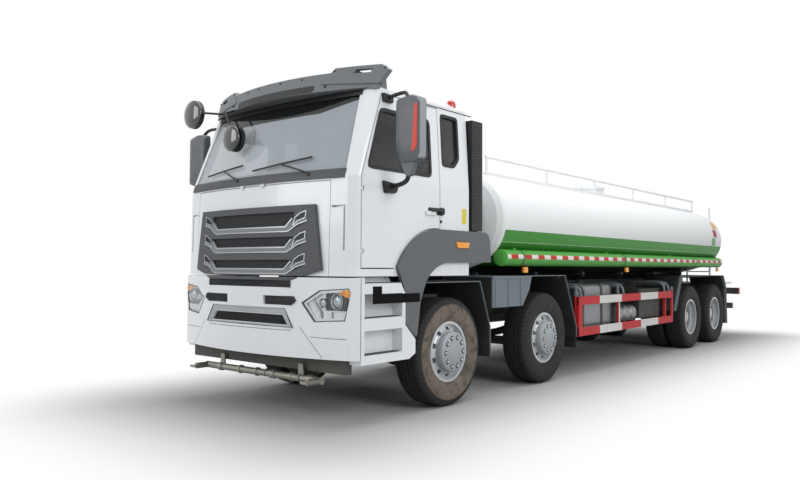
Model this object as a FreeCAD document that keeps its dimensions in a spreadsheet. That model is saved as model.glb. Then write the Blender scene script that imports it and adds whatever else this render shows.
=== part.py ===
import FreeCAD, Part
import math
import os
import re

import Sketcher

# Eight-by-four water tanker truck. Millimetres, +Z up, the nose towards -Y, the vehicle's left
# side at +X, the origin on the ground below the middle of the overall length.

SIZES = {
    # Overall layout, measured back from axle one
    "front_overhang": 1650,
    "rear_reach": 10150,
    "axle_two_behind": 1950,
    "axle_three_behind": 7050,
    "axle_four_behind": 8400,
    # Tyres and wheels
    "tyre_radius": 541,
    "tyre_half_width": 155,
    "tread_half_width": 126,
    "shoulder_drop": 9,
    "belly_radius": 415,
    "bead_half_width": 117,
    "bead_radius": 289,
    "rim_flange_radius": 302,
    "rim_flange_width": 10,
    "rim_wall": 14,
    "rim_well_depth": 24,
    "front_wheel_centre": 1020,
    "twin_outer_centre": 1088,
    "twin_gap": 30,
    "twin_spacing_half": 160,
    "hub_radius": 75,
    "drum_radius": 200,
    "drum_gap": 5,
    "cover_radius": 222,
    "cover_boss_radius": 112,
    "disc_thickness": 14,
    "vent_circle": 230,
    "vent_half": 18,
    "vent_reach": 26,
    "rear_vent_circle": 222,
    "running_clearance": 0.05,
    "end_clearance": 1,
    "moving_clearance": 6,
    # Steering knuckles and axles
    "kingpin_place": 870,
    "kingpin_radius": 18,
    "beam_eye_radius": 30,
    "beam_eye_height": 80,
    "beam_depth": 100,
    "beam_drop": 60,
    "beam_drop_reach": 210,
    "beam_eye_reach": 70,
    "knuckle_ear": 50,
    "knuckle_plate": 38,
    "knuckle_half_width": 58,
    "front_spindle_radius": 32,
    "backplate_radius": 185,
    "backplate_thickness": 8,
    "rear_spindle_radius": 45,
    "rear_tube_radius": 72,
    "diff_radius": 215,
    "diff_half_width": 150,
    "spring_width": 90,
    "spring_thickness": 70,
    "front_spring_half_length": 720,
    "spring_sag": 95,
    "rear_spring_width": 90,
    "bogie_spring_gap": 12,
    "spring_foot": 150,
    "spring_arch_half": 160,
    "spring_arch_rise": 60,
    "spring_top_half": 260,
    "spring_top_rise": 190,
    "spring_end_depth": 40,
    "bogie_saddle_half": 140,
    "bogie_saddle_low": 120,
    "bogie_saddle_drop": 92,
    "bogie_cap_high": 215,
    # Chassis
    "frame_half": 430,
    "rail_flange": 80,
    "rail_web": 9,
    "rail_height": 280,
    "rail_top": 1070,
    "rail_front_ahead": 1260,
    "rail_end_behind": 9950,
    "crossmember_length": 90,
    "crossmember_height": 170,
    "cross_nose_ahead": 1150,
    "cross_gearbox_behind": 1180,
    "cross_mid_behind": 2950,
    "cross_centre_behind": 4600,
    "cross_bogie_behind": 6250,
    "cross_trunnion_behind": 7725,
    "cross_rear_behind": 9250,
    "underrun_front_ahead": 1420,
    "underrun_front_depth": 70,
    "underrun_front_low": 455,
    "underrun_front_height": 125,
    "underrun_front_half": 1100,
    "engine_ahead": 950,
    "engine_behind": 450,
    "engine_half": 335,
    "engine_low": 700,
    "engine_top": 1440,
    "gearbox_radius": 170,
    "gearbox_length": 560,
    "shaft_height": 800,
    "shaft_radius": 50,
    # Cab shell
    "cab_half": 1215,
    "cab_bottom": 1300,
    "cab_floor_top": 1360,
    "cab_belt": 2170,
    "cab_eave": 2990,
    "cab_crown": 3085,
    "cab_rear_behind": 250,
    "cab_wall": 55,
    "cab_front_wall": 125,
    "roof_split": 2955,
    "nose_ahead": 1600,
    "nose_lean": 40,
    "nose_bow": 135,
    "corner_inset": 100,
    "shoulder_back": 225,
    "eave_inset": 50,
    "eave_lean": 360,
    "eave_bow": 85,
    "eave_corner_inset": 115,
    "eave_shoulder_back": 165,
    "crown_inset": 130,
    "tunnel_half": 420,
    "tunnel_top": 1520,
    "tunnel_ahead": 1150,
    "tunnel_wall": 25,
    # Cab openings
    "screen_low": 2225,
    "screen_high": 2930,
    "screen_low_inset": 20,
    "screen_high_inset": 30,
    "glass_thickness": 6,
    "glass_inset": 10,
    "glass_fit": 0.3,
    "door_gap": 10,
    "door_back": 238,
    "door_bottom": 1375,
    "door_top": 2935,
    "door_top_back": 545,
    "door_rear_ahead": 250,
    "door_arch_front_ahead": 925,
    "door_arch_high": 1758,
    "door_arch_top_ahead": 330,
    "arch_curve": 713,
    "window_back": 77,
    "window_top_in": 30,
    "window_rear_ahead": 380,
    "window_low": 2250,
    "window_high": 2800,
    "quarter_front_ahead": 190,
    "quarter_rear_behind": 90,
    "quarter_low": 2380,
    "quarter_high": 2890,
    "quarter_cut": 90,
    "door_pin_inset": 7,
    "door_pin_back": 8,
    "door_pin_radius": 6,
    "hinge_eye_radius": 11,
    "hinge_eye_half": 12,
    "hinge_space": 8,
    "hinge_lower_height": 1520,
    "hinge_upper_height": 2060,
    "side_glass_inset": 18,
    "handle_ahead": 390,
    "handle_height": 1900,
    # Service flap and grille
    "flap_half": 955,
    "flap_bottom": 1300,
    "flap_top": 2130,
    "flap_thickness": 60,
    "flap_hinge_place": 150,
    "flap_hinge_half": 22,
    "flap_barrel_half": 11.5,
    "flap_barrel_radius": 9,
    "flap_pin_radius": 5,
    "flap_pin_proud": 12,
    "end_gap": 0.5,
    "grille_top": 1928,
    "grille_top_half": 818,
    "grille_side_half": 905,
    "grille_side_low": 1352,
    "grille_low": 1304,
    "grille_low_half": 715,
    "keel_first": 1735,
    "keel_second": 1552,
    "keel_third": 1357,
    "gap_first": 133,
    "gap_second": 96,
    "gap_third": 85,
    "keel_half": 500,
    "keel_rise_half": 580,
    "keel_rise": 75,
    "gap_top_half": 600,
    "groove_drop": 13,
    "groove_width": 25,
    "wing_half": 722,
    "wing_rise": 105,
    "wing_height": 70,
    "groove_depth": 16,
    "grille_proud": 34,
    "deflector_inner": 970,
    "deflector_outer": 1112,
    "deflector_top": 1915,
    "deflector_low": 1525,
    "deflector_width": 20,
    "deflector_depth": 175,
    # Bumper and lamps
    "bumper_proud": 30,
    "bumper_bow": 180,
    "bumper_corner_back": 70,
    "bumper_corner_width": 90,
    "bumper_corner_radius": 130,
    "bumper_return": 60,
    "bumper_wing": 200,
    "bumper_low": 588,
    "bumper_top": 1288,
    "bumper_thickness": 120,
    "intake_top": 1015,
    "intake_low": 845,
    "intake_top_half": 525,
    "intake_low_half": 630,
    "intake_depth": 45,
    "intake_core_top": 952,
    "intake_core_low": 867,
    "intake_core_top_half": 490,
    "intake_core_low_half": 555,
    "intake_core_depth": 80,
    "vent_inner": 262,
    "vent_outer": 655,
    "vent_low": 1042,
    "vent_high": 1122,
    "vent_point": 55,
    "vent_depth": 40,
    "strip_top": 1262,
    "strip_low": 1198,
    "strip_top_half": 590,
    "strip_low_half": 560,
    "lamp_inner": 708,
    "lamp_brow": 165,
    "lamp_cheek": 92,
    "lamp_chin": 136,
    "lamp_temple": 183,
    "lamp_outer_inset": 54,
    "lamp_low": 902,
    "lamp_high": 1200,
    "lamp_depth": 70,
    "spray_pipe_ahead": 1450,
    "spray_pipe_height": 385,
    "spray_pipe_radius": 32,
    "spray_pipe_half": 840,
    "spray_hanger_place": 570,
    "spray_hanger_half": 30,
    # Steps and flares
    "step_proud": 33,
    "step_inset": 105,
    "step_front_ahead": 1392,
    "step_low": 548,
    "step_high": 1290,
    "step_rear_ahead": 805,
    "step_foot_ahead": 660,
    "step_foot_high": 720,
    "step_shoulder": 140,
    "step_notch": 150,
    "step_upper_shelf": 1235,
    "step_middle_shelf": 935,
    "step_lower_shelf": 620,
    "step_recess_height": 215,
    "flare_proud": 37,
    "flare_front_ahead": 915,
    "flare_front_high": 1383,
    "flare_top": 1748,
    "flare_rear_behind": 610,
    "flare_lip": 1440,
    "flare_leg_low": 760,
    "flare_leg_rise": 300,
    "flare_leg_curve": 460,
    "flare_crown_ahead": 312,
    "flare_lip_ahead": 150,
    "flare_front_depth": 240,
    "flare_tail_drop": 90,
    "flare_tail_curve": 120,
    "flare_tail_run": 120,
    "flare_leg_ahead": 635,
    # Visor and mirrors
    "visor_end_back": 25,
    "visor_lead": 150,
    "visor_low": 2975,
    "visor_high": 3165,
    "visor_back_lean": 65,
    "visor_top_depth": 60,
    "visor_depth": 150,
    "fin_inner": 630,
    "fin_crest_inner": 740,
    "fin_crest_outer": 1170,
    "fin_tip": 1235,
    "fin_outer": 1180,
    "fin_foot": 970,
    "fin_half": 1250,
    "fin_top": 3205,
    "fin_tip_height": 3150,
    "fin_low": 3022,
    "fin_proud": 8,
    "slot_inner": 925,
    "slot_outer": 1105,
    "slot_low": 3134,
    "slot_high": 3170,
    "fin_depth": 60,
    "mirror_stand": 165,
    "mirror_width": 300,
    "mirror_low": 2270,
    "mirror_high": 2870,
    "mirror_ahead": 1150,
    "mirror_foot_ahead": 1000,
    "mirror_base_length": 190,
    "mirror_base_proud": 36,
    "mirror_base_high": 50,
    "mirror_base_low": 60,
    "mirror_depth": 110,
    "mirror_arm_radius": 16,
    "kerb_arm_radius": 11.2,
    "mirror_arm_low": 2100,
    "mirror_arm_high": 2905,
    "kerb_mirror_radius": 150,
    "kerb_root_back": 165,
    "stem_root_back": 95,
    "stem_lead": 60,
    "kerb_mirror_height": 2990,
    "kerb_mirror_depth": 45,
    "kerb_root_inset": 285,
    "kerb_knee_inset": 205,
    "kerb_dish_inset": 35,
    "kerb_lead": 50,
    "front_mirror_height": 2640,
    "front_mirror_place": 390,
    "front_mirror_depth": 40,
    "front_mirror_gap": 76,
    "front_stem_root": 640,
    # Cab inside
    "dash_low": 1700,
    "dash_high": 2150,
    "dash_rear_ahead": 1120,
    "wheel_place": 700,
    "wheel_ahead": 900,
    "wheel_height": 2120,
    "wheel_ring": 225,
    "wheel_rim": 16,
    "wheel_axis_back": 0.819,
    "wheel_axis_up": 0.574,
    "wheel_hub_radius": 55,
    "wheel_hub_depth": 60,
    "wheel_spoke_radius": 11,
    "seat_place": 715,
    "dash_gap": 12,
    "column_back": 270,
    "column_drop": 189,
    "column_radius": 30,
    "seat_half": 250,
    "seat_front_ahead": 620,
    "seat_rear_ahead": 60,
    "seat_base": 1360,
    "seat_top": 1800,
    "seat_back_top": 2560,
    "seat_back_depth": 130,
    # Air intake stack
    "stack_front_behind": 275,
    "stack_rear_behind": 470,
    "stack_low": 1760,
    "duct_reach": 300,
    "duct_drop": 180,
    "stack_bracket_low": 300,
    "stack_bracket_high": 360,
    "stack_top": 2900,
    "stack_inner": 960,
    "stack_outer": 1235,
    # Tank
    "tank_half": 1235,
    "tank_half_height": 665,
    "tank_centre": 1920,
    "tank_flank_radius": 525,
    "tank_front_behind": 950,
    "tank_rear_behind": 8800,
    "head_depth": 170,
    "sill_width": 80,
    "sill_height": 130,
    "saddle_half": 560,
    "saddle_top": 1560,
    "saddle_thickness": 60,
    "saddle_first_behind": 1350,
    "saddle_pitch": 1430,
    "manhole_behind": 5600,
    "manhole_radius": 250,
    "manhole_bore": 225,
    "manhole_rim_height": 2700,
    "lid_radius": 275,
    "lid_thickness": 45,
    "lid_hinge_back": 310,
    "lid_pin_radius": 12,
    "lid_arm_half": 50,
    "neck_pin_half": 85,
    "lug_place": 70,
    "lug_half": 15,
    "outlet_place": -350,
    "outlet_height": 1480,
    "outlet_face_behind": 9050,
    "outlet_thickness": 20,
    "outlet_flange_radius": 100,
    "outlet_bore": 40,
    "outlet_depth": 70,
    "outlet_bolt_circle": 160,
    "outlet_bolt_radius": 9,
    "rail_place": 700,
    "rail_post_pitch": 1480,
    "rail_height_top": 2700,
    "rail_tube_radius": 18,
    "rail_foot_share": 0.6,
    "rail_kerb_share": 0.9,
    "rail_front_behind": 1350,
    "rail_rear_behind": 8760,
    "hose_tube_place": 1163,
    "hose_tube_height": 1492,
    "hose_tube_radius": 92,
    "hose_tube_front_behind": 950,
    "hose_tube_rear_behind": 8760,
    "hose_strap_first_behind": 1210,
    "hose_strap_pitch": 2480,
    "hose_strap_width": 60,
    # Mudguards
    "guard_sheet": 8,
    "stay_radius": 17,
    "guard_inner": 610,
    "stay_plate": 12,
    "stay_plate_half": 40,
    "fore_guard_front_behind": 700,
    "fore_guard_rear_behind": 2380,
    "fore_guard_top": 1290,
    "fore_guard_foot_behind": 2690,
    "fore_guard_foot": 500,
    "skirt_rear_behind": 1480,
    "skirt_low": 950,
    "arch_skin_top": 1240,
    "arch_skin_half": 470,
    "arch_skin_foot": 660,
    "arch_skin_low": 430,
    "rear_guard_front_behind": 6560,
    "rear_guard_rear_behind": 8900,
    "rear_guard_top": 1250,
    "rear_guard_foot_ahead": 6240,
    "rear_guard_foot": 680,
    "rear_flap_behind": 9110,
    "rear_flap_low": 314,
    # Side equipment
    "fuel_front_behind": 2860,
    "fuel_rear_behind": 3950,
    "fuel_low": 550,
    "fuel_top": 1170,
    "fuel_inner": 470,
    "fuel_outer": 1120,
    "fuel_round": 90,
    "reservoir_radius": 112,
    "reservoir_first_behind": 4240,
    "reservoir_pitch": 235,
    "reservoir_height": 715,
    "reservoir_inner": 470,
    "reservoir_outer": 1110,
    "box_front_behind": 4920,
    "box_rear_behind": 5760,
    "box_low": 620,
    "box_top": 1060,
    "side_guard_front_behind": 2702,
    "side_guard_rear_behind": 6120,
    "side_guard_outer": 1235,
    "side_guard_thickness": 28,
    "side_guard_height": 105,
    "side_guard_upper": 905,
    "side_guard_lower": 505,
    "guard_leg_radius": 22,
    "guard_leg_first_behind": 2722,
    "guard_pad_half": 20,
    "guard_foot_half": 25,
    "guard_foot_thickness": 30,
    "guard_leg_second_behind": 4035,
    "guard_leg_third_behind": 5860,
    "guard_leg_place": 1180,
    "guard_leg_top": 1130,
    # Rear end
    "underrun_behind": 9760,
    "underrun_depth": 90,
    "underrun_low": 575,
    "underrun_height": 110,
    "underrun_half": 1150,
    "lamp_bar_depth": 90,
    "lamp_bar_low": 855,
    "lamp_bar_height": 130,
    "lamp_bar_half": 1200,
    "platform_front_behind": 9060,
    "platform_half": 1100,
    "platform_height": 40,
    "ladder_half": 220,
    "ladder_tube_radius": 18,
    "ladder_behind": 9120,
    "ladder_place": 700,
    "rung_pitch": 250,
}

doc = FreeCAD.newDocument("water_tanker")
sheet = doc.addObject("Spreadsheet::Sheet", "Sizes")
for row, (alias, number) in enumerate(SIZES.items(), start=1):
    sheet.set(f"A{row}", alias)
    sheet.set(f"B{row}", str(number))
    sheet.setAlias(f"B{row}", alias)
doc.recompute()

AXLE_ONE = "((front_overhang - rear_reach) / 2)"
PLANES = {
    "XY": FreeCAD.Rotation(),
    "XZ": FreeCAD.Rotation(FreeCAD.Vector(1, 0, 0), 90),
    "YZ": FreeCAD.Rotation(FreeCAD.Vector(1, 1, 1), 120),
}
NORMAL_AXIS = {"XY": "z", "XZ": "y", "YZ": "x"}
KEPT = []


DERIVED = {
    "nose_belt_ahead": "(nose_ahead - nose_lean)",
    "nose_corner_ahead": "(nose_ahead - nose_bow)",
    "nose_corner_half": "(cab_half - corner_inset)",
    "shoulder_ahead": "(nose_ahead - shoulder_back)",
    "eave_half": "(cab_half - eave_inset)",
    "eave_nose_ahead": "(nose_ahead - eave_lean)",
    "eave_corner_ahead": "(eave_nose_ahead - eave_bow)",
    "eave_corner_half": "(eave_half - eave_corner_inset)",
    "eave_shoulder_ahead": "(eave_nose_ahead - eave_shoulder_back)",
    "screen_low_half": "(nose_corner_half - screen_low_inset)",
    "screen_high_half": "(eave_corner_half - screen_high_inset)",
    "door_front_ahead": "(nose_ahead - door_back)",
    "door_top_front_ahead": "(nose_ahead - door_top_back)",
    "window_front_ahead": "(door_front_ahead - window_back)",
    "window_top_front_ahead": "(door_top_front_ahead + window_top_in)",
    "door_pin_place": "(cab_half - door_pin_inset)",
    "door_pin_ahead": "(door_front_ahead - door_pin_back)",
    "bumper_half": "(cab_half + bumper_proud)",
    "bumper_corner_ahead": "(front_overhang - bumper_bow)",
    "bumper_side_ahead": "(bumper_corner_ahead - bumper_corner_back)",
    "lamp_outer": "(bumper_half - lamp_outer_inset)",
    "step_outer": "(cab_half + step_proud)",
    "step_inner": "(cab_half - step_inset)",
    "flare_outer": "(cab_half + flare_proud)",
    "guard_outer": "(cab_half)",
    "visor_half": "(eave_half)",
    "visor_nose_ahead": "(eave_nose_ahead + visor_lead)",
    "visor_end_ahead": "(eave_corner_ahead - visor_end_back)",
    "mirror_inner": "(cab_half + mirror_stand)",
    "mirror_outer": "(mirror_inner + mirror_width)",
}


def written_out(expression):
    """An expression with each derived place replaced by the sizes that it follows."""
    text, longer = None, str(expression)
    while text != longer:
        text = longer
        longer = re.sub(r"[a-z][a-z_]*", lambda word: DERIVED.get(word.group(0), word.group(0)),
                        text)
    return text


def behind(distance):
    """The place along Y of something that lies a distance behind axle one."""
    return f"({AXLE_ONE} + ({distance}))"


def ahead(distance):
    """The place along Y of something that lies a distance ahead of axle one."""
    return f"({AXLE_ONE} - ({distance}))"


def value(expression):
    """The number that an expression of sheet names comes to."""
    return float(sheet.evalExpression(written_out(expression)))


def qualified(expression):
    """The same expression as other objects of the document have to write it."""
    return re.sub(
        r"[a-z][a-z_]*",
        lambda word: f"Sizes.{word.group(0)}" if word.group(0) in SIZES else word.group(0),
        written_out(expression),
    )


def bind(thing, prop, expression):
    """Ties a property to the sheet."""
    thing.setExpression(prop, qualified(expression))


def keep(thing, label):
    """Names a finished sub-part, which is written to a file of its own."""
    thing.Label = label
    KEPT.append(thing)
    return thing


def add(kind, label):
    """A new document object with a label."""
    thing = doc.addObject(kind, label)
    thing.Label = label
    return thing


def arc_between(start, end, radius):
    """The short arc from start to end; a positive radius runs counter-clockwise."""
    chord = end - start
    half = chord.Length / 2
    reach = math.sqrt(max(radius * radius - half * half, 0))
    left = FreeCAD.Vector(-chord.y, chord.x, 0).normalize()
    centre = (start + end) * 0.5 + left * (reach if radius > 0 else -reach)
    first, last = (start, end) if radius > 0 else (end, start)
    circle = Part.Circle(centre, FreeCAD.Vector(0, 0, 1), abs(radius))
    return Part.ArcOfCircle(circle, circle.parameter(first), circle.parameter(last))


def outline(label, plane, place, corners):
    """A closed sketch through corners (u, v) or (u, v, radius of the arc that leaves it)."""
    sketch = add("Sketcher::SketchObject", label)
    sketch.Placement = FreeCAD.Placement(FreeCAD.Vector(), PLANES[plane])
    bind(sketch, f"Placement.Base.{NORMAL_AXIS[plane]}", place)
    points = [FreeCAD.Vector(value(corner[0]), value(corner[1]), 0) for corner in corners]
    shapes, heads, tails = [], [], []
    for index, corner in enumerate(corners):
        start = points[index]
        end = points[(index + 1) % len(corners)]
        radius = value(corner[2]) if len(corner) == 3 else 0
        shapes.append(arc_between(start, end, radius) if radius else Part.LineSegment(start, end))
        heads.append(2 if radius < 0 else 1)
        tails.append(1 if radius < 0 else 2)
    sketch.addGeometry(shapes, False)
    for index, corner in enumerate(corners):
        following = (index + 1) % len(corners)
        sketch.addConstraint(
            Sketcher.Constraint("Coincident", index, tails[index], following, heads[following])
        )
    for index, corner in enumerate(corners):
        for kind, expression, number in (
            ("DistanceX", corner[0], points[index].x),
            ("DistanceY", corner[1], points[index].y),
        ):
            spot = sketch.addConstraint(
                Sketcher.Constraint(kind, -1, 1, index, heads[index], number)
            )
            bind(sketch, f"Constraints[{spot}]", expression)
        if len(corner) == 3:
            spot = sketch.addConstraint(
                Sketcher.Constraint("Radius", index, abs(value(corner[2])))
            )
            bind(sketch, f"Constraints[{spot}]", f"abs({corner[2]})")
    return sketch


def prism(label, plane, start, depth, corners):
    """An outline carried from start along the plane's own axis by depth."""
    solid = add("Part::Extrusion", label)
    solid.Base = outline(f"{label}_outline", plane, start, corners)
    solid.DirMode = "Normal"
    solid.Reversed = plane == "XZ"
    solid.Solid = True
    bind(solid, "LengthFwd", depth)
    return solid


def box(label, low, high):
    """A block between two corners, each three expressions."""
    block = add("Part::Box", label)
    for prop, axis, start, end in zip(("Length", "Width", "Height"), "xyz", low, high):
        bind(block, prop, f"({end}) - ({start})")
        bind(block, f"Placement.Base.{axis}", start)
    return block


def rod(label, axis, base, length, radius):
    """A round bar from a base point along +X, +Y or +Z."""
    turns = {
        "x": FreeCAD.Rotation(FreeCAD.Vector(0, 1, 0), 90),
        "y": FreeCAD.Rotation(FreeCAD.Vector(1, 0, 0), -90),
        "z": FreeCAD.Rotation(),
    }
    bar = add("Part::Cylinder", label)
    bar.Placement = FreeCAD.Placement(FreeCAD.Vector(), turns[axis])
    bind(bar, "Radius", radius)
    bind(bar, "Height", length)
    for coordinate, expression in zip("xyz", base):
        bind(bar, f"Placement.Base.{coordinate}", expression)
    return bar


def strut(label, start, end, radius):
    """A round bar between two points that lie at any angle."""
    first = FreeCAD.Vector(*[value(part) for part in start])
    last = FreeCAD.Vector(*[value(part) for part in end])
    bar = add("Part::Cylinder", label)
    bar.Placement = FreeCAD.Placement(
        first, FreeCAD.Rotation(FreeCAD.Vector(0, 0, 1), last - first)
    )
    bind(bar, "Radius", radius)
    spans = [f"(({tip}) - ({foot})) ^ 2" for foot, tip in zip(start, end)]
    bind(bar, "Height", f"sqrt({' + '.join(spans)})")
    for coordinate, expression in zip("xyz", start):
        bind(bar, f"Placement.Base.{coordinate}", expression)
    return bar


def ball(label, centre, radius):
    """A sphere."""
    sphere = add("Part::Sphere", label)
    bind(sphere, "Radius", radius)
    for coordinate, expression in zip("xyz", centre):
        bind(sphere, f"Placement.Base.{coordinate}", expression)
    return sphere


def bent(label, points, radius):
    """A tube through points, rounded at its bends by balls of its own radius."""
    runs = [
        strut(f"{label}_run_{index}", points[index], points[index + 1], radius)
        for index in range(len(points) - 1)
    ]
    knees = [
        ball(f"{label}_knee_{index}", point, radius)
        for index, point in enumerate(points[1:-1])
    ]
    return fuse(label, runs + knees)


def turned(label, y_place, z_place, corners):
    """A profile of (x, radius) corners turned about an axle line along X."""
    solid = add("Part::Revolution", label)
    solid.Source = outline(f"{label}_profile", "XY", "0", corners)
    solid.Axis = FreeCAD.Vector(1, 0, 0)
    solid.Angle = 360
    solid.Solid = True
    bind(solid, "Placement.Base.y", y_place)
    bind(solid, "Placement.Base.z", z_place)
    return solid


def fuse(label, parts):
    """Several solids joined."""
    if len(parts) == 1:
        return parts[0]
    joined = add("Part::MultiFuse", label)
    joined.Shapes = parts
    joined.Refine = True
    return joined


def cut(label, base, tool):
    """One solid less another."""
    left = add("Part::Cut", label)
    left.Base = base
    left.Tool = tool
    return left


def common(label, first, second):
    """What two solids share."""
    shared = add("Part::Common", label)
    shared.Base = first
    shared.Tool = second
    return shared


def group(label, parts):
    """Like pieces of one body that don't touch."""
    gathered = add("Part::Compound", label)
    gathered.Links = parts
    return gathered


def mirror(label, source):
    """The same piece on the vehicle's other side."""
    other = add("Part::Mirroring", label)
    other.Source = source
    other.Normal = FreeCAD.Vector(1, 0, 0)
    return other


def pair(label, left):
    """A left piece and its mirror image as one node."""
    return group(label, [left, mirror(f"{label}_mirrored", left)])


def shifted(label, source, axis, distance):
    """A copy of a shape moved along one axis."""
    copy = add("Part::Compound", label)
    copy.Links = [source]
    bind(copy, f"Placement.Base.{axis}", distance)
    return copy


VENTS = 10
SIDES = (("left", 1), ("right", -1))
FRONT_AXLES = (("one", "0"), ("two", "axle_two_behind"))
REAR_AXLES = (("three", "axle_three_behind"), ("four", "axle_four_behind"))


def tyre(label, centre, axle):
    """A closed tyre on its bead seats, with flat shoulders and bulged side walls."""
    half = [
        ("bead_half_width", "bead_radius"),
        ("bead_half_width + 0.5", "rim_flange_radius + 6"),
        ("tyre_half_width - 6", "belly_radius - 65"),
        ("tyre_half_width", "belly_radius"),
        ("tyre_half_width - 7", "belly_radius + 75"),
        ("tread_half_width", "tyre_radius - shoulder_drop"),
        ("tread_half_width * 0.55", "tyre_radius"),
    ]
    corners = [(f"{centre} + {x}", r) for x, r in half]
    corners += [(f"{centre} - ({x})", r) for x, r in reversed(half)]
    return turned(label, behind(axle), "tyre_radius", corners)


def rim_corners(centre, outward):
    """The rim's section from its outboard to its inboard flange along the tyre's side."""
    reach = "bead_half_width + 1"
    seat = "bead_radius - 1"
    well = "bead_radius - 1 - rim_well_depth"
    places = [
        (f"{reach} + rim_flange_width", "rim_flange_radius"),
        (reach, "rim_flange_radius"),
        (reach, seat),
        ("bead_half_width * 0.62", seat),
        ("bead_half_width * 0.5", well),
        ("-(bead_half_width * 0.4)", well),
        ("-(bead_half_width * 0.52)", seat),
        (f"-({reach})", seat),
        (f"-({reach})", "rim_flange_radius"),
        (f"-({reach} + rim_flange_width)", "rim_flange_radius"),
    ]
    return [(f"{centre} + {outward} * ({x})", r) for x, r in places]


def disc_vents(label, axle, start, depth, circle):
    """Ten oval vents on a circle, as one cutting tool that lies along an axle."""
    slots = []
    for index in range(VENTS):
        slot = add("Part::Compound", f"{label}_vent_{index}")
        slot.Links = [prism(f"{label}_slot_{index}", "YZ", start, depth, [
            ("-vent_reach / 2", f"{circle} - vent_half"),
            ("vent_reach / 2", f"{circle} - vent_half"),
            ("vent_reach", f"{circle} - vent_half / 2"),
            ("vent_reach", f"{circle} + vent_half / 2"),
            ("vent_reach / 2", f"{circle} + vent_half"),
            ("-vent_reach / 2", f"{circle} + vent_half"),
            ("-vent_reach", f"{circle} + vent_half / 2"),
            ("-vent_reach", f"{circle} - vent_half / 2"),
        ])]
        slot.Placement = FreeCAD.Placement(
            FreeCAD.Vector(), FreeCAD.Rotation(FreeCAD.Vector(1, 0, 0), 360 * index / VENTS))
        slots.append(slot)
    tool = group(f"{label}_vents", slots)
    bind(tool, "Placement.Base.y", behind(axle))
    bind(tool, "Placement.Base.z", "tyre_radius")
    return tool


def front_wheel(label, axle):
    """Rim, vented disc, hub cover, hub and brake drum of a steered wheel, on its left side."""
    centre = "front_wheel_centre"
    bore = "front_spindle_radius + running_clearance"
    inner = "kingpin_place + knuckle_plate + knuckle_plate + backplate_thickness + drum_gap"
    face = f"{centre} + bead_half_width"
    corners = [
        (inner, bore),
        (f"{face} - 22", bore),
        (f"{face} - 22", "0"),
        (f"{face} + 52", "0"),
        (f"{face} + 52", "cover_boss_radius - 26"),
        (f"{face} + 38", "cover_boss_radius"),
        (f"{face} + 22", "cover_boss_radius + 4"),
        (f"{face} + 10", "cover_radius - 8"),
        (f"{face} - 6", "cover_radius"),
        (f"{face} - 14", "cover_radius + 14"),
        (f"{face} - 22", "bead_radius - rim_wall - 12"),
        (f"{face} + 1 + rim_flange_width", "bead_radius - rim_wall"),
    ]
    corners += rim_corners(centre, 1)
    corners += [
        (f"{centre} - bead_half_width - 1 - rim_flange_width", "bead_radius - rim_wall"),
        (f"{centre} - bead_half_width * 0.56", "bead_radius - rim_wall"),
        (f"{centre} - bead_half_width * 0.4", "bead_radius - rim_wall - rim_well_depth"),
        (f"{centre} + bead_half_width * 0.58", "bead_radius - rim_wall - rim_well_depth"),
        (f"{face} - 30 - disc_thickness", "cover_radius + 8"),
        (f"{face} - 22 - disc_thickness", "cover_radius - 4"),
        (f"{face} - 22 - disc_thickness", "drum_radius * 0.65"),
        (f"{face} - 50", "drum_radius * 0.65"),
        (f"{face} - 50", "drum_radius"),
        (inner, "drum_radius"),
    ]
    disc = turned(f"{label}_disc", behind(axle), "tyre_radius", corners)
    vents = disc_vents(label, axle, f"{face} - 60", "140", "vent_circle")
    return cut(label, disc, vents)


def rear_wheel(label, axle):
    """Both rims of a twin pair with their dished discs, hub and drum, on the left side."""
    outer = "twin_outer_centre"
    inner = "(twin_outer_centre - 2 * tyre_half_width - twin_gap)"
    middle = f"(({outer} + {inner}) / 2)"
    bore = "rear_spindle_radius + running_clearance"
    rim_in = "bead_radius - rim_wall"
    well_in = "bead_radius - rim_wall - rim_well_depth"
    corners = [
        (f"{inner} - bead_half_width + 12", bore),
        (f"{outer} + 30", bore),
        (f"{outer} + 30", "0"),
        (f"{outer} + 62", "0"),
        (f"{outer} + 62", "hub_radius"),
        (f"{outer} + 48", "hub_radius + 22"),
        (f"{middle} + disc_thickness + 22", "hub_radius + 38"),
        (f"{middle} + disc_thickness", "hub_radius + 60"),
        (f"{middle} + disc_thickness", "drum_radius - 25"),
        (f"{outer} - bead_half_width * 0.62 + disc_thickness", well_in),
        (f"{outer} + bead_half_width * 0.3", well_in),
        (f"{outer} + bead_half_width * 0.46", rim_in),
        (f"{outer} + bead_half_width + 1 + rim_flange_width", rim_in),
    ]
    corners += rim_corners(outer, 1)
    corners += [
        (f"{outer} - bead_half_width - 1 - rim_flange_width", rim_in),
        (f"{outer} - bead_half_width * 0.72", rim_in),
        (f"{outer} - bead_half_width * 0.72", f"{well_in} - 2"),
        (f"{middle} + 3", "drum_radius - 5"),
        (f"{middle} - 3", "drum_radius - 5"),
        (f"{inner} + bead_half_width * 0.72", f"{well_in} - 2"),
        (f"{inner} + bead_half_width * 0.72", rim_in),
        (f"{inner} + bead_half_width + 1 + rim_flange_width", rim_in),
    ]
    corners += rim_corners(inner, 1)
    corners += [
        (f"{inner} - bead_half_width - 1 - rim_flange_width", rim_in),
        (f"{inner} - bead_half_width * 0.56", rim_in),
        (f"{inner} - bead_half_width * 0.42", well_in),
        (f"{inner} + bead_half_width * 0.52", well_in),
        (f"{middle} - 18", "drum_radius"),
        (f"{inner} - bead_half_width + 12", "drum_radius"),
    ]
    disc = turned(f"{label}_disc", behind(axle), "tyre_radius", corners)
    vents = disc_vents(label, axle, inner, "2 * twin_spacing_half", "rear_vent_circle")
    return cut(label, disc, vents)


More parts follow.
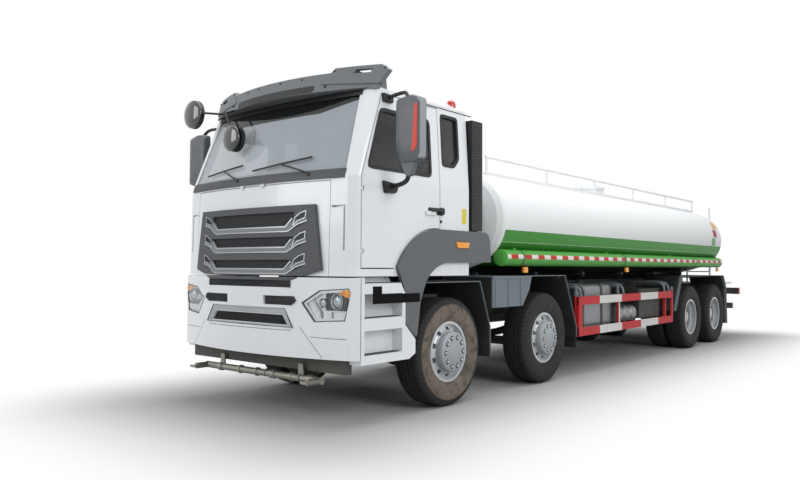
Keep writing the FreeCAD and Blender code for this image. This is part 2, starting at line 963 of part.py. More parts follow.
def knuckle(label, axle):
    """A forked steering knuckle with its kingpin, backing plate and wheel spindle, left side."""
    pin_x = "kingpin_place"
    eye_low = "tyre_radius - beam_eye_height / 2"
    eye_high = "tyre_radius + beam_eye_height / 2"
    low = f"{eye_low} - end_clearance - knuckle_ear"
    high = f"{eye_high} + end_clearance + knuckle_ear"
    plate_in = f"{pin_x} + knuckle_plate"
    plate_out = f"{plate_in} + knuckle_plate"
    pieces = [
        box(
            f"{label}_plate",
            (plate_in, behind(f"{axle} - knuckle_half_width"), low),
            (plate_out, behind(f"{axle} + knuckle_half_width"), high),
        ),
        rod(f"{label}_kingpin", "z", (pin_x, behind(axle), low), f"({high}) - ({low})",
            "kingpin_radius"),
        rod(f"{label}_spindle", "x", (plate_in, behind(axle), "tyre_radius"),
            f"front_wheel_centre + bead_half_width - 30 - ({plate_in})", "front_spindle_radius"),
        rod(f"{label}_backplate", "x", (plate_out, behind(axle), "tyre_radius"),
            "backplate_thickness", "backplate_radius"),
    ]
    for name, start, end in (("lower", low, f"{eye_low} - end_clearance"),
                             ("upper", f"{eye_high} + end_clearance", high)):
        pieces.append(
            rod(f"{label}_{name}_ear", "z", (pin_x, behind(axle), start),
                f"({end}) - ({start})", "beam_eye_radius + 2")
        )
        pieces.append(
            box(
                f"{label}_{name}_arm",
                (pin_x, behind(f"{axle} - beam_eye_radius - 2"), start),
                (plate_out, behind(f"{axle} + beam_eye_radius + 2"), end),
            )
        )
    return fuse(label, pieces)


def front_beam(label, axle):
    """A dropped steering axle beam with an eye for each kingpin."""
    low = "tyre_radius - beam_eye_height / 2"
    high = "tyre_radius + beam_eye_height / 2"
    right = [
        ("kingpin_place", low),
        ("kingpin_place", high),
        ("kingpin_place - beam_eye_reach", high),
        ("kingpin_place - beam_drop_reach", f"{high} - beam_drop"),
    ]
    corners = [("kingpin_place - beam_drop_reach", f"{high} - beam_drop - beam_depth"),
               ("kingpin_place - 80", low)] + right
    corners += [(f"-({x})", z) for x, z in reversed(corners)]
    beam = prism(f"{label}_web", "XZ", behind(f"{axle} - beam_eye_radius"),
                 "2 * beam_eye_radius", corners)
    eyes = [
        rod(f"{label}_eye_{name}", "z", (f"{side} * kingpin_place", behind(axle), low),
            "beam_eye_height", "beam_eye_radius")
        for name, side in SIDES
    ]
    bores = [
        rod(f"{label}_bore_{name}", "z", (f"{side} * kingpin_place", behind(axle), f"{low} - 5"),
            "beam_eye_height + 10", "kingpin_radius + running_clearance")
        for name, side in SIDES
    ]
    return cut(label, fuse(f"{label}_solid", [beam] + eyes), group(f"{label}_bores", bores))


def rear_housing(label, axle):
    """A driven axle: tube, round differential and two hub spindles."""
    inner = "(twin_outer_centre - 2 * tyre_half_width - twin_gap)"
    tube_end = f"({inner} - bead_half_width + 12 - moving_clearance)"
    tube = rod(f"{label}_tube", "x", (f"-{tube_end}", behind(axle), "tyre_radius"),
               f"2 * {tube_end}", "rear_tube_radius")
    spindle = rod(f"{label}_spindle", "x", ("-(twin_outer_centre + 20)", behind(axle),
                                            "tyre_radius"),
                  "2 * (twin_outer_centre + 20)", "rear_spindle_radius")
    bowl = rod(f"{label}_bowl", "x", ("-diff_half_width", behind(axle), "tyre_radius"),
               "2 * diff_half_width", "diff_radius")
    nose = rod(f"{label}_nose", "y", ("0", behind(f"{axle} - diff_radius - 90"), "tyre_radius + 90"),
               "diff_radius + 90", "gearbox_radius * 0.55")
    return fuse(label, [tube, spindle, bowl, nose])


def leaf_pack(label, centre, half_length, width, place, low, rise):
    """A leaf spring bowed upwards at its ends or middle, as one bar of constant thickness."""
    sweep = f"(({half_length}) ^ 2 + ({rise}) ^ 2) / (2 * {rise})"
    corners = [
        (behind(f"{centre} - ({half_length})"), f"{low} + {rise}", sweep),
        (behind(f"{centre} + ({half_length})"), f"{low} + {rise}"),
        (behind(f"{centre} + ({half_length})"), f"{low} + {rise} + spring_thickness",
         f"-({sweep})"),
        (behind(f"{centre} - ({half_length})"), f"{low} + {rise} + spring_thickness"),
    ]
    return prism(label, "YZ", place, width, corners)


def build_running_gear():
    """Tyres, wheels, knuckles, axles and springs."""
    for name, axle in FRONT_AXLES:
        for side, sign in SIDES:
            rubber = tyre(f"tyre_{name}_{side}_body", f"{sign} * front_wheel_centre", axle)
            keep(rubber, f"tyre_{name}_{side}")
            rim = front_wheel(f"wheel_{name}_{side}_body", axle)
            fork = knuckle(f"knuckle_{name}_{side}_body", axle)
            if sign < 0:
                rim = mirror(f"wheel_{name}_{side}_turned", rim)
                fork = mirror(f"knuckle_{name}_{side}_turned", fork)
            keep(rim, f"wheel_{name}_{side}")
            keep(fork, f"knuckle_{name}_{side}")
    for name, axle in REAR_AXLES:
        for side, sign in SIDES:
            inner = "(twin_outer_centre - 2 * tyre_half_width - twin_gap)"
            twins = [
                tyre(f"tyre_{name}_{side}_outer", f"{sign} * twin_outer_centre", axle),
                tyre(f"tyre_{name}_{side}_inner", f"{sign} * {inner}", axle),
            ]
            keep(group(f"tyres_{name}_{side}_pair", twins), f"tyres_{name}_{side}")
            rim = rear_wheel(f"wheels_{name}_{side}_body", axle)
            if sign < 0:
                rim = mirror(f"wheels_{name}_{side}_turned", rim)
            keep(rim, f"wheels_{name}_{side}")
    beams = [front_beam(f"beam_{name}", axle) for name, axle in FRONT_AXLES]
    housings = [rear_housing(f"housing_{name}", axle) for name, axle in REAR_AXLES]
    keep(group("axle_set", beams + housings), "axles")
    beam_top = "tyre_radius + beam_eye_height / 2 - beam_drop"
    packs = []
    for name, axle in FRONT_AXLES:
        pack = leaf_pack(f"spring_{name}", axle, "front_spring_half_length", "spring_width",
                         "frame_half - spring_width", beam_top, "spring_sag")
        shackles = [
            box(f"shackle_{name}_{end}",
                ("frame_half - spring_width",
                 behind(f"{axle} + {sign} * (front_spring_half_length - 30) - 30"),
                 f"{beam_top} + spring_sag + 20"),
                ("frame_half", behind(f"{axle} + {sign} * (front_spring_half_length - 30) + 30"),
                 "rail_top - rail_height"))
            for end, sign in (("fore", -1), ("aft", 1))
        ]
        pack = fuse(f"spring_set_{name}", [pack] + shackles)
        packs += [pack, mirror(f"spring_{name}_mirrored", pack)]
    bogie = "((axle_three_behind + axle_four_behind) / 2)"
    base = "tyre_radius + rear_tube_radius"
    half = "((axle_four_behind - axle_three_behind) / 2 + 80)"
    rear = prism("bogie_spring", "YZ", "frame_half + bogie_spring_gap", "rear_spring_width", [
        (behind(f"{bogie} - {half}"), base),
        (behind(f"{bogie} - {half} + spring_foot"), base),
        (behind(f"{bogie} - spring_arch_half"), f"{base} + spring_arch_rise"),
        (behind(f"{bogie} + spring_arch_half"), f"{base} + spring_arch_rise"),
        (behind(f"{bogie} + {half} - spring_foot"), base),
        (behind(f"{bogie} + {half}"), base),
        (behind(f"{bogie} + {half}"), f"{base} + spring_end_depth"),
        (behind(f"{bogie} + spring_top_half"), f"{base} + spring_top_rise"),
        (behind(f"{bogie} - spring_top_half"), f"{base} + spring_top_rise"),
        (behind(f"{bogie} - {half}"), f"{base} + spring_end_depth"),
    ])
    saddle = box("bogie_spring_saddle",
                 ("frame_half", behind(f"{bogie} - bogie_saddle_half"), f"{base} + bogie_saddle_low"),
                 ("frame_half + bogie_spring_gap + 1", behind(f"{bogie} + bogie_saddle_half"), "rail_top - bogie_saddle_drop"))
    cap = box("bogie_spring_cap",
              ("frame_half", behind(f"{bogie} - bogie_saddle_half"), f"{base} + spring_top_rise - 2"),
              ("frame_half + bogie_spring_gap + rear_spring_width", behind(f"{bogie} + bogie_saddle_half"), f"{base} + bogie_cap_high"))
    rear = fuse("bogie_spring_set", [rear, saddle, cap])
    packs += [rear, mirror("bogie_spring_mirrored", rear)]
    keep(group("leaf_packs", packs), "leaf_springs")


def build_chassis():
    """Ladder frame, engine and shafts."""
    web_in = "frame_half - rail_web"
    flange_in = "frame_half - rail_flange"
    low = "rail_top - rail_height"
    rail = prism("rail", "XZ", ahead("rail_front_ahead"), "rail_front_ahead + rail_end_behind", [
        (flange_in, low),
        ("frame_half", low),
        ("frame_half", "rail_top"),
        (flange_in, "rail_top"),
        (flange_in, "rail_top - rail_web"),
        (web_in, "rail_top - rail_web"),
        (web_in, f"{low} + rail_web"),
        (flange_in, f"{low} + rail_web"),
    ])
    pieces = [rail, mirror("rail_mirrored", rail)]
    places = [
        ("nose", ahead("cross_nose_ahead")),
        ("gearbox", behind("cross_gearbox_behind")),
        ("mid", behind("cross_mid_behind")),
        ("centre", behind("cross_centre_behind")),
        ("bogie", behind("cross_bogie_behind")),
        ("trunnion", behind("cross_trunnion_behind")),
        ("rear", behind("cross_rear_behind")),
        ("tail", behind("rail_end_behind - crossmember_length / 2")),
    ]
    for name, place in places:
        pieces.append(box(
            f"cross_{name}",
            (f"-({web_in}) - 2", f"{place} - crossmember_length / 2",
             "rail_top - rail_web - crossmember_height"),
            (f"{web_in} + 2", f"{place} + crossmember_length / 2", "rail_top - rail_web"),
        ))
    pieces.append(box(
        "front_guard_bar",
        ("-underrun_front_half", ahead("underrun_front_ahead"), "underrun_front_low"),
        ("underrun_front_half", ahead("underrun_front_ahead - underrun_front_depth"),
         "underrun_front_low + underrun_front_height"),
    ))
    arm = prism("front_guard_arm", "YZ", "frame_half - 2", "stay_plate + 2", [
        (ahead("underrun_front_ahead - 4"), "underrun_front_low + 4"),
        (ahead("underrun_front_ahead - underrun_front_depth"), "underrun_front_low + 4"),
        (ahead("rail_front_ahead - 120"), low),
        (ahead("rail_front_ahead - 120"), "rail_top - 40"),
        (ahead("rail_front_ahead"), "rail_top - 40"),
        (ahead("underrun_front_ahead - 4"), "underrun_front_low + underrun_front_height"),
    ])
    pieces += [arm, mirror("front_guard_arm_mirrored", arm)]
    for name, place in (("front", ahead("(tunnel_ahead + 70)")), ("rear", behind("140"))):
        post = box(f"cab_mount_{name}",
                   (flange_in, f"{place} - 35", "rail_top - 2"),
                   ("frame_half + 90", f"{place} + 35", "cab_bottom"))
        pieces += [post, mirror(f"cab_mount_{name}_mirrored", post)]
    keep(fuse("ladder_frame", pieces), "chassis_frame")

    engine = box("engine_body",
                 ("-engine_half", ahead("engine_ahead"), "engine_low"),
                 ("engine_half", behind("engine_behind"), "engine_top"))
    gearbox = rod("gearbox_body", "y", ("0", behind("engine_behind - 10"), "shaft_height + 40"),
                  "gearbox_length + 10", "gearbox_radius")
    mounts = [
        box(f"engine_mount_{name}_{side}",
            (f"{sign} * (engine_half + 38) - 48", f"{place} - 50", "rail_top - 200"),
            (f"{sign} * (engine_half + 38) + 48", f"{place} + 50", "rail_top - 110"))
        for name, place in (("front", ahead("(engine_ahead - 250)")),
                            ("rear", behind("(engine_behind - 200)")))
        for side, sign in SIDES
    ]
    power = fuse("engine_and_gearbox", [engine, gearbox] + mounts)

    nose_top = "tyre_radius + 90"
    front_tip = ("0", behind("engine_behind + gearbox_length + 0.5"), "shaft_height")
    mid_tip = ("0", behind("cross_centre_behind"), "shaft_height - 30")
    rear_tip = ("0", behind("axle_three_behind - diff_radius - 95"), nose_top)
    shafts = [
        strut("front_shaft", front_tip, mid_tip, "shaft_radius"),
        strut("rear_shaft", mid_tip, rear_tip, "shaft_radius"),
        ball("shaft_joint", mid_tip, "shaft_radius + 12"),
    ]
    hanger = box("shaft_hanger",
                 ("-30", behind("cross_centre_behind - 20"), "shaft_height - 30"),
                 ("30", behind("cross_centre_behind + 20"),
                  "rail_top - rail_web - crossmember_height"))
    main = fuse("main_shaft", shafts + [hanger])
    link = rod("link_shaft", "y", ("0", behind("axle_three_behind + diff_radius - 3"), nose_top),
               "axle_four_behind - axle_three_behind - 2 * diff_radius - 88", "shaft_radius")
    keep(group("engine_and_shafts", [power, main, link]), "power_train")


def cab_section(label, level, half, nose, corner_half, corner, shoulder, rear):
    """One plan outline of the cab: bowed front, rounded corners and a straight back."""
    bow = f"(({corner_half}) ^ 2 + (({nose}) - ({corner})) ^ 2) / (2 * (({nose}) - ({corner})))"
    turn = f"(({half}) - ({corner_half})) * 1.25"
    return outline(label, "XY", level, [
        (f"-({half})", behind(rear)),
        (f"-({half})", ahead(shoulder), turn),
        (f"-({corner_half})", ahead(corner), bow),
        (corner_half, ahead(corner), turn),
        (half, ahead(shoulder)),
        (half, behind(rear)),
    ])


def loft(label, sections):
    """A solid with straight sides from each section to the next."""
    body = add("Part::Loft", label)
    body.Sections = sections
    body.Solid = True
    body.Ruled = True
    return body


def door_corners(grow):
    """The door's outline seen from the side, grown by a margin."""
    return [
        (ahead(f"(door_front_ahead + {grow})"), f"door_bottom - {grow}"),
        (ahead(f"(door_arch_front_ahead + {grow} * 0.4)"), f"door_bottom - {grow}", "-arch_curve"),
        (ahead("door_arch_top_ahead"), f"door_arch_high - {grow}"),
        (ahead(f"(door_rear_ahead - {grow})"), f"door_arch_high - {grow}"),
        (ahead(f"(door_rear_ahead - {grow})"), f"door_top + {grow}"),
        (ahead(f"(door_top_front_ahead + {grow} * 0.7)"), f"door_top + {grow}"),
        (ahead(f"(door_front_ahead + {grow})"), "cab_belt"),
    ]


def side_window(shrink):
    """The door window's outline."""
    return [
        (ahead(f"(window_front_ahead - {shrink})"), f"window_low + {shrink}"),
        (ahead(f"(window_rear_ahead + {shrink})"), f"window_low + {shrink}"),
        (ahead(f"(window_rear_ahead + {shrink})"), f"window_high - {shrink}"),
        (ahead(f"(window_top_front_ahead - {shrink})"), f"window_high - {shrink}"),
    ]


def quarter_window(shrink):
    """The small fixed window behind the door, its lower rear corner cut."""
    return [
        (ahead(f"(quarter_front_ahead - {shrink})"), f"quarter_low + {shrink}"),
        (behind(f"(quarter_rear_behind - quarter_cut - {shrink})"), f"quarter_low + {shrink}"),
        (behind(f"(quarter_rear_behind - {shrink})"), f"quarter_low + quarter_cut + {shrink}"),
        (behind(f"(quarter_rear_behind - {shrink})"), f"quarter_high - {shrink}"),
        (ahead(f"(quarter_front_ahead - {shrink})"), f"quarter_high - {shrink}"),
    ]


def screen(shrink):
    """The windscreen's outline seen from the front."""
    return [
        (f"-(screen_low_half - {shrink})", f"screen_low + {shrink}"),
        (f"screen_low_half - {shrink}", f"screen_low + {shrink}"),
        (f"screen_high_half - {shrink}", f"screen_high - {shrink}"),
        (f"-(screen_high_half - {shrink})", f"screen_high - {shrink}"),
    ]


def cab_skin(label):
    """The cab's outer form from floor to crown."""
    return loft(label, [
        cab_section(f"{label}_foot", "cab_bottom", "cab_half", "nose_ahead",
                    "nose_corner_half", "nose_corner_ahead", "shoulder_ahead",
                    "cab_rear_behind"),
        cab_section(f"{label}_belt", "cab_belt", "cab_half", "nose_belt_ahead",
                    "nose_corner_half", "nose_corner_ahead - 15", "shoulder_ahead",
                    "cab_rear_behind"),
        cab_section(f"{label}_eave", "cab_eave", "eave_half", "eave_nose_ahead",
                    "eave_corner_half", "eave_corner_ahead", "eave_shoulder_ahead",
                    "cab_rear_behind"),
        cab_section(f"{label}_crown", "cab_crown", "eave_half - crown_inset",
                    "eave_nose_ahead - 1.2 * crown_inset",
                    "eave_corner_half - crown_inset", "eave_corner_ahead - 1.2 * crown_inset",
                    "eave_shoulder_ahead - 1.2 * crown_inset",
                    "cab_rear_behind - crown_inset / 2"),
    ])


def cab_hollow(label):
    """The space inside the cab."""
    wall = "cab_wall"
    front = "cab_front_wall"
    rear = "cab_rear_behind - cab_wall"
    return loft(label, [
        cab_section(f"{label}_foot", "cab_floor_top", f"cab_half - {wall}",
                    f"nose_ahead - {front}", f"nose_corner_half - {wall}",
                    f"nose_corner_ahead - {front}", f"shoulder_ahead - {wall}", rear),
        cab_section(f"{label}_belt", "cab_belt - 20", f"cab_half - {wall}",
                    f"nose_belt_ahead - {front}", f"nose_corner_half - {wall}",
                    f"nose_corner_ahead - 15 - {front}", f"shoulder_ahead - {wall}", rear),
        cab_section(f"{label}_eave", "cab_eave - 30", f"eave_half - {wall}",
                    f"eave_nose_ahead - {wall}", f"eave_corner_half - {wall}",
                    f"eave_corner_ahead - {wall}", f"eave_shoulder_ahead - {wall}", rear),
    ])


def door_hinges():
    """Eyes on the front pillar, the notches round them and the pins in the left door."""
    line = ("door_pin_place", ahead("door_pin_ahead"))
    eyes, bores, notches, pins = [], [], [], []
    for name in ("lower", "upper"):
        level = f"hinge_{name}_height"
        eyes.append(rod(f"door_eye_{name}", "z", (*line, f"{level} - hinge_eye_half"),
                        "2 * hinge_eye_half", "hinge_eye_radius"))
        eyes.append(box(f"door_tab_{name}",
                        ("door_pin_place - hinge_eye_radius - 5",
                         ahead("(door_front_ahead + door_gap + 2)"), f"{level} - hinge_eye_half"),
                        ("door_pin_place + 4", line[1], f"{level} + hinge_eye_half")))
        bores.append(rod(f"door_eye_bore_{name}", "z", (*line, f"{level} - hinge_eye_half - 2"),
                         "2 * hinge_eye_half + 4", "door_pin_radius + running_clearance"))
        notches.append(rod(f"door_notch_{name}", "z",
                           (*line, f"{level} - hinge_eye_half - hinge_space"),
                           "2 * (hinge_eye_half + hinge_space)", "2 * hinge_eye_radius"))
        pins.append(rod(f"door_pin_{name}", "z",
                        (*line, f"{level} - hinge_eye_half - 2 * hinge_space"),
                        "2 * (hinge_eye_half + 2 * hinge_space)", "door_pin_radius"))
    return eyes, bores, notches, pins


def side_glass(label, corners):
    """A pane that lies in the leaning side wall, left side."""
    outer = shifted(f"{label}_outer_form", cab_skin(f"{label}_outer_skin"), "x",
                    "-side_glass_inset")
    inner = shifted(f"{label}_inner_form", cab_skin(f"{label}_inner_skin"), "x",
                    "-side_glass_inset - glass_thickness")
    plug = prism(f"{label}_plug", "YZ", "cab_half / 2", "cab_half", corners)
    return common(label, cut(f"{label}_layer", outer, inner), plug)


def flap_hinges():
    """Lugs and pins on the nose, and the barrels of the service flap."""
    line = (ahead("(nose_belt_ahead + flap_pin_proud)"), "flap_top + moving_clearance / 2")
    lugs, barrels, bores = [], [], []
    for name, side in SIDES:
        middle = f"{side} * flap_hinge_place"
        lugs.append(rod(f"flap_pin_{name}", "x", (f"{middle} - flap_hinge_half", *line),
                        "2 * flap_hinge_half", "flap_pin_radius"))
        for end, low, high in (("inner", "-flap_hinge_half", "-flap_barrel_half - end_gap"),
                               ("outer", "flap_barrel_half + end_gap", "flap_hinge_half")):
            lugs.append(rod(f"flap_lug_{name}_{end}", "x", (f"{middle} + {low}", *line),
                            f"({high}) - ({low})", "flap_barrel_radius"))
            lugs.append(box(
                f"flap_lug_foot_{name}_{end}",
                (f"{middle} + {low}", line[0], "flap_top + moving_clearance + 1"),
                (f"{middle} + {high}", ahead("(nose_belt_ahead - 30)"),
                 "flap_top + moving_clearance + 16")))
        barrels.append(rod(f"flap_barrel_{name}", "x", (f"{middle} - flap_barrel_half", *line),
                           "2 * flap_barrel_half", "flap_barrel_radius"))
        barrels.append(box(
            f"flap_tongue_{name}",
            (f"{middle} - flap_barrel_half", line[0], "flap_top - 22"),
            (f"{middle} + flap_barrel_half", ahead("(nose_belt_ahead - 30)"), "flap_top - 1")))
        bores.append(rod(f"flap_bore_{name}", "x", (f"{middle} - flap_barrel_half - 2", *line),
                         "2 * flap_barrel_half + 4", "flap_pin_radius + running_clearance"))
    return lugs, barrels, bores


def build_cab():
    """Cab panels, glass, doors and service flap."""
    reach = "2 * cab_half"
    skin = cab_skin("cab_skin")
    hollow = cab_hollow("cab_hollow")
    shell = cut("cab_shell", skin, hollow)
    pocket_back = shifted("flap_pocket_back", cab_skin("flap_pocket_skin"), "y",
                          "flap_thickness + moving_clearance")
    pocket_layer = cut("flap_pocket_layer", skin, pocket_back)
    pocket_box = box("flap_pocket_box",
                     ("-flap_half - moving_clearance", ahead("nose_ahead + 50"),
                      "cab_bottom - 10"),
                     ("flap_half + moving_clearance", ahead("cab_front_wall"),
                      "flap_top + moving_clearance"))
    pocket = common("flap_pocket", pocket_layer, pocket_box)
    flap_back = shifted("flap_back", cab_skin("flap_skin"), "y", "flap_thickness")
    flap_layer = cut("flap_layer", skin, flap_back)
    flap_box = box("flap_box",
                   ("-flap_half", ahead("nose_ahead + 50"), "flap_bottom"),
                   ("flap_half", ahead("cab_front_wall"), "flap_top"))
    flap_lugs, flap_barrels, flap_bores = flap_hinges()
    flap = cut("flap_hinged",
               fuse("flap_with_barrels", [common("flap_panel", flap_layer, flap_box)]
                    + flap_barrels),
               group("flap_bores", flap_bores))
    eyes, eye_bores, notches, pins = door_hinges()

    door_hole = prism("door_hole", "YZ", f"-({reach})", f"2 * ({reach})",
                      door_corners("door_gap"))
    screen_hole = prism("screen_hole", "XZ", ahead("nose_ahead + 100"), "nose_ahead - 300",
                        screen("0"))
    quarter_hole = prism("quarter_hole", "YZ", f"-({reach})", f"2 * ({reach})",
                         quarter_window("0"))
    body = cut("cab_open", shell, fuse("cab_cuts", [pocket, screen_hole, quarter_hole]))

    floor_zone = box("floor_zone", (f"-({reach})", ahead("2 * nose_ahead"), "cab_bottom - 50"),
                     (reach, behind("2 * cab_rear_behind"), "cab_floor_top"))
    tunnel_hole = box("tunnel_hole",
                      ("-tunnel_half", ahead("tunnel_ahead"), "cab_bottom - 50"),
                      ("tunnel_half", behind("cab_rear_behind + 50"),
                       "tunnel_top - tunnel_wall"))
    tunnel_rear = behind("cab_rear_behind - cab_wall")
    tunnel = cut("tunnel",
                 box("tunnel_block",
                     ("-tunnel_half - tunnel_wall", ahead("tunnel_ahead + tunnel_wall"),
                      "cab_floor_top - 1"),
                     ("tunnel_half + tunnel_wall", tunnel_rear, "tunnel_top")),
                 tunnel_hole)
    plate = cut("floor_plate", common("floor_panel", body, floor_zone), tunnel_hole)
    keep(fuse("floor_and_tunnel", [plate, tunnel]), "cab_floor")

    roof_zone = box("roof_zone", (f"-({reach})", ahead("2 * nose_ahead"), "roof_split"),
                    (reach, behind("2 * cab_rear_behind"), "cab_crown + 200"))
    keep(common("roof_panel", body, roof_zone), "cab_roof")

    rear_zone = box("rear_zone",
                    (f"-({reach})", tunnel_rear, "cab_floor_top"),
                    (reach, behind("2 * cab_rear_behind"), "roof_split"))
    keep(cut("rear_wall_open", common("rear_panel", body, rear_zone), tunnel_hole),
         "cab_rear_wall")

    front_zone = prism("front_zone", "YZ", f"-({reach})", f"2 * ({reach})", [
        (ahead("2 * nose_ahead"), "cab_floor_top"),
        (ahead("(door_front_ahead + door_gap)"), "cab_floor_top"),
        (ahead("(door_front_ahead + door_gap)"), "cab_belt"),
        (ahead("(door_top_front_ahead + door_gap * 0.7)"), "door_top + door_gap"),
        (ahead("(door_top_front_ahead + door_gap * 0.7)"), "roof_split"),
        (ahead("2 * nose_ahead"), "roof_split"),
    ])
    eye_set = cut("door_eye_set", fuse("door_eye_solid", eyes), group("door_eye_bores", eye_bores))
    slots = []
    for name, sign in SIDES:
        slots.append(box(f"deflector_slot_{name}",
                         (f"{sign} * (deflector_outer - deflector_width / 2)"
                          " - deflector_width / 2", ahead("(nose_ahead + 10)"),
                          "deflector_low"),
                         (f"{sign} * (deflector_outer - deflector_width / 2)"
                          " + deflector_width / 2", ahead("(nose_ahead - deflector_depth)"),
                          "deflector_top")))
        slots.append(box(f"deflector_lip_{name}",
                         (f"{sign} * (deflector_outer + deflector_inner) / 2"
                          " - (deflector_outer - deflector_inner) / 2",
                          ahead("(nose_ahead + 10)"), "deflector_top - deflector_width"),
                         (f"{sign} * (deflector_outer + deflector_inner) / 2"
                          " + (deflector_outer - deflector_inner) / 2",
                          ahead("(nose_ahead - deflector_depth + deflector_width)"),
                          "deflector_top")))
    face = cut("front_panel_slotted", common("front_panel", body, front_zone),
               fuse("deflector_slots", slots))
    keep(fuse("front_panel_hinged", [face, eye_set,
                                     mirror("door_eye_set_mirrored", eye_set)] + flap_lugs),
         "cab_front")

    side_zone = prism("side_zone", "YZ", f"-({reach})", f"2 * ({reach})", [
        (ahead("(door_front_ahead + door_gap)"), "cab_floor_top"),
        (tunnel_rear, "cab_floor_top"),
        (tunnel_rear, "roof_split"),
        (ahead("(door_top_front_ahead + door_gap * 0.7)"), "roof_split"),
        (ahead("(door_top_front_ahead + door_gap * 0.7)"), "door_top + door_gap"),
        (ahead("(door_front_ahead + door_gap)"), "cab_belt"),
    ])
    sides = cut("side_panels", common("side_band", body, side_zone), door_hole)
    keep(sides, "cab_sides")

    glass_front = shifted("glass_front", cab_skin("glass_front_skin"), "y", "glass_inset")
    glass_back = shifted("glass_back", cab_skin("glass_back_skin"), "y",
                         "glass_inset + glass_thickness")
    screen_plug = prism("screen_plug", "XZ", ahead("nose_ahead + 100"), "nose_ahead - 300",
                        screen("glass_fit"))
    screen_glass = common("screen_glass", cut("glass_layer", glass_front, glass_back),
                          screen_plug)

    quarter = side_glass("quarter_pane", quarter_window("glass_fit"))
    keep(group("cab_panes", [screen_glass, quarter, mirror("quarter_pane_mirrored", quarter)]),
         "cab_glass")

    thickness_zone = prism("door_thickness_zone", "XZ", ahead("2 * nose_ahead"), "2 * nose_ahead", [
        ("cab_half - cab_wall - 2", "cab_floor_top"),
        (reach, "cab_floor_top"),
        (reach, "cab_eave"),
        ("eave_half - cab_wall - 2", "cab_eave"),
        ("cab_half - cab_wall - 2", "cab_belt - 20"),
    ])
    slab = common("door_slab",
                  common("door_layer", shell, thickness_zone),
                  prism("door_zone", "YZ", "eave_half - 2 * cab_wall", reach,
                        door_corners("0")))
    window = prism("door_window", "YZ", "0", reach, side_window("0"))
    panel = cut("door_panel", slab, fuse("door_cuts", [window] + notches))
    handle = box("door_handle",
                 ("cab_half - 4", ahead("(handle_ahead + 90)"), "handle_height - 18"),
                 ("cab_half + 22", ahead("(handle_ahead - 60)"), "handle_height + 18"))
    left_door = fuse("door_left_body", [panel, handle] + pins)
    pane = side_glass("door_pane", side_window("glass_fit"))
    keep(left_door, "door_left")
    keep(mirror("door_right_body", left_door), "door_right")
    keep(pane, "door_glass_left")
    keep(mirror("door_glass_right_body", pane), "door_glass_right")
    return flap, skin


def grille_gap(label, keel, height):
    """One opening of the grille: a flat keel, rising ends and a straight top."""
    return prism(label, "XZ", ahead("(nose_ahead + 2 * grille_proud)"), "nose_ahead / 4", [
        ("-keel_half", keel),
        ("keel_half", keel),
        ("keel_rise_half", f"{keel} + keel_rise"),
        ("gap_top_half", f"{keel} + {height}"),
        ("-gap_top_half", f"{keel} + {height}"),
        ("-keel_rise_half", f"{keel} + keel_rise"),
    ])


def grille_groove(label, keel):
    """The groove below an opening, which widens to a wing at both ends."""
    upper = f"{keel} - groove_drop"
    lower = f"{keel} - groove_drop - groove_width"
    return prism(label, "XZ", ahead("(nose_ahead + 2 * grille_proud)"), "nose_ahead / 4", [
        ("-(keel_half + 2 * groove_drop)", lower),
        ("keel_half + 2 * groove_drop", lower),
        ("wing_half", f"{lower} + wing_height"),
        ("wing_half - 6", f"{upper} + wing_rise"),
        ("keel_rise_half + 2 * groove_drop", f"{upper} + keel_rise"),
        ("keel_half + groove_drop", upper),
        ("-(keel_half + groove_drop)", upper),
        ("-(keel_rise_half + 2 * groove_drop)", f"{upper} + keel_rise"),
        ("-(wing_half - 6)", f"{upper} + wing_rise"),
        ("-wing_half", f"{lower} + wing_height"),
    ])


def front_pocket(label, depth, corners):
    """A pocket of the bumper's face, as deep as given behind the face's foremost line."""
    return prism(label, "XZ", ahead("(front_overhang + bumper_proud)"),
                 f"{depth} + bumper_proud", corners)


def build_grille(skin):
    """The dark surround of the grille with its three openings and their grooves."""
    proud = shifted("grille_face", cab_skin("grille_skin"), "y", "-grille_proud")
    groove_floor = shifted("grille_groove_floor", cab_skin("grille_groove_skin"), "y",
                           "groove_depth - grille_proud")
    frame = prism("grille_outline", "XZ", ahead("(nose_ahead + 2 * grille_proud)"),
                  "nose_ahead / 4", [
                      ("-grille_low_half", "grille_low"),
                      ("grille_low_half", "grille_low"),
                      ("grille_side_half", "grille_side_low"),
                      ("grille_top_half", "grille_top"),
                      ("-grille_top_half", "grille_top"),
                      ("-grille_side_half", "grille_side_low"),
                  ])
    plate = common("grille_plate", cut("grille_layer", proud, skin), frame)
    gaps = [grille_gap(f"grille_gap_{name}", f"keel_{name}", f"gap_{name}")
            for name in ("first", "second", "third")]
    grooves = [grille_groove(f"grille_groove_{name}", f"keel_{name}")
               for name in ("first", "second", "third")]
    open_plate = cut("grille_open", plate, group("grille_gaps", gaps))
    shallow = cut("grille_groove_tool", group("grille_grooves", grooves), groove_floor)
    keep(cut("grille_body", open_plate, shallow), "grille_bars")


def visor_plan(label, level, half, nose, end, back):
    """One plan outline of the visor: a bowed front and a straight back."""
    bow = f"(({half}) ^ 2 + (({nose}) - ({end})) ^ 2) / (2 * (({nose}) - ({end})))"
    return outline(label, "XY", level, [
        (f"-({half})", ahead(end), bow),
        (half, ahead(end)),
        (half, ahead(back)),
        (f"-({half})", ahead(back)),
    ])


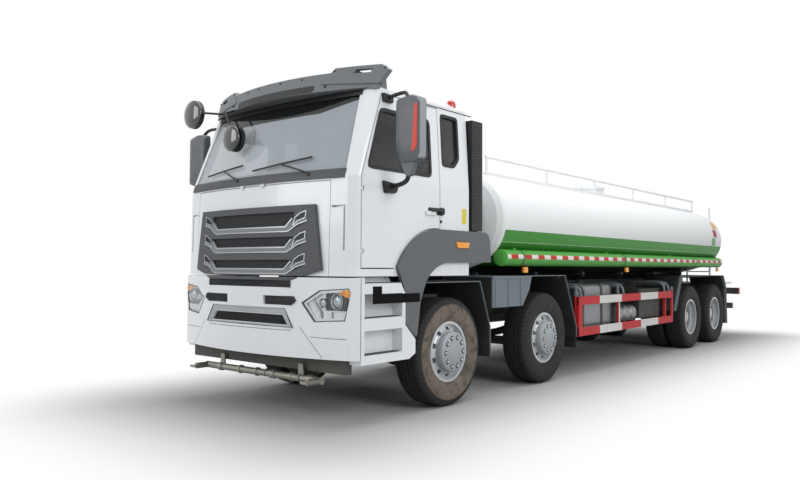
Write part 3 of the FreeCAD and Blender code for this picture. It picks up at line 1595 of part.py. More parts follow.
def visor_fin(label, lead):
    """The slotted fin's layer, whose face leans back as the visor's does."""
    drop = ("((visor_nose_ahead - visor_end_ahead) * (fin_half / visor_half) ^ 2)")
    lean = "(visor_back_lean * (fin_top + 10 - visor_low) / (visor_high - visor_low))"
    nose = f"(visor_nose_ahead + {lead})"
    return loft(label, [
        visor_plan(f"{label}_low", "visor_low", "fin_half", nose, f"({nose} - {drop})",
                   "(visor_end_ahead - 300)"),
        visor_plan(f"{label}_high", "fin_top + 10", "fin_half", f"({nose} - {lean})",
                   f"({nose} - {drop} - {lean})", "(visor_end_ahead - 300)"),
    ])


def build_visor():
    """The sun visor over the windscreen, with a slotted fin at both ends."""
    blade = loft("visor_blade", [
        visor_plan("visor_low_plan", "visor_low", "visor_half", "visor_nose_ahead",
                   "visor_end_ahead", "(visor_end_ahead - visor_depth)"),
        visor_plan("visor_high_plan", "visor_high", "visor_half",
                   "(visor_nose_ahead - visor_back_lean)", "(visor_end_ahead - visor_back_lean)",
                   "(visor_end_ahead - visor_back_lean - visor_top_depth)"),
    ])
    layer = cut("fin_layer", visor_fin("fin_front", "fin_proud"),
                visor_fin("fin_back", "fin_proud - fin_depth"))
    zone = prism("fin_zone", "XZ", ahead("(nose_ahead + fin_depth)"), "nose_ahead", [
        ("fin_inner", "visor_low + 85"),
        ("fin_foot", "fin_low + 8"),
        ("fin_outer", "fin_low"),
        ("fin_tip", "fin_tip_height"),
        ("fin_crest_outer", "fin_top"),
        ("fin_crest_inner", "fin_top"),
    ])
    slot = prism("fin_slot", "XZ", ahead("(nose_ahead + fin_depth)"), "nose_ahead", [
        ("slot_inner", "slot_low"),
        ("slot_outer - 20", "slot_low"),
        ("slot_outer", "slot_high"),
        ("slot_inner + 20", "slot_high"),
    ])
    fin = common("fin_left", layer, zone)
    solid = fuse("visor_solid", [blade, fin, mirror("fin_left_mirrored", fin)])
    slotted = cut("visor_slotted", solid, pair("fin_slots", slot))
    return cut("visor_body", slotted, cab_skin("visor_seat_skin"))


def build_front(flap, skin):
    """Service flap with its grille, bumper, lamps, under-run pipe, visor and steps."""
    keep(flap, "front_flap")
    build_grille(skin)

    wide = "(bumper_half - bumper_corner_width)"
    bow = f"({wide} ^ 2 + bumper_bow ^ 2) / (2 * bumper_bow)"
    back_bow = f"({bow}) - bumper_thickness"
    corner = "bumper_corner_radius"
    outer = prism("bumper_form", "XY", "bumper_low", "bumper_top - bumper_low", [
        ("-(bumper_half)", ahead("bumper_side_ahead"), corner),
        (f"-{wide}", ahead("bumper_corner_ahead"), bow),
        (wide, ahead("bumper_corner_ahead"), corner),
        ("bumper_half", ahead("bumper_side_ahead")),
        ("bumper_half - bumper_return", ahead("bumper_side_ahead")),
        ("bumper_half - bumper_wing", ahead("(bumper_side_ahead - 5)"), f"-({back_bow})"),
        ("-(bumper_half - bumper_wing)", ahead("(bumper_side_ahead - 5)")),
        ("-(bumper_half - bumper_return)", ahead("bumper_side_ahead")),
    ])
    mouths = [
        front_pocket("bumper_intake", "intake_depth", [
            ("-intake_low_half", "intake_low"),
            ("intake_low_half", "intake_low"),
            ("intake_top_half", "intake_top"),
            ("-intake_top_half", "intake_top"),
        ]),
        front_pocket("bumper_intake_core", "intake_core_depth", [
            ("-intake_core_low_half", "intake_core_low"),
            ("intake_core_low_half", "intake_core_low"),
            ("intake_core_top_half", "intake_core_top"),
            ("-intake_core_top_half", "intake_core_top"),
        ]),
        front_pocket("bumper_strip", "vent_depth", [
            ("-strip_low_half", "strip_low"),
            ("strip_low_half", "strip_low"),
            ("strip_top_half", "strip_top"),
            ("-strip_top_half", "strip_top"),
        ]),
    ]
    vent = front_pocket("bumper_vent", "2 * vent_depth", [
        ("vent_inner", "vent_low"),
        ("vent_outer - vent_point", "vent_low"),
        ("vent_outer", "(vent_low + vent_high) / 2"),
        ("vent_outer - vent_point / 2", "vent_high"),
        ("vent_inner", "vent_high"),
    ])
    mouths += [vent, mirror("bumper_vent_mirrored", vent)]
    lamp_outline = [
        ("lamp_inner", "lamp_low + lamp_brow"),
        ("lamp_inner + lamp_chin * 0.45", "lamp_low + lamp_cheek"),
        ("lamp_inner + lamp_chin", "lamp_low"),
        ("lamp_outer - 54", "lamp_low + 19"),
        ("lamp_outer", "lamp_high - 36"),
        ("lamp_outer - 22", "lamp_high"),
        ("lamp_inner + lamp_temple", "lamp_high - 21"),
    ]
    lamp_zone = prism("lamp_zone", "XZ", ahead("front_overhang + 20"), "310", lamp_outline)
    face_back = prism("lamp_back_form", "XY", "bumper_low", "bumper_top - bumper_low", [
        ("-(bumper_half)", ahead("(bumper_side_ahead - lamp_depth)"), corner),
        (f"-{wide}", ahead("(bumper_corner_ahead - lamp_depth)"), bow),
        (wide, ahead("(bumper_corner_ahead - lamp_depth)"), corner),
        ("bumper_half", ahead("(bumper_side_ahead - lamp_depth)")),
        ("bumper_half", ahead("(bumper_side_ahead - 400)")),
        ("-(bumper_half)", ahead("(bumper_side_ahead - 400)")),
    ])
    lamp_layer = cut("lamp_layer", outer, face_back)
    lamp = common("lamp_left", lamp_layer, lamp_zone)
    hollows = fuse("bumper_hollows",
                   mouths + [common("lamp_pocket", lamp_layer, lamp_zone),
                             mirror("lamp_pocket_mirrored",
                                    common("lamp_pocket_two", lamp_layer, lamp_zone))])
    brackets = [
        box(f"bumper_bracket_{name}",
            (f"{sign} * (frame_half - 41) - 37", ahead("(bumper_side_ahead + 130)"),
             "rail_top - 240"),
            (f"{sign} * (frame_half - 41) + 37", ahead("rail_front_ahead"), "rail_top - 90"))
        for name, sign in SIDES
    ]
    keep(fuse("bumper_body", [cut("bumper_open", outer, hollows)] + brackets), "bumper")
    keep(pair("lamp_pair", lamp), "headlamps")

    pipe = rod("spray_pipe", "x", ("-spray_pipe_half", ahead("spray_pipe_ahead"),
                                   "spray_pipe_height"),
               "2 * spray_pipe_half", "spray_pipe_radius")
    tips = [
        rod(f"spray_nozzle_{name}", "y",
            (f"{sign} * (spray_pipe_half - 30)", ahead("spray_pipe_ahead + 150"),
             "spray_pipe_height"), "150", "spray_pipe_radius * 0.9")
        for name, sign in SIDES
    ]
    hangers = [
        box(f"spray_hanger_{name}",
            (f"{sign} * spray_hanger_place - spray_hanger_half", ahead("spray_pipe_ahead + 8"), "spray_pipe_height"),
            (f"{sign} * spray_hanger_place + spray_hanger_half", ahead("spray_pipe_ahead - 8"),
             "underrun_front_low + 60"))
        for name, sign in SIDES
    ]
    seats = [
        box(f"spray_seat_{name}",
            (f"{sign} * spray_hanger_place - spray_hanger_half", ahead("spray_pipe_ahead - 4"), "underrun_front_low + 30"),
            (f"{sign} * spray_hanger_place + spray_hanger_half", ahead("underrun_front_ahead"), "underrun_front_low + 60"))
        for name, sign in SIDES
    ]
    keep(fuse("spray_pipe_set", [pipe] + tips + hangers + seats), "spray_bar")

    visor = keep(build_visor(), "sun_visor")

    recesses = []
    for name, shelf in (("upper", "step_upper_shelf"), ("middle", "step_middle_shelf"),
                        ("lower", "step_lower_shelf")):
        top = "step_high + 20" if name == "upper" else f"{shelf} + step_recess_height"
        recesses.append(box(
            f"step_recess_{name}",
            ("step_inner + 20", ahead("(step_front_ahead - 40)"), shelf),
            ("step_outer + 20", ahead("(step_rear_ahead + 45)"), top),
        ))
    panel = prism("step_form", "YZ", "step_inner", "step_outer - step_inner", [
        (ahead("step_front_ahead"), "step_low"),
        (ahead("(step_foot_ahead + 90)"), "step_low"),
        (ahead("step_foot_ahead"), "step_low + 45"),
        (ahead("step_foot_ahead"), "step_foot_high"),
        (ahead("step_rear_ahead"), "step_foot_high + step_shoulder"),
        (ahead("step_rear_ahead"), "step_high - step_notch"),
        (ahead("(step_rear_ahead + 100)"), "step_high"),
        (ahead("step_front_ahead"), "step_high"),
    ])
    bracket = box("step_bracket",
                  ("frame_half + stay_plate", ahead("(rail_front_ahead - 60)"),
                   "rail_top - 240"),
                  ("step_inner + 15", ahead("(rail_front_ahead - 120)"), "rail_top - 190"))
    step_left = fuse("step_left", [cut("step_open", panel, group("step_recesses", recesses)),
                                   bracket])
    keep(pair("step_pair", step_left), "step_panels")

    flare = prism("flare_form", "YZ", "cab_half", "flare_outer - cab_half", [
        (ahead("flare_leg_ahead"), "flare_leg_low"),
        (ahead("(flare_leg_ahead - 45)"), "flare_leg_low + flare_leg_rise", "-flare_leg_curve"),
        (ahead("flare_lip_ahead"), "flare_lip - 14"),
        (behind("flare_rear_behind"), "flare_lip - 4"),
        (behind("(flare_rear_behind - 15)"), "flare_top - flare_tail_drop", "flare_tail_curve"),
        (behind("(flare_rear_behind - flare_tail_run)"), "flare_top"),
        (ahead("flare_crown_ahead"), "flare_top", "arch_curve"),
        (ahead("flare_front_ahead"), "flare_front_high"),
        (ahead("(step_rear_ahead - end_gap)"), "flare_front_high - flare_front_depth"),
        (ahead("(step_rear_ahead - end_gap)"), "flare_leg_low + 110"),
        (ahead("(flare_leg_ahead + 25)"), "flare_leg_low - 20"),
    ])
    keep(pair("flare_pair", flare), "arch_flares")
    return visor


def build_mirrors(visor):
    """Door mirrors on two arms and the round kerb mirrors at the right front corner."""
    shell = box("mirror_shell",
                ("mirror_inner", ahead("mirror_ahead"), "mirror_low"),
                ("mirror_outer", ahead("(mirror_ahead - mirror_depth)"), "mirror_high"))
    centre_y = ahead("(mirror_ahead - mirror_depth / 2)")
    foot_y = ahead("mirror_foot_ahead")
    upper = bent("mirror_upper_arm", [
        ("eave_half - 6", foot_y, "mirror_arm_high - 40"),
        ("mirror_inner + 60", centre_y, "mirror_arm_high"),
        ("mirror_inner + 60", centre_y, "mirror_high - 20"),
    ], "mirror_arm_radius")
    lower = bent("mirror_lower_arm", [
        ("cab_half", foot_y, "mirror_arm_low"),
        ("mirror_inner + 40", centre_y, "mirror_arm_low"),
        ("mirror_inner + 40", centre_y, "mirror_low + 20"),
    ], "mirror_arm_radius")
    base = box("mirror_base",
               ("cab_half", ahead("(mirror_foot_ahead + mirror_base_length / 2)"),
                "mirror_arm_low - mirror_base_low"),
               ("cab_half + mirror_base_proud",
                ahead("(mirror_foot_ahead - mirror_base_length / 2)"),
                "mirror_arm_low + mirror_base_high"))
    left = cut("mirror_left_body", fuse("mirror_left_set", [shell, upper, lower, base]),
               cab_skin("mirror_seat_skin"))
    keep(left, "mirror_left")
    keep(mirror("mirror_right_body", left), "mirror_right")

    dish_y = ahead("(visor_nose_ahead + kerb_lead)")
    arm = bent("kerb_arm", [
        ("-(visor_half - kerb_root_inset)", ahead("(visor_nose_ahead - kerb_root_back)"),
         "kerb_mirror_height"),
        ("-(visor_half - kerb_knee_inset)", dish_y, "kerb_mirror_height - 10"),
        ("-(visor_half - kerb_dish_inset)", f"{dish_y} + 20", "kerb_mirror_height"),
    ], "kerb_arm_radius")
    dish = rod("kerb_dish", "y", ("-(visor_half - kerb_dish_inset + 30)", f"{dish_y} - 10",
                                  "kerb_mirror_height"), "kerb_mirror_depth",
               "kerb_mirror_radius")
    slope = "((nose_belt_ahead - eave_nose_ahead) / (cab_eave - cab_belt))"
    glass_ahead = f"(nose_belt_ahead - {slope} * (front_mirror_height - cab_belt))"
    disc_y = ahead(f"({glass_ahead} + front_mirror_gap + front_mirror_depth)")
    stem = bent("front_stem", [
        ("-front_stem_root", ahead("(visor_nose_ahead - stem_root_back)"), "kerb_mirror_height"),
        ("-(front_stem_root - 40)", ahead("(visor_nose_ahead + stem_lead)"), "kerb_mirror_height - stem_lead"),
        ("-(front_mirror_place + 40)", f"{disc_y} + 20", "front_mirror_height + 60"),
    ], "kerb_arm_radius")
    disc = rod("front_dish", "y", ("-front_mirror_place", disc_y, "front_mirror_height"),
               "front_mirror_depth", "kerb_mirror_radius * 0.85")
    kerb_set = group("kerb_mirror_set", [
        cut("kerb_mirror_seated", fuse("kerb_mirror", [arm, dish]), visor),
        cut("front_mirror_seated", fuse("front_mirror", [stem, disc]), visor),
    ])
    keep(kerb_set, "kerb_mirrors")


def on_wheel_axis(reach):
    """A point on the steering wheel's axis, at a reach towards the driver from its centre."""
    return ("wheel_place", ahead(f"(wheel_ahead - ({reach}) * wheel_axis_back)"),
            f"wheel_height + ({reach}) * wheel_axis_up")


def build_cab_inside():
    """Dashboard with steering wheel, and two seats."""
    front = ahead("nose_ahead")
    dash_side = prism("dash_side_form", "YZ", "-(cab_half)", "2 * cab_half", [
        (front, "dash_low - 10"),
        (ahead("(dash_rear_ahead + 80)"), "dash_low - 10"),
        (ahead("(dash_rear_ahead + 80)"), "dash_low"),
        (ahead("dash_rear_ahead"), "dash_high - 90"),
        (ahead("(dash_rear_ahead + 60)"), "dash_high + 10"),
        (front, "dash_high + 10"),
    ])
    dash_block = add("Part::Extrusion", "dash_block")
    dash_block.Base = cab_section(
        "dash_plan", "dash_low", "cab_half - cab_wall - dash_gap",
        "nose_belt_ahead - cab_front_wall - end_gap", "nose_corner_half - cab_wall - dash_gap",
        "nose_corner_ahead - 15 - cab_front_wall - end_gap",
        "shoulder_ahead - cab_wall - dash_gap", "-(dash_rear_ahead)")
    dash_block.DirMode = "Normal"
    dash_block.Solid = True
    bind(dash_block, "LengthFwd", "dash_high - dash_low")
    dash = common("dash_seated", dash_block, dash_side)
    centre = ("wheel_place", ahead("wheel_ahead"), "wheel_height")
    column = strut("steering_column",
                   ("wheel_place", ahead("(wheel_ahead + column_back)"),
                    "wheel_height - column_drop"), centre, "column_radius")
    ring = cut("steering_ring",
               strut("steering_ring_outer", on_wheel_axis("-wheel_rim"),
                     on_wheel_axis("wheel_rim"), "wheel_ring + wheel_rim"),
               strut("steering_ring_inner", on_wheel_axis("-2 * wheel_rim"),
                     on_wheel_axis("2 * wheel_rim"), "wheel_ring - wheel_rim"))
    hub = strut("steering_hub", on_wheel_axis("-wheel_hub_depth"), on_wheel_axis("wheel_rim"),
                "wheel_hub_radius")
    across = rod("steering_spoke_across", "x",
                 ("wheel_place - wheel_ring", ahead("wheel_ahead"), "wheel_height"),
                 "2 * wheel_ring", "wheel_spoke_radius")
    low = strut("steering_spoke_low", centre,
                ("wheel_place", ahead("(wheel_ahead + wheel_ring * wheel_axis_up)"),
                 "wheel_height - wheel_ring * wheel_axis_back"), "wheel_spoke_radius")
    wheel = cut("steering_seated", fuse("steering_set", [column, ring, hub, across, low]), dash)
    keep(group("dash_and_wheel", [dash, wheel]), "dashboard")

    seat = prism("seat_form", "YZ", "seat_place - seat_half", "2 * seat_half", [
        (ahead("(seat_front_ahead - 60)"), "seat_base"),
        (ahead("(seat_rear_ahead + 40)"), "seat_base"),
        (ahead("seat_rear_ahead"), "seat_top - 120"),
        (ahead("(seat_rear_ahead - 70)"), "seat_back_top"),
        (ahead("(seat_rear_ahead - 70 + seat_back_depth * 0.7)"), "seat_back_top"),
        (ahead("(seat_rear_ahead + seat_back_depth)"), "seat_top"),
        (ahead("seat_front_ahead"), "seat_top + 20"),
        (ahead("(seat_front_ahead - 20)"), "seat_top - 110"),
        (ahead("(seat_front_ahead - 60)"), "seat_top - 130"),
    ])
    keep(pair("seat_pair", seat), "seats")

    stack = box("stack_column",
                ("stack_inner + 60", behind("stack_front_behind"), "stack_low"),
                ("stack_outer", behind("stack_rear_behind"), "stack_top"))
    duct = box("stack_duct",
               ("stack_inner - duct_reach", behind("(stack_front_behind + 20)"), "stack_low - duct_drop"),
               ("stack_outer - 60", behind("(stack_rear_behind - 10)"), "stack_low + 60"))
    bracket = box("stack_bracket",
                  ("stack_inner + 80", behind("cab_rear_behind"), "stack_low + stack_bracket_low"),
                  ("stack_outer - 80", behind("(stack_front_behind + 2)"), "stack_low + stack_bracket_high"))
    keep(fuse("stack_body", [stack, duct, bracket]), "intake_stack")


def tank_section(label, place, scale):
    """An upright oval across the tank: wide arcs above and below, tight arcs at the flanks."""
    half = f"({scale}) * tank_half"
    rise = f"({scale}) * tank_half_height"
    flank = f"({scale}) * tank_flank_radius"
    wide = (f"((({half}) - ({flank})) ^ 2 + ({rise}) ^ 2 - ({flank}) ^ 2)"
            f" / (2 * (({rise}) - ({flank})))")
    reach = f"(({half}) - ({flank}))"
    run = f"(({wide}) - ({flank}))"
    knee_x = f"{reach} * ({wide}) / {run}"
    knee_z = f"(({wide}) / {run} * (({wide}) - ({rise})) - (({wide}) - ({rise})))"
    return outline(label, "XZ", place, [
        (knee_x, f"tank_centre - {knee_z}", flank),
        (knee_x, f"tank_centre + {knee_z}", wide),
        (f"-({knee_x})", f"tank_centre + {knee_z}", flank),
        (f"-({knee_x})", f"tank_centre - {knee_z}", wide),
    ])


HEAD_STEPS = ((1.0, 0.0), (0.985, 0.2), (0.94, 0.45), (0.84, 0.7), (0.6, 0.92), (0.28, 1.0))


def tank_form(label):
    """The whole vessel with a dished head at each end."""
    sections = [
        tank_section(f"{label}_front_{index}",
                     behind(f"(tank_front_behind - head_depth * {step})"), scale)
        for index, (scale, step) in enumerate(reversed(HEAD_STEPS))
    ]
    sections += [
        tank_section(f"{label}_rear_{index}",
                     behind(f"(tank_rear_behind + head_depth * {step})"), scale)
        for index, (scale, step) in enumerate(HEAD_STEPS)
    ]
    return loft(label, sections)


def build_tank():
    """Tank, cradle, manhole, rail and the hose tubes along its flanks."""
    face = behind("outlet_face_behind")
    stub = rod("outlet_stub", "y", ("outlet_place", behind("tank_rear_behind"), "outlet_height"),
               "outlet_face_behind - tank_rear_behind", "outlet_bore + 10")
    flange = rod("outlet_flange", "y",
                 ("outlet_place", behind("(outlet_face_behind - outlet_thickness)"),
                  "outlet_height"), "outlet_thickness", "outlet_flange_radius")
    holes = [rod("outlet_hole", "y",
                 ("outlet_place", behind("(outlet_face_behind - outlet_depth)"),
                  "outlet_height"), "outlet_depth + 10", "outlet_bore")]
    for index in range(8):
        turn = 22.5 + 45 * index
        holes.append(rod(f"outlet_bolt_hole_{index}", "y",
                         (f"outlet_place + outlet_bolt_circle / 2 * cos({turn})",
                          behind("(outlet_face_behind - outlet_thickness - 5)"),
                          f"outlet_height + outlet_bolt_circle / 2 * sin({turn})"),
                         "outlet_thickness + 10", "outlet_bolt_radius"))
    vessel = cut("vessel_and_outlet",
                 fuse("vessel_solid", [tank_form("vessel"), stub, flange]),
                 group("outlet_holes", holes))
    keep(vessel, "tank")

    sill = box("cradle_sill",
               ("frame_half - sill_width", behind("tank_front_behind"), "rail_top"),
               ("frame_half", behind("(tank_rear_behind + 200)"), "rail_top + sill_height"))
    pieces = [sill, mirror("cradle_sill_mirrored", sill)]
    for index in range(6):
        place = f"(saddle_first_behind + {index} * saddle_pitch)"
        pieces.append(prism(f"saddle_{index}", "XZ", behind(place), "saddle_thickness", [
            ("-saddle_half", "rail_top + sill_height + 60"),
            ("-(frame_half)", "rail_top + sill_height - 20"),
            ("frame_half", "rail_top + sill_height - 20"),
            ("saddle_half", "rail_top + sill_height + 60"),
            ("saddle_half", "saddle_top"),
            ("-saddle_half", "saddle_top"),
        ]))
    cradle = cut("cradle_body", fuse("cradle_solid", pieces), tank_form("cradle_vessel"))
    keep(cradle, "tank_cradle")

    centre = ("0", behind("manhole_behind"), "tank_centre + tank_half_height - 60")
    neck_height = "manhole_rim_height - (tank_centre + tank_half_height - 60)"
    lug_y = behind("(manhole_behind + manhole_radius - 12)")
    lug_back = behind("(manhole_behind + lid_hinge_back + 20)")
    lug_step = behind("(manhole_behind + lid_radius + 8)")
    lugs = [
        prism(f"neck_lug_{name}", "YZ", f"{place} - lug_half", "2 * lug_half", [
            (lug_y, "manhole_rim_height - 60"),
            (lug_back, "manhole_rim_height - 60"),
            (lug_back, "manhole_rim_height + 32"),
            (lug_step, "manhole_rim_height + 32"),
            (lug_step, "manhole_rim_height - 8"),
            (lug_y, "manhole_rim_height - 8"),
        ])
        for name, place in (("left", "lug_place"), ("right", "-lug_place"))
    ]
    pin_z = "manhole_rim_height + lid_thickness / 2 - 6"
    pin = rod("neck_pin", "x", ("-neck_pin_half", behind("(manhole_behind + lid_hinge_back)"), pin_z),
              "2 * neck_pin_half", "lid_pin_radius")
    neck = cut("neck_open",
               fuse("neck_solid", [rod("neck_tube", "z", centre, neck_height,
                                       "manhole_radius")] + lugs + [pin]),
               rod("neck_bore", "z", centre, f"{neck_height} + 10", "manhole_bore"))
    keep(cut("neck_seated", neck, tank_form("neck_vessel")), "manhole_neck")

    lid = rod("lid_plate", "z", ("0", behind("manhole_behind"), "manhole_rim_height + 1"),
              "lid_thickness - 12", "lid_radius")
    dome = rod("lid_dome", "z", ("0", behind("manhole_behind"),
                                 "manhole_rim_height + 1"),
               "lid_thickness + 16", "lid_radius * 0.7")
    knuckle_bar = box("lid_arm",
                      ("-lid_arm_half", behind("(manhole_behind + lid_radius - 40)"),
                       "manhole_rim_height + 2"),
                      ("lid_arm_half", behind("(manhole_behind + lid_hinge_back)"),
                       f"{pin_z} + 22"))
    barrel = rod("lid_barrel", "x", ("-lid_arm_half", behind("(manhole_behind + lid_hinge_back)"), pin_z),
                 "2 * lid_arm_half", "lid_pin_radius + 12")
    bore = rod("lid_bore", "x", ("-(lid_arm_half + 10)", behind("(manhole_behind + lid_hinge_back)"), pin_z),
               "2 * lid_arm_half + 20", "lid_pin_radius + running_clearance")
    clamp = box("lid_clamp", ("-30", behind("(manhole_behind - lid_radius - 45)"),
                              "manhole_rim_height + 2"),
                ("30", behind("(manhole_behind - lid_radius + 30)"),
                 "manhole_rim_height + lid_thickness"))
    keep(cut("lid_body", fuse("lid_solid", [lid, dome, knuckle_bar, barrel, clamp]), bore),
         "manhole_lid")

    top = rod("rail_top_tube", "y", ("rail_place", behind("rail_front_behind"),
                                     "rail_height_top"),
              "rail_rear_behind - rail_front_behind", "rail_tube_radius")
    posts = [
        rod(f"rail_post_{index}", "z",
            ("rail_place", behind(f"(rail_front_behind + 20 + {index} * rail_post_pitch)"),
             "tank_centre + tank_half_height * rail_foot_share"),
            "rail_height_top - tank_centre - tank_half_height * rail_foot_share", "rail_tube_radius * 0.8")
        for index in range(6)
    ]
    kerb = box("rail_kerb", ("rail_place - 30", behind("rail_front_behind"),
                             "tank_centre + tank_half_height * rail_foot_share"),
               ("rail_place + 12", behind("rail_rear_behind"),
                "tank_centre + tank_half_height * rail_kerb_share"))
    rail = cut("rail_seated", fuse("rail_set", [top] + posts + [kerb]), tank_form("rail_vessel"))
    keep(pair("rail_pair", rail), "tank_rail")

    tube = rod("hose_tube", "y", ("hose_tube_place", behind("hose_tube_front_behind"),
                                  "hose_tube_height"),
               "hose_tube_rear_behind - hose_tube_front_behind", "hose_tube_radius")
    bridges = [
        box(f"hose_bridge_{index}",
            ("hose_tube_place - 160", behind(f"(hose_strap_first_behind + {index} *"
                                             " hose_strap_pitch)"), "hose_tube_height"),
            ("hose_tube_place", behind(f"(hose_strap_first_behind + {index} *"
                                       " hose_strap_pitch + hose_strap_width)"),
             "hose_tube_height + 110"))
        for index in range(4)
    ]
    seated = cut("hose_seated", fuse("hose_set", [tube] + bridges), tank_form("hose_vessel"))
    keep(pair("hose_pair", seated), "hose_tubes")


def band(label, place, width, points, sheet_name):
    """A sheet that follows a path of (y, z) points, given as its upper side and a thickness."""
    upper = list(points)
    lower = [(f"{y} - ({dy}) * {sheet_name}", f"{z} - ({dz}) * {sheet_name}")
             for y, z, dy, dz in upper]
    corners = lower + [(y, z) for y, z, dy, dz in reversed(upper)]
    return prism(label, "YZ", place, width, corners)


def guard_stays(label, places, top, reach):
    """Tubes that carry a mudguard's sheet from plates on the frame side."""
    level = f"{top} - guard_sheet - stay_radius + 1"
    stays = []
    for index, place in enumerate(places):
        stays.append(rod(f"{label}_stay_{index}", "x", ("frame_half", behind(place), level),
                         f"{reach} - frame_half", "stay_radius"))
        stays.append(box(f"{label}_stay_plate_{index}",
                         ("frame_half", behind(f"{place} - stay_plate_half"), "rail_top - 90"),
                         ("frame_half + stay_plate", behind(f"{place} + stay_plate_half"),
                          f"{level} + stay_radius")))
    return stays


def build_guards():
    """Mudguards, flaps and the arch skins below the cab."""
    width = "guard_outer - guard_inner"
    fore = band("fore_guard", "guard_inner", width, [
        (behind("fore_guard_front_behind"), "skirt_low", -1, 0),
        (behind("fore_guard_front_behind"), "fore_guard_top", -1, 1),
        (behind("fore_guard_rear_behind"), "fore_guard_top", 0.7, 1),
        (behind("fore_guard_foot_behind"), "fore_guard_foot + 120", 1, 0.3),
        (behind("fore_guard_foot_behind"), "fore_guard_foot", 1, 0),
    ], "guard_sheet")
    skirt = prism("fore_skirt", "YZ", "guard_outer - guard_sheet", "guard_sheet", [
        (behind("fore_guard_front_behind"), "skirt_low"),
        (behind("(skirt_rear_behind - 150)"), "skirt_low"),
        (behind("skirt_rear_behind"), "skirt_low + 180"),
        (behind("(skirt_rear_behind + 60)"), "fore_guard_top"),
        (behind("fore_guard_front_behind"), "fore_guard_top"),
    ])
    fore_left = fuse("fore_guard_left", [fore, skirt])
    rear = band("rear_guard", "guard_inner - 30", f"{width} + 60", [
        (behind("rear_guard_foot_ahead"), "rear_guard_foot", -1, 0.5),
        (behind("rear_guard_front_behind"), "rear_guard_top", -0.5, 1),
        (behind("rear_guard_rear_behind"), "rear_guard_top", 0.5, 1),
        (behind("(rear_flap_behind - 40)"), "rear_guard_top - 250", 1, 0.2),
        (behind("rear_flap_behind"), "rear_flap_low", 1, 0),
    ], "guard_sheet")
    arch = band("arch_skin", "guard_inner", "cab_half - guard_inner", [
        (behind("-(arch_skin_foot + 30)"), "flare_leg_low", -1, 0),
        (behind("-(arch_skin_half)"), "arch_skin_top", -0.6, 1),
        (behind("arch_skin_half"), "arch_skin_top", 0.6, 1),
        (behind("arch_skin_foot"), "flare_leg_low", 1, 0),
        (behind("(arch_skin_foot + 12)"), "arch_skin_low", 1, 0),
    ], "guard_sheet")
    fore_left = fuse("fore_guard_stayed", [fore_left] + guard_stays(
        "fore", ("fore_guard_front_behind + 200", "fore_guard_rear_behind - 80"),
        "fore_guard_top", "guard_outer - 40"))
    rear = fuse("rear_guard_stayed", [rear] + guard_stays(
        "rear", ("rear_guard_front_behind + 110",
                 "(rear_guard_front_behind + rear_guard_rear_behind) / 2",
                 "rear_guard_rear_behind - 90"),
        "rear_guard_top", "guard_outer - 60"))
    pieces = []
    for name, left in (("fore", fore_left), ("rear", rear), ("arch", arch)):
        pieces += [left, mirror(f"{name}_guard_mirrored", left)]
    keep(group("guard_set", pieces), "mudguards")


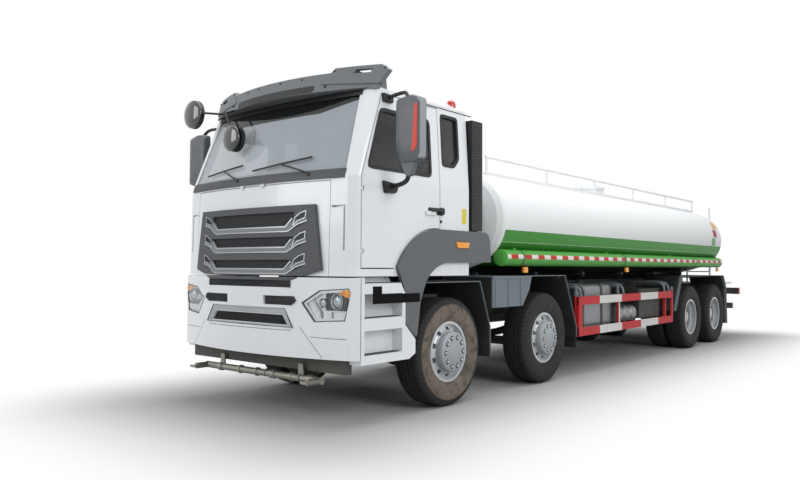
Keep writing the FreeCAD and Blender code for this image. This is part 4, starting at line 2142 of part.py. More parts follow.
def build_side_equipment():
    """Fuel tank, air reservoirs, boxes and side guards."""
    fuel = prism("fuel_form", "XZ", behind("fuel_front_behind"),
                 "fuel_rear_behind - fuel_front_behind", [
                     ("fuel_inner + fuel_round", "fuel_low"),
                     ("fuel_outer - fuel_round", "fuel_low", "fuel_round"),
                     ("fuel_outer", "fuel_low + fuel_round"),
                     ("fuel_outer", "fuel_top - fuel_round", "fuel_round"),
                     ("fuel_outer - fuel_round", "fuel_top"),
                     ("fuel_inner + fuel_round", "fuel_top", "fuel_round"),
                     ("fuel_inner", "fuel_top - fuel_round"),
                     ("fuel_inner", "fuel_low + fuel_round", "fuel_round"),
                 ])
    seat = box("fuel_bracket", ("frame_half", behind("(fuel_front_behind + 150)"),
                                "rail_top - rail_height"),
               ("fuel_inner + 1", behind("(fuel_rear_behind - 150)"), "rail_top - 20"))
    keep(fuse("fuel_tank_body", [fuel, seat]), "fuel_tank")

    cans = []
    for index in range(3):
        place = behind(f"(reservoir_first_behind + {index} * reservoir_pitch)")
        cans.append(rod(f"reservoir_{index}", "x", ("reservoir_inner", place,
                                                    "reservoir_height"),
                        "reservoir_outer - reservoir_inner", "reservoir_radius"))
    shelf = box("reservoir_shelf",
                ("frame_half", behind("(reservoir_first_behind - reservoir_radius)"),
                 "reservoir_height + reservoir_radius - 14"),
                ("reservoir_outer - 60",
                 behind("(reservoir_first_behind + 2 * reservoir_pitch + reservoir_radius)"),
                 "reservoir_height + reservoir_radius + 6"))
    reservoirs = fuse("reservoir_set", cans + [shelf])

    left_box = box("battery_box",
                   ("frame_half + 0.3", behind("box_front_behind"), "box_low"),
                   ("fuel_outer + 20", behind("box_rear_behind"), "box_top"))
    silencer = box("silencer_box",
                   ("-fuel_outer", behind("fuel_front_behind"), "fuel_low + 20"),
                   ("-(frame_half + 0.3)", behind("(fuel_rear_behind - 100)"), "fuel_top - 90"))
    tool_box = box("tool_box",
                   ("-fuel_outer - 20", behind("reservoir_first_behind"), "box_low"),
                   ("-(frame_half + 0.3)", behind("box_rear_behind"), "box_top"))
    keep(group("side_box_set", [left_box, silencer, tool_box, reservoirs]), "side_boxes")

    rails = []
    for name, level in (("upper", "side_guard_upper"), ("lower", "side_guard_lower")):
        rails.append(box(
            f"side_rail_{name}",
            ("side_guard_outer - side_guard_thickness", behind("side_guard_front_behind"), level),
            ("side_guard_outer", behind("side_guard_rear_behind"),
             f"{level} + side_guard_height")))
    legs = []
    for name in ("first", "second", "third"):
        place = behind(f"guard_leg_{name}_behind")
        legs.append(bent(f"guard_leg_{name}", [
            ("guard_leg_place", place, "side_guard_lower"),
            ("guard_leg_place", place, "guard_leg_top"),
            ("frame_half + guard_leg_radius + 1", place, "guard_leg_top"),
            ("frame_half + guard_leg_radius + 1", place, "rail_top - guard_leg_radius"),
        ], "guard_leg_radius"))
        legs.append(box(
            f"guard_pad_{name}",
            ("guard_leg_place", f"{place} - guard_pad_half", "side_guard_lower"),
            ("side_guard_outer - side_guard_thickness + 2", f"{place} + guard_pad_half",
             "side_guard_upper + side_guard_height")))
        legs.append(box(
            f"guard_foot_{name}",
            ("frame_half", f"{place} - guard_foot_half", "rail_top - 110"),
            ("frame_half + guard_foot_thickness", f"{place} + guard_foot_half",
             "rail_top - 2")))
    keep(pair("side_guard_pair", fuse("side_guard_left", rails + legs)), "side_guards")


def build_rear():
    """Rear under-run bar, lamp bar, platform and ladder."""
    bar = box("underrun_bar",
              ("-underrun_half", behind("underrun_behind"), "underrun_low"),
              ("underrun_half", behind("(underrun_behind + underrun_depth)"),
               "underrun_low + underrun_height"))
    drops = [
        box(f"underrun_drop_{name}",
            (f"{sign} * (frame_half + 12) - 12", behind("underrun_behind"), "underrun_low"),
            (f"{sign} * (frame_half + 12) + 12", behind("(underrun_behind + underrun_depth)"),
             "rail_top - 20"))
        for name, sign in SIDES
    ]
    lamp_bar = box("lamp_bar",
                   ("-lamp_bar_half", behind("(rear_reach - lamp_bar_depth)"), "lamp_bar_low"),
                   ("lamp_bar_half", behind("rear_reach"), "lamp_bar_low + lamp_bar_height"))
    arms = [
        box(f"lamp_arm_{name}",
            (f"{sign} * (frame_half + 12) - 12", behind("(underrun_behind + 10)"),
             "lamp_bar_low + 10"),
            (f"{sign} * (frame_half + 12) + 12", behind("(rear_reach - lamp_bar_depth + 5)"),
             "lamp_bar_low + lamp_bar_height"))
        for name, sign in SIDES
    ]
    keep(fuse("rear_bar_set", [bar, lamp_bar] + drops + arms), "rear_underrun")

    plate = box("platform_plate",
                ("-platform_half", behind("platform_front_behind"), "rail_top"),
                ("platform_half", behind("rail_end_behind"), "rail_top + platform_height"))
    stiles = [
        rod(f"ladder_stile_{name}", "z", (f"{sign} * ladder_half + ladder_place", behind("ladder_behind"),
                                          "rail_top + 5"),
            "tank_centre + tank_half_height - rail_top", "ladder_tube_radius")
        for name, sign in SIDES
    ]
    rungs = [
        rod(f"ladder_rung_{index}", "x", ("ladder_place - ladder_half", behind("ladder_behind"),
                                          f"rail_top + rung_pitch * {index + 1}"),
            "2 * ladder_half", "ladder_tube_radius * 0.7")
        for index in range(5)
    ]
    keep(fuse("platform_set", [plate] + stiles + rungs), "rear_platform")


def check_and_write():
    """Stops on a failed object or a bad shape, then writes one file per sub-part."""
    doc.recompute()
    faults = [
        f"{thing.Label} failed: {thing.State}"
        for thing in doc.Objects
        if "Invalid" in thing.State or "Error" in thing.State
    ]
    faults += [
        f"{thing.Label} has a bad shape"
        for thing in KEPT
        if thing.Shape.isNull() or not thing.Shape.isValid()
    ]
    if faults:
        raise RuntimeError("; ".join(faults))
    os.makedirs("parts", exist_ok=True)
    for thing in KEPT:
        thing.Shape.exportStep(os.path.join("parts", f"{thing.Label}.step"))


build_running_gear()
build_chassis()
build_mirrors(build_front(*build_cab()))
build_cab_inside()
build_tank()
build_guards()
build_side_equipment()
build_rear()
check_and_write()
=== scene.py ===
"""Eight-by-four water tanker truck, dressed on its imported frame.

Metres, +Z up, the nose towards -Y and the vehicle's left side at +X. Axle one lies at
y = -4.25, so a place that is d metres behind it is at AXLE_ONE + d.
"""

from __future__ import annotations

import logging
import math
from dataclasses import dataclass, field
from enum import Enum
from typing import Callable, Iterable

import bmesh
import bpy
import numpy as np
from mathutils import Matrix, Vector

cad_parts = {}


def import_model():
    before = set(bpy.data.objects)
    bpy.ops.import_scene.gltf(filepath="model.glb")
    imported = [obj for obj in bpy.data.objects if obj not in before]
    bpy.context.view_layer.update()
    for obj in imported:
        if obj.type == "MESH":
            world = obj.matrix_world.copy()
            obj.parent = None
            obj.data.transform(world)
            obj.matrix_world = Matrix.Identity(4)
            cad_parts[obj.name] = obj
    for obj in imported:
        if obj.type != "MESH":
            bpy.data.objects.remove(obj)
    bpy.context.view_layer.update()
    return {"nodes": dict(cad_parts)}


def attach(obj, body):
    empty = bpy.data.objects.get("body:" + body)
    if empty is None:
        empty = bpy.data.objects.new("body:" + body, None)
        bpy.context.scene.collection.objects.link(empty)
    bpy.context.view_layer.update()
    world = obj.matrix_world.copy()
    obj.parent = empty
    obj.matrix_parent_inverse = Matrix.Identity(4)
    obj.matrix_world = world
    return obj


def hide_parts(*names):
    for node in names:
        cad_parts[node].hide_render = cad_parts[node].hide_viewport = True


LOG = logging.getLogger("water_tanker")
AXLE_ONE = -4.25
STEERED = (("one", 0.0), ("two", 1.95))
DRIVEN = (("three", 7.05), ("four", 8.40))
WHEEL_HEIGHT = 0.541
MILLIMETRE = 0.001
# With this setting a Mix node blends colours: input 0 is the share of the second, and inputs
# 6 and 7 are the colours.
BLEND = {"data_type": "RGBA"}
Corners = list[tuple[float, float]]
Point = tuple[float, float, float]
Surface = Callable[[np.ndarray, np.ndarray], np.ndarray]
Given = bpy.types.NodeSocket | bpy.types.Node | tuple | float


class Side(Enum):
    """The two sides of the vehicle and the sign that X has there."""

    LEFT = 1
    RIGHT = -1

    @property
    def word(self) -> str:
        """The side's name in the frame's body and node names."""
        return self.name.lower()


class Pattern(Enum):
    """What a paint shows besides its own colour."""

    PLAIN = "plain"
    TANK_BANDS = "tank bands"
    TUBE_TAPE = "tube tape"
    GUARD_BLOCKS = "guard blocks"
    SUN_STRIP = "sun strip"
    DARK_INSIDE = "dark inside"


@dataclass
class Patch:
    """A piece of surface: its points as an (n, 3) array and its faces as index rows."""

    points: np.ndarray
    faces: list[list[int]]

    def placed(self, side: Side) -> "Patch":
        """The patch itself on the left, and on the right its mirror image, faces outwards."""
        if side is Side.LEFT:
            return self
        return Patch(self.points * np.array([-1.0, 1.0, 1.0]), [row[::-1] for row in self.faces])


def grid(points: np.ndarray, wrap_rows: bool = False) -> Patch:
    """Quads over rows of points that each close on themselves: each cell's corners, in turn.

    Args:
        points: Array (rows, columns, 3).
        wrap_rows: Whether the last row joins the first. If not, a face closes each end.

    Returns:
        The patch.
    """
    rows, columns = points.shape[:2]
    index = np.arange(rows * columns).reshape(rows, columns)
    down = np.roll(index, -1, axis=0) if wrap_rows else index[1:]
    top = index if wrap_rows else index[:-1]
    cells = (top, np.roll(top, -1, axis=1), np.roll(down, -1, axis=1), down)
    faces = np.stack(cells, axis=-1).reshape(-1, 4).tolist()
    if not wrap_rows:
        faces += [index[0, ::-1].tolist(), index[-1].tolist()]
    return Patch(points.reshape(-1, 3), faces)


def joined(patches: Iterable[Patch]) -> Patch:
    """Several patches as one: the indices of each are shifted past the last.

    Args:
        patches: The patches.

    Returns:
        All their points and faces.
    """
    held = list(patches)
    sizes = np.cumsum([0] + [len(patch.points) for patch in held])
    faces = [[place + int(start) for place in row]
             for patch, start in zip(held, sizes) for row in patch.faces]
    return Patch(np.concatenate([patch.points for patch in held]), faces)


def both(patch: Patch) -> Patch:
    """A patch of the left side and its mirror image."""
    return joined([patch, patch.placed(Side.RIGHT)])


def spread(plane: np.ndarray, place: np.ndarray | float, axis: int) -> np.ndarray:
    """Points in space: two coordinates from a plane, and the place as the one along the axis."""
    return np.insert(plane, axis, place, axis=-1)


def slab(outline: np.ndarray, low: float, high: float, edge: float = 0.004,
         axis: int = 1) -> Patch:
    """A plate with bevelled rims: its outline is carried from low to high along one axis.

    The rim's two outer loops are the outline drawn towards its middle by the edge width.

    Args:
        outline: (n, 2) corners in the order of the other two axes.
        low: Where the plate starts.
        high: Where it ends.
        edge: Width of the bevel.
        axis: 0, 1 or 2 for a plate across X, Y or Z.

    Returns:
        The closed patch.
    """
    middle = outline.mean(axis=0)
    reach = np.abs(outline - middle).max(axis=0)
    small = middle + (outline - middle) * (1 - edge / np.maximum(reach, edge * 2))
    loops = [(small, low), (outline, low + edge), (outline, high - edge), (small, high)]
    return grid(np.stack([spread(loop, place, axis) for loop, place in loops]))


def lofted(outline: np.ndarray, profile: Corners, axis: int = 0) -> Patch:
    """A closed body: an outline scaled about its middle at each place along an axis.

    Args:
        outline: (n, 2) corners in the order of the other two axes.
        profile: Rows of scale and place.
        axis: 0, 1 or 2.

    Returns:
        The patch.
    """
    middle = outline.mean(axis=0)
    return grid(np.stack([spread(middle + (outline - middle) * scale, place, axis)
                          for scale, place in profile]))


def rounded(corners: Corners, radius: float, count: int = 6) -> np.ndarray:
    """An outline with soft corners: each is a parabola between points a radius away on its sides.

    Args:
        corners: The sharp corners in turn.
        radius: How far from its corner a parabola starts, at most 0.48 of the side.
        count: Points on each parabola.

    Returns:
        (n, 2) points.
    """
    points = np.array(corners, float)
    back, forth = np.roll(points, 1, axis=0) - points, np.roll(points, -1, axis=0) - points
    short, long = (np.linalg.norm(side, axis=1, keepdims=True) for side in (back, forth))
    reach = np.minimum(radius, 0.48 * np.minimum(short, long))
    start, end = points + back / short * reach, points + forth / long * reach
    share = np.linspace(0, 1, count)[None, :, None]
    arcs = ((1 - share) ** 2 * start[:, None] + 2 * share * (1 - share) * points[:, None]
            + share ** 2 * end[:, None])
    return arcs.reshape(-1, 2)


def grown(outline: np.ndarray, width: float) -> np.ndarray:
    """An outline moved outwards along its normals, which are its tangents turned by 90 degrees.

    Args:
        outline: (n, 2) points in turn.
        width: How far, less than zero for inwards.

    Returns:
        As many points.
    """
    along = np.roll(outline, -1, axis=0) - np.roll(outline, 1, axis=0)
    along /= np.linalg.norm(along, axis=1, keepdims=True)
    normal = np.stack([along[:, 1], -along[:, 0]], axis=1)
    following = np.roll(outline, -1, axis=0)
    area = (outline[:, 0] * following[:, 1] - following[:, 0] * outline[:, 1]).sum()
    return outline + normal * width * np.sign(area)


def divided(outline: np.ndarray, count: int) -> np.ndarray:
    """A closed outline with each of its sides cut into a count of equal steps."""
    steps = np.linspace(0, 1, count, endpoint=False)[None, :, None]
    return (outline[:, None] + (np.roll(outline, -1, axis=0) - outline)[:, None] * steps
            ).reshape(-1, 2)


def spaced(corners: np.ndarray | Corners, count: int) -> tuple[np.ndarray, np.ndarray]:
    """Points along an open line with as many on each of its sides.

    Args:
        corners: The line's corners.
        count: How many points.

    Returns:
        Their first and their second coordinates.
    """
    points = np.array(corners, float)
    share, places = np.linspace(0, len(points) - 1, count), np.arange(len(points))
    return np.interp(share, places, points[:, 0]), np.interp(share, places, points[:, 1])


def beside(across: np.ndarray, height: np.ndarray, width: float) -> np.ndarray:
    """A line's normals, its tangents turned by 90 degrees, as (n, 2) rows of one width."""
    ahead = np.stack([np.gradient(across), np.gradient(height)], axis=1)
    ahead /= np.linalg.norm(ahead, axis=1, keepdims=True)
    return np.stack([-ahead[:, 1], ahead[:, 0]], axis=1) * width


def swept(sections: list[tuple[np.ndarray | float, ...]]) -> Patch:
    """A closed bar: its edges' X, Y and Z along its length, one row for each edge."""
    return grid(np.stack([np.stack(np.broadcast_arrays(*row), axis=1) for row in sections], axis=1))


def collar(outer: np.ndarray, inner: np.ndarray, surface: Surface, back: float, front: float,
           axis: int = 1) -> Patch:
    """A closed band between two outlines, laid on a surface.

    Args:
        outer: (n, 2) outer corners in the order of the other two axes.
        inner: As many inner corners.
        surface: The place along the axis at two coordinates.
        back: What the band's back adds to the surface.
        front: What its face adds.
        axis: 0, 1 or 2.

    Returns:
        The patch.
    """
    loops = ((outer, back), (outer, front), (inner, front), (inner, back))
    return grid(np.stack([spread(loop, surface(*loop.T) + off, axis) for loop, off in loops]),
                wrap_rows=True)


def draped(across: np.ndarray, low: np.ndarray | float, high: np.ndarray | float,
           surface: Surface, back: float, front: float, rows: int = 3) -> Patch:
    """A closed sheet on a surface that faces forwards, between a lower and an upper line.

    Args:
        across: X of its columns.
        low: Height of the lower line at each.
        high: Height of the upper line at each.
        surface: Y at an X and a height.
        back: What the sheet's back adds to the surface.
        front: What its face adds.
        rows: Rows of points from the lower to the upper line.

    Returns:
        The patch.
    """
    foot, top = (np.broadcast_to(line, across.shape) for line in (low, high))
    height = foot + (top - foot) * np.linspace(0, 1, rows)[:, None]
    wide = np.broadcast_to(across, height.shape)
    place = surface(wide, height)
    layers = [np.stack([wide, place + off, height], axis=-1) for off in (back, front)]
    return grid(np.swapaxes(np.concatenate([layers[0], layers[1][::-1]]), 0, 1))


def flat_at(place: float) -> Surface:
    """A surface that lies at one place everywhere."""
    return lambda first, second: np.full(np.shape(first), place)


def block(low: Point, high: Point, edge: float = 0.003) -> Patch:
    """A bevelled box between two corners."""
    corners = [(low[0], low[2]), (high[0], low[2]), (high[0], high[2]), (low[0], high[2])]
    return slab(np.array(corners), low[1], high[1], edge)


def circle(count: int) -> tuple[np.ndarray, np.ndarray]:
    """Cosines and sines of a count of even steps round a circle."""
    angle = np.linspace(0, 2 * math.pi, count, endpoint=False)
    return np.cos(angle), np.sin(angle)


def tube(path: np.ndarray, radius: float, around: int = 12) -> Patch:
    """A round bar along a path: a circle in the plane across each point's direction.

    Args:
        path: (n, 3) points.
        radius: Radius of the bar.
        around: Points round the circle.

    Returns:
        The closed patch.
    """
    ahead = np.gradient(path, axis=0)
    ahead /= np.linalg.norm(ahead, axis=1, keepdims=True)
    helper = np.where(np.abs(ahead[:, 2:3]) > 0.9, [[1.0, 0.0, 0.0]], [[0.0, 0.0, 1.0]])
    across = np.cross(ahead, helper)
    across /= np.linalg.norm(across, axis=1, keepdims=True)
    up = np.cross(across, ahead)
    cosine, sine = circle(around)
    ring = across[:, None] * cosine[None, :, None] + up[:, None] * sine[None, :, None]
    return grid(path[:, None] + radius * ring)


def smooth_path(corners: list[Point], count: int = 24) -> np.ndarray:
    """Points along a soft curve through corners: each span is a cubic with even tangents.

    Args:
        corners: The points that it passes.
        count: How many points it gets.

    Returns:
        (count, 3) points.
    """
    points = np.array(corners, float)
    padded = np.vstack([2 * points[0] - points[1], points, 2 * points[-1] - points[-2]])
    steps = np.linspace(0, len(points) - 1, count)
    span = np.minimum(steps.astype(int), len(points) - 2)
    part = (steps - span)[:, None]
    before, start, end, after = (padded[span + shift] for shift in range(4))
    return 0.5 * (2 * start + (end - before) * part
                  + (2 * before - 5 * start + 4 * end - after) * part ** 2
                  + (3 * start - before - 3 * end + after) * part ** 3)


def turned(profile: np.ndarray | Corners, centre: Point, around: int = 48,
           axis: int = 0) -> Patch:
    """A profile of (along, radius) rows turned round a line along one axis.

    Args:
        profile: (n, 2) rows of place along the line and radius.
        centre: A point on the line.
        around: Steps round the line.
        axis: 0, 1 or 2 for a line along X, Y or Z.

    Returns:
        The patch, closed at both ends by a face.
    """
    rows = np.array(profile, float)
    round_line = np.stack([rows[:, 1:2] * part for part in circle(around)], axis=-1)
    return grid(spread(round_line, np.broadcast_to(rows[:, 0:1], round_line.shape[:2]), axis)
                + np.array(centre))


def dome(radius: float, front: float, bulge: float, reach: float) -> np.ndarray:
    """The profile of a cap: a quarter of an ellipse from its rim towards its pole.

    Args:
        radius: Its radius at the rim.
        front: Where the rim lies.
        bulge: How far the pole stands before the rim.
        reach: How far short of the pole it ends, in radians.

    Returns:
        Nine rows of place and radius.
    """
    angle = np.linspace(0, math.pi / 2 - reach, 9)
    return np.stack([front - bulge * np.sin(angle), radius * np.cos(angle)], axis=1)


def pillow(size: Point, square: float, rows: int, columns: int) -> Patch:
    """A closed rounded block: a sphere whose sines and cosines are raised to a small power.

    Args:
        size: Half lengths along X, Y and Z.
        square: 1 is a ball, and towards 0 the block gets flat faces and tight corners.
        rows: Steps from pole to pole.
        columns: Steps round the block.

    Returns:
        The patch, centred on the origin.
    """
    lean = np.linspace(-math.pi / 2 + 1e-3, math.pi / 2 - 1e-3, rows)[:, None]
    turn = np.linspace(-math.pi, math.pi, columns, endpoint=False)[None, :]

    def power(amount: np.ndarray) -> np.ndarray:
        """A value's sign times its size to the power that squares the block."""
        return np.sign(amount) * np.abs(amount) ** square

    shape = np.broadcast_arrays(power(np.cos(lean)) * power(np.cos(turn)),
                                power(np.cos(lean)) * power(np.sin(turn)), power(np.sin(lean)))
    return grid(np.stack(shape, axis=-1) * np.array(size))


def linear(code: str) -> tuple[float, float, float, float]:
    """An sRGB hex colour as linear red, green, blue and alpha, by the sRGB curve.

    Args:
        code: Such as "#e3e6e9".

    Returns:
        Four numbers from 0 to 1.
    """
    parts = np.array([int(code[spot:spot + 2], 16) / 255 for spot in (1, 3, 5)])
    low, high = parts / 12.92, ((parts + 0.055) / 1.055) ** 2.4
    red, green, blue = np.where(parts <= 0.04045, low, high)
    return float(red), float(green), float(blue), 1.0


def add(tree: bpy.types.NodeTree, kind: str,
        inputs: dict[int | str, Given] | tuple[Given, ...] = (),
        **settings: str | bool) -> bpy.types.Node:
    """Adds a node with its settings, and sets or links its inputs.

    Args:
        tree: The material's or world's node tree.
        kind: Blender's name for the node type, without the leading ShaderNode.
        inputs: Inputs in order, or by name or place. Each has a value, the output that feeds
            it, or the node whose first output in use does.
        settings: Attributes of the node.

    Returns:
        The new node.
    """
    made = tree.nodes.new(f"ShaderNode{kind}")
    for name, setting in settings.items():
        setattr(made, name, setting)
    named = inputs if isinstance(inputs, dict) else dict(enumerate(inputs))
    for name, given in named.items():
        if isinstance(given, bpy.types.Node):
            given = next(output for output in given.outputs if output.enabled)
        if isinstance(given, bpy.types.NodeSocket):
            tree.links.new(given, made.inputs[name])
        else:
            made.inputs[name].default_value = given
    return made


def fresh(data: bpy.types.Material | bpy.types.World) -> bpy.types.NodeTree:
    """The empty node tree of a new material or world."""
    data.use_nodes = True
    data.node_tree.nodes.clear()
    return data.node_tree


def between(tree: bpy.types.NodeTree, amount: Given, low: float, high: float
            ) -> bpy.types.Node:
    """1 where an amount lies between two limits, and 0 elsewhere."""
    above = add(tree, "Math", (amount, low), operation="GREATER_THAN")
    below = add(tree, "Math", (amount, high), operation="LESS_THAN")
    return add(tree, "Math", (above, below), operation="MULTIPLY")


@dataclass(frozen=True)
class Finish:
    """A surface finish, and the numbers that tell it from the others.

    Lengths of patterns are in millimetres. Dust lies thicker towards the ground. The slot names
    the record's material slot for its pieces; it is only kept in the paint box's table.
    """

    name: str
    colour: str
    roughness: float = 0.5
    slot: str = "dark_plastic"
    metallic: float = 0.0
    coat: float = 0.0
    grain_mm: float = 2.0
    relief: float = 0.05
    blotch_mm: float = 250.0
    shade: float = 0.06
    dust: float = 0.1
    glow: float = 0.0
    gloss: float = 0.5
    see_through: float = 0.0
    pattern: Pattern = Pattern.PLAIN

    def build(self) -> bpy.types.Material:
        """Builds the nodes: paint, blotches, a film of dust, grain as bump, and the shader.

        Returns:
            The material, named for what it is.
        """
        material = bpy.data.materials.new(self.name)
        tree = fresh(material)
        place = add(tree, "TexCoord").outputs["Object"]
        grain = add(tree, "TexNoise", {
            "Vector": place, "Scale": 1000 / self.grain_mm, "Detail": 2.0})
        blotch = add(tree, "TexNoise", {
            "Vector": place, "Scale": 1000 / self.blotch_mm, "Detail": 5.0, "Roughness": 0.6})
        colour = self.painted(tree, place)
        dark = tuple(part * (1 - self.shade * 2) for part in linear(self.colour)[:3]) + (1.0,)
        if self.pattern is Pattern.PLAIN:
            colour = add(tree, "Mix", {0: blotch, 6: colour, 7: dark}, **BLEND)
        else:
            fall = add(tree, "Math", (blotch, self.shade * 1.2), operation="MULTIPLY")
            colour = add(tree, "Mix", {0: fall, 6: colour, 7: (0.0, 0.0, 0.0, 1.0)}, **BLEND)
        height = add(tree, "SeparateXYZ", (place,)).outputs["Z"]
        low = add(tree, "MapRange", (height, 0.0, 1.9, 1.0, 0.12))
        patchy = add(tree, "MapRange", (blotch, 0.32, 0.7, 0.15, 1.0))
        film = add(tree, "Math", (low, patchy), operation="MULTIPLY")
        film = add(tree, "Math", (film, self.dust), operation="MULTIPLY", use_clamp=True)
        colour = add(tree, "Mix", {0: film, 6: colour, 7: linear("#8d857a")}, **BLEND)
        rough = add(tree, "MapRange", (film, 0.0, 0.6, self.roughness, max(self.roughness, 0.8)))
        bump = add(tree, "Bump", {"Height": grain, "Strength": self.relief,
                                  "Distance": self.grain_mm * MILLIMETRE})
        shader = add(tree, "BsdfPrincipled", {
            "Base Color": colour, "Roughness": rough, "Metallic": self.metallic,
            "Coat Weight": self.coat, "Coat Roughness": 0.06, "Specular IOR Level": self.gloss,
            "Normal": bump})
        if self.see_through:
            facing = add(tree, "Fresnel", {"IOR": 1.5})
            held = add(tree, "MapRange", (facing, 0.04, 0.5, 1 - self.see_through,
                                          min(1.3 - self.see_through, 1.0)))
            tree.links.new(held.outputs[0], shader.inputs["Alpha"])
        # A faint emission in the finish's own colour: a painted glow, as no lamp is lit.
        if self.glow:
            shader.inputs["Emission Color"].default_value = linear(self.colour)
            shader.inputs["Emission Strength"].default_value = self.glow
        add(tree, "OutputMaterial", {"Surface": shader})
        return material

    def painted(self, tree: bpy.types.NodeTree, place: bpy.types.NodeSocket) -> Given:
        """The paint's colour, with its bands or blocks where it has a pattern.

        Args:
            tree: The material's node tree.
            place: The output that gives a point's place.

        Returns:
            A colour, or the output that carries it.
        """
        base = linear(self.colour)
        if self.pattern is Pattern.PLAIN:
            return base
        axes = add(tree, "SeparateXYZ", (place,)).outputs
        if self.pattern is Pattern.TANK_BANDS:
            return self.banded(tree, axes)
        far = add(tree, "Math", (axes["X"],), operation="ABSOLUTE")
        if self.pattern is Pattern.DARK_INSIDE:
            share = add(tree, "Math", (between(tree, far, -1.0, 1.200),
                                       between(tree, axes["Z"], -1.0, 1.276)),
                        operation="MULTIPLY")
            return add(tree, "Mix", {0: share, 6: base, 7: linear("#1b1e21")}, **BLEND)
        if self.pattern is Pattern.SUN_STRIP:
            # Ahead of the cab and below a line that rises to the corners, the screen is painted
            # pale as a reflection of the sky.
            ahead = add(tree, "Math", (axes["Y"], AXLE_ONE - 0.9), operation="LESS_THAN")
            slope = add(tree, "MapRange", (far, 0.60, 1.05, 2.795, 2.890))
            below = add(tree, "Math", (axes["Z"], slope), operation="LESS_THAN")
            pale = add(tree, "Math", (ahead, below), operation="MULTIPLY")
            return add(tree, "Mix", {0: pale, 6: base, 7: linear("#c3ccd3")}, **BLEND)
        if self.pattern is Pattern.TUBE_TAPE:
            strip = add(tree, "Math", (between(tree, axes["Z"], 1.480, 1.530),
                                       between(tree, far, 1.20, 2.0)), operation="MULTIPLY")
            beat = add(tree, "Math", (axes["Y"], 0.15), operation="PINGPONG")
            red = add(tree, "Math", (beat, 0.075), operation="GREATER_THAN")
            tape = add(tree, "Mix", {0: red, 6: linear("#d9d6d2"), 7: linear("#b3241c")}, **BLEND)
            return add(tree, "Mix", {0: strip, 6: base, 7: tape}, **BLEND)
        blocks = tuple(between(tree, axes["Y"], AXLE_ONE + front, AXLE_ONE + rear)
                       for front, rear in ((3.33, 4.06), (4.76, 5.46)))
        white = add(tree, "Math", blocks, operation="ADD", use_clamp=True)
        white = add(tree, "Math", (white, between(tree, far, 1.206, 2.0)), operation="MULTIPLY")
        colour = add(tree, "Mix", {0: white, 6: base, 7: linear("#d6d4d1")}, **BLEND)
        above = between(tree, axes["Z"], 1.015, 2.0)
        return add(tree, "Mix", {0: above, 6: colour, 7: linear("#676d73")}, **BLEND)

    def banded(self, tree: bpy.types.NodeTree, axes: bpy.types.NodeOutputs) -> Given:
        """The tank's green bands, a painted highlight line and a painted shade belly, on the barrel
        only.

        Args:
            tree: The material's node tree.
            axes: Outputs that give a point's X, Y and Z.

        Returns:
            The output that carries the colour.
        """
        barrel = between(tree, axes["Y"], AXLE_ONE + 0.952, AXLE_ONE + 8.83)
        colour = linear(self.colour)
        # Two greens; the pale line at the skirt's crease is a painted highlight; near black below z
        # 1.405 is painted shade under the tank.
        for low, high, code in ((1.20, 1.800, "#3a8a2e"), (1.20, 1.672, "#28741f"),
                                (1.664, 1.674, "#8fb987"), (0.50, 1.405, "#141815")):
            share = add(tree, "Math", (between(tree, axes["Z"], low, high), barrel),
                        operation="MULTIPLY")
            colour = add(tree, "Mix", {0: share, 6: colour, 7: linear(code)}, **BLEND)
        return colour


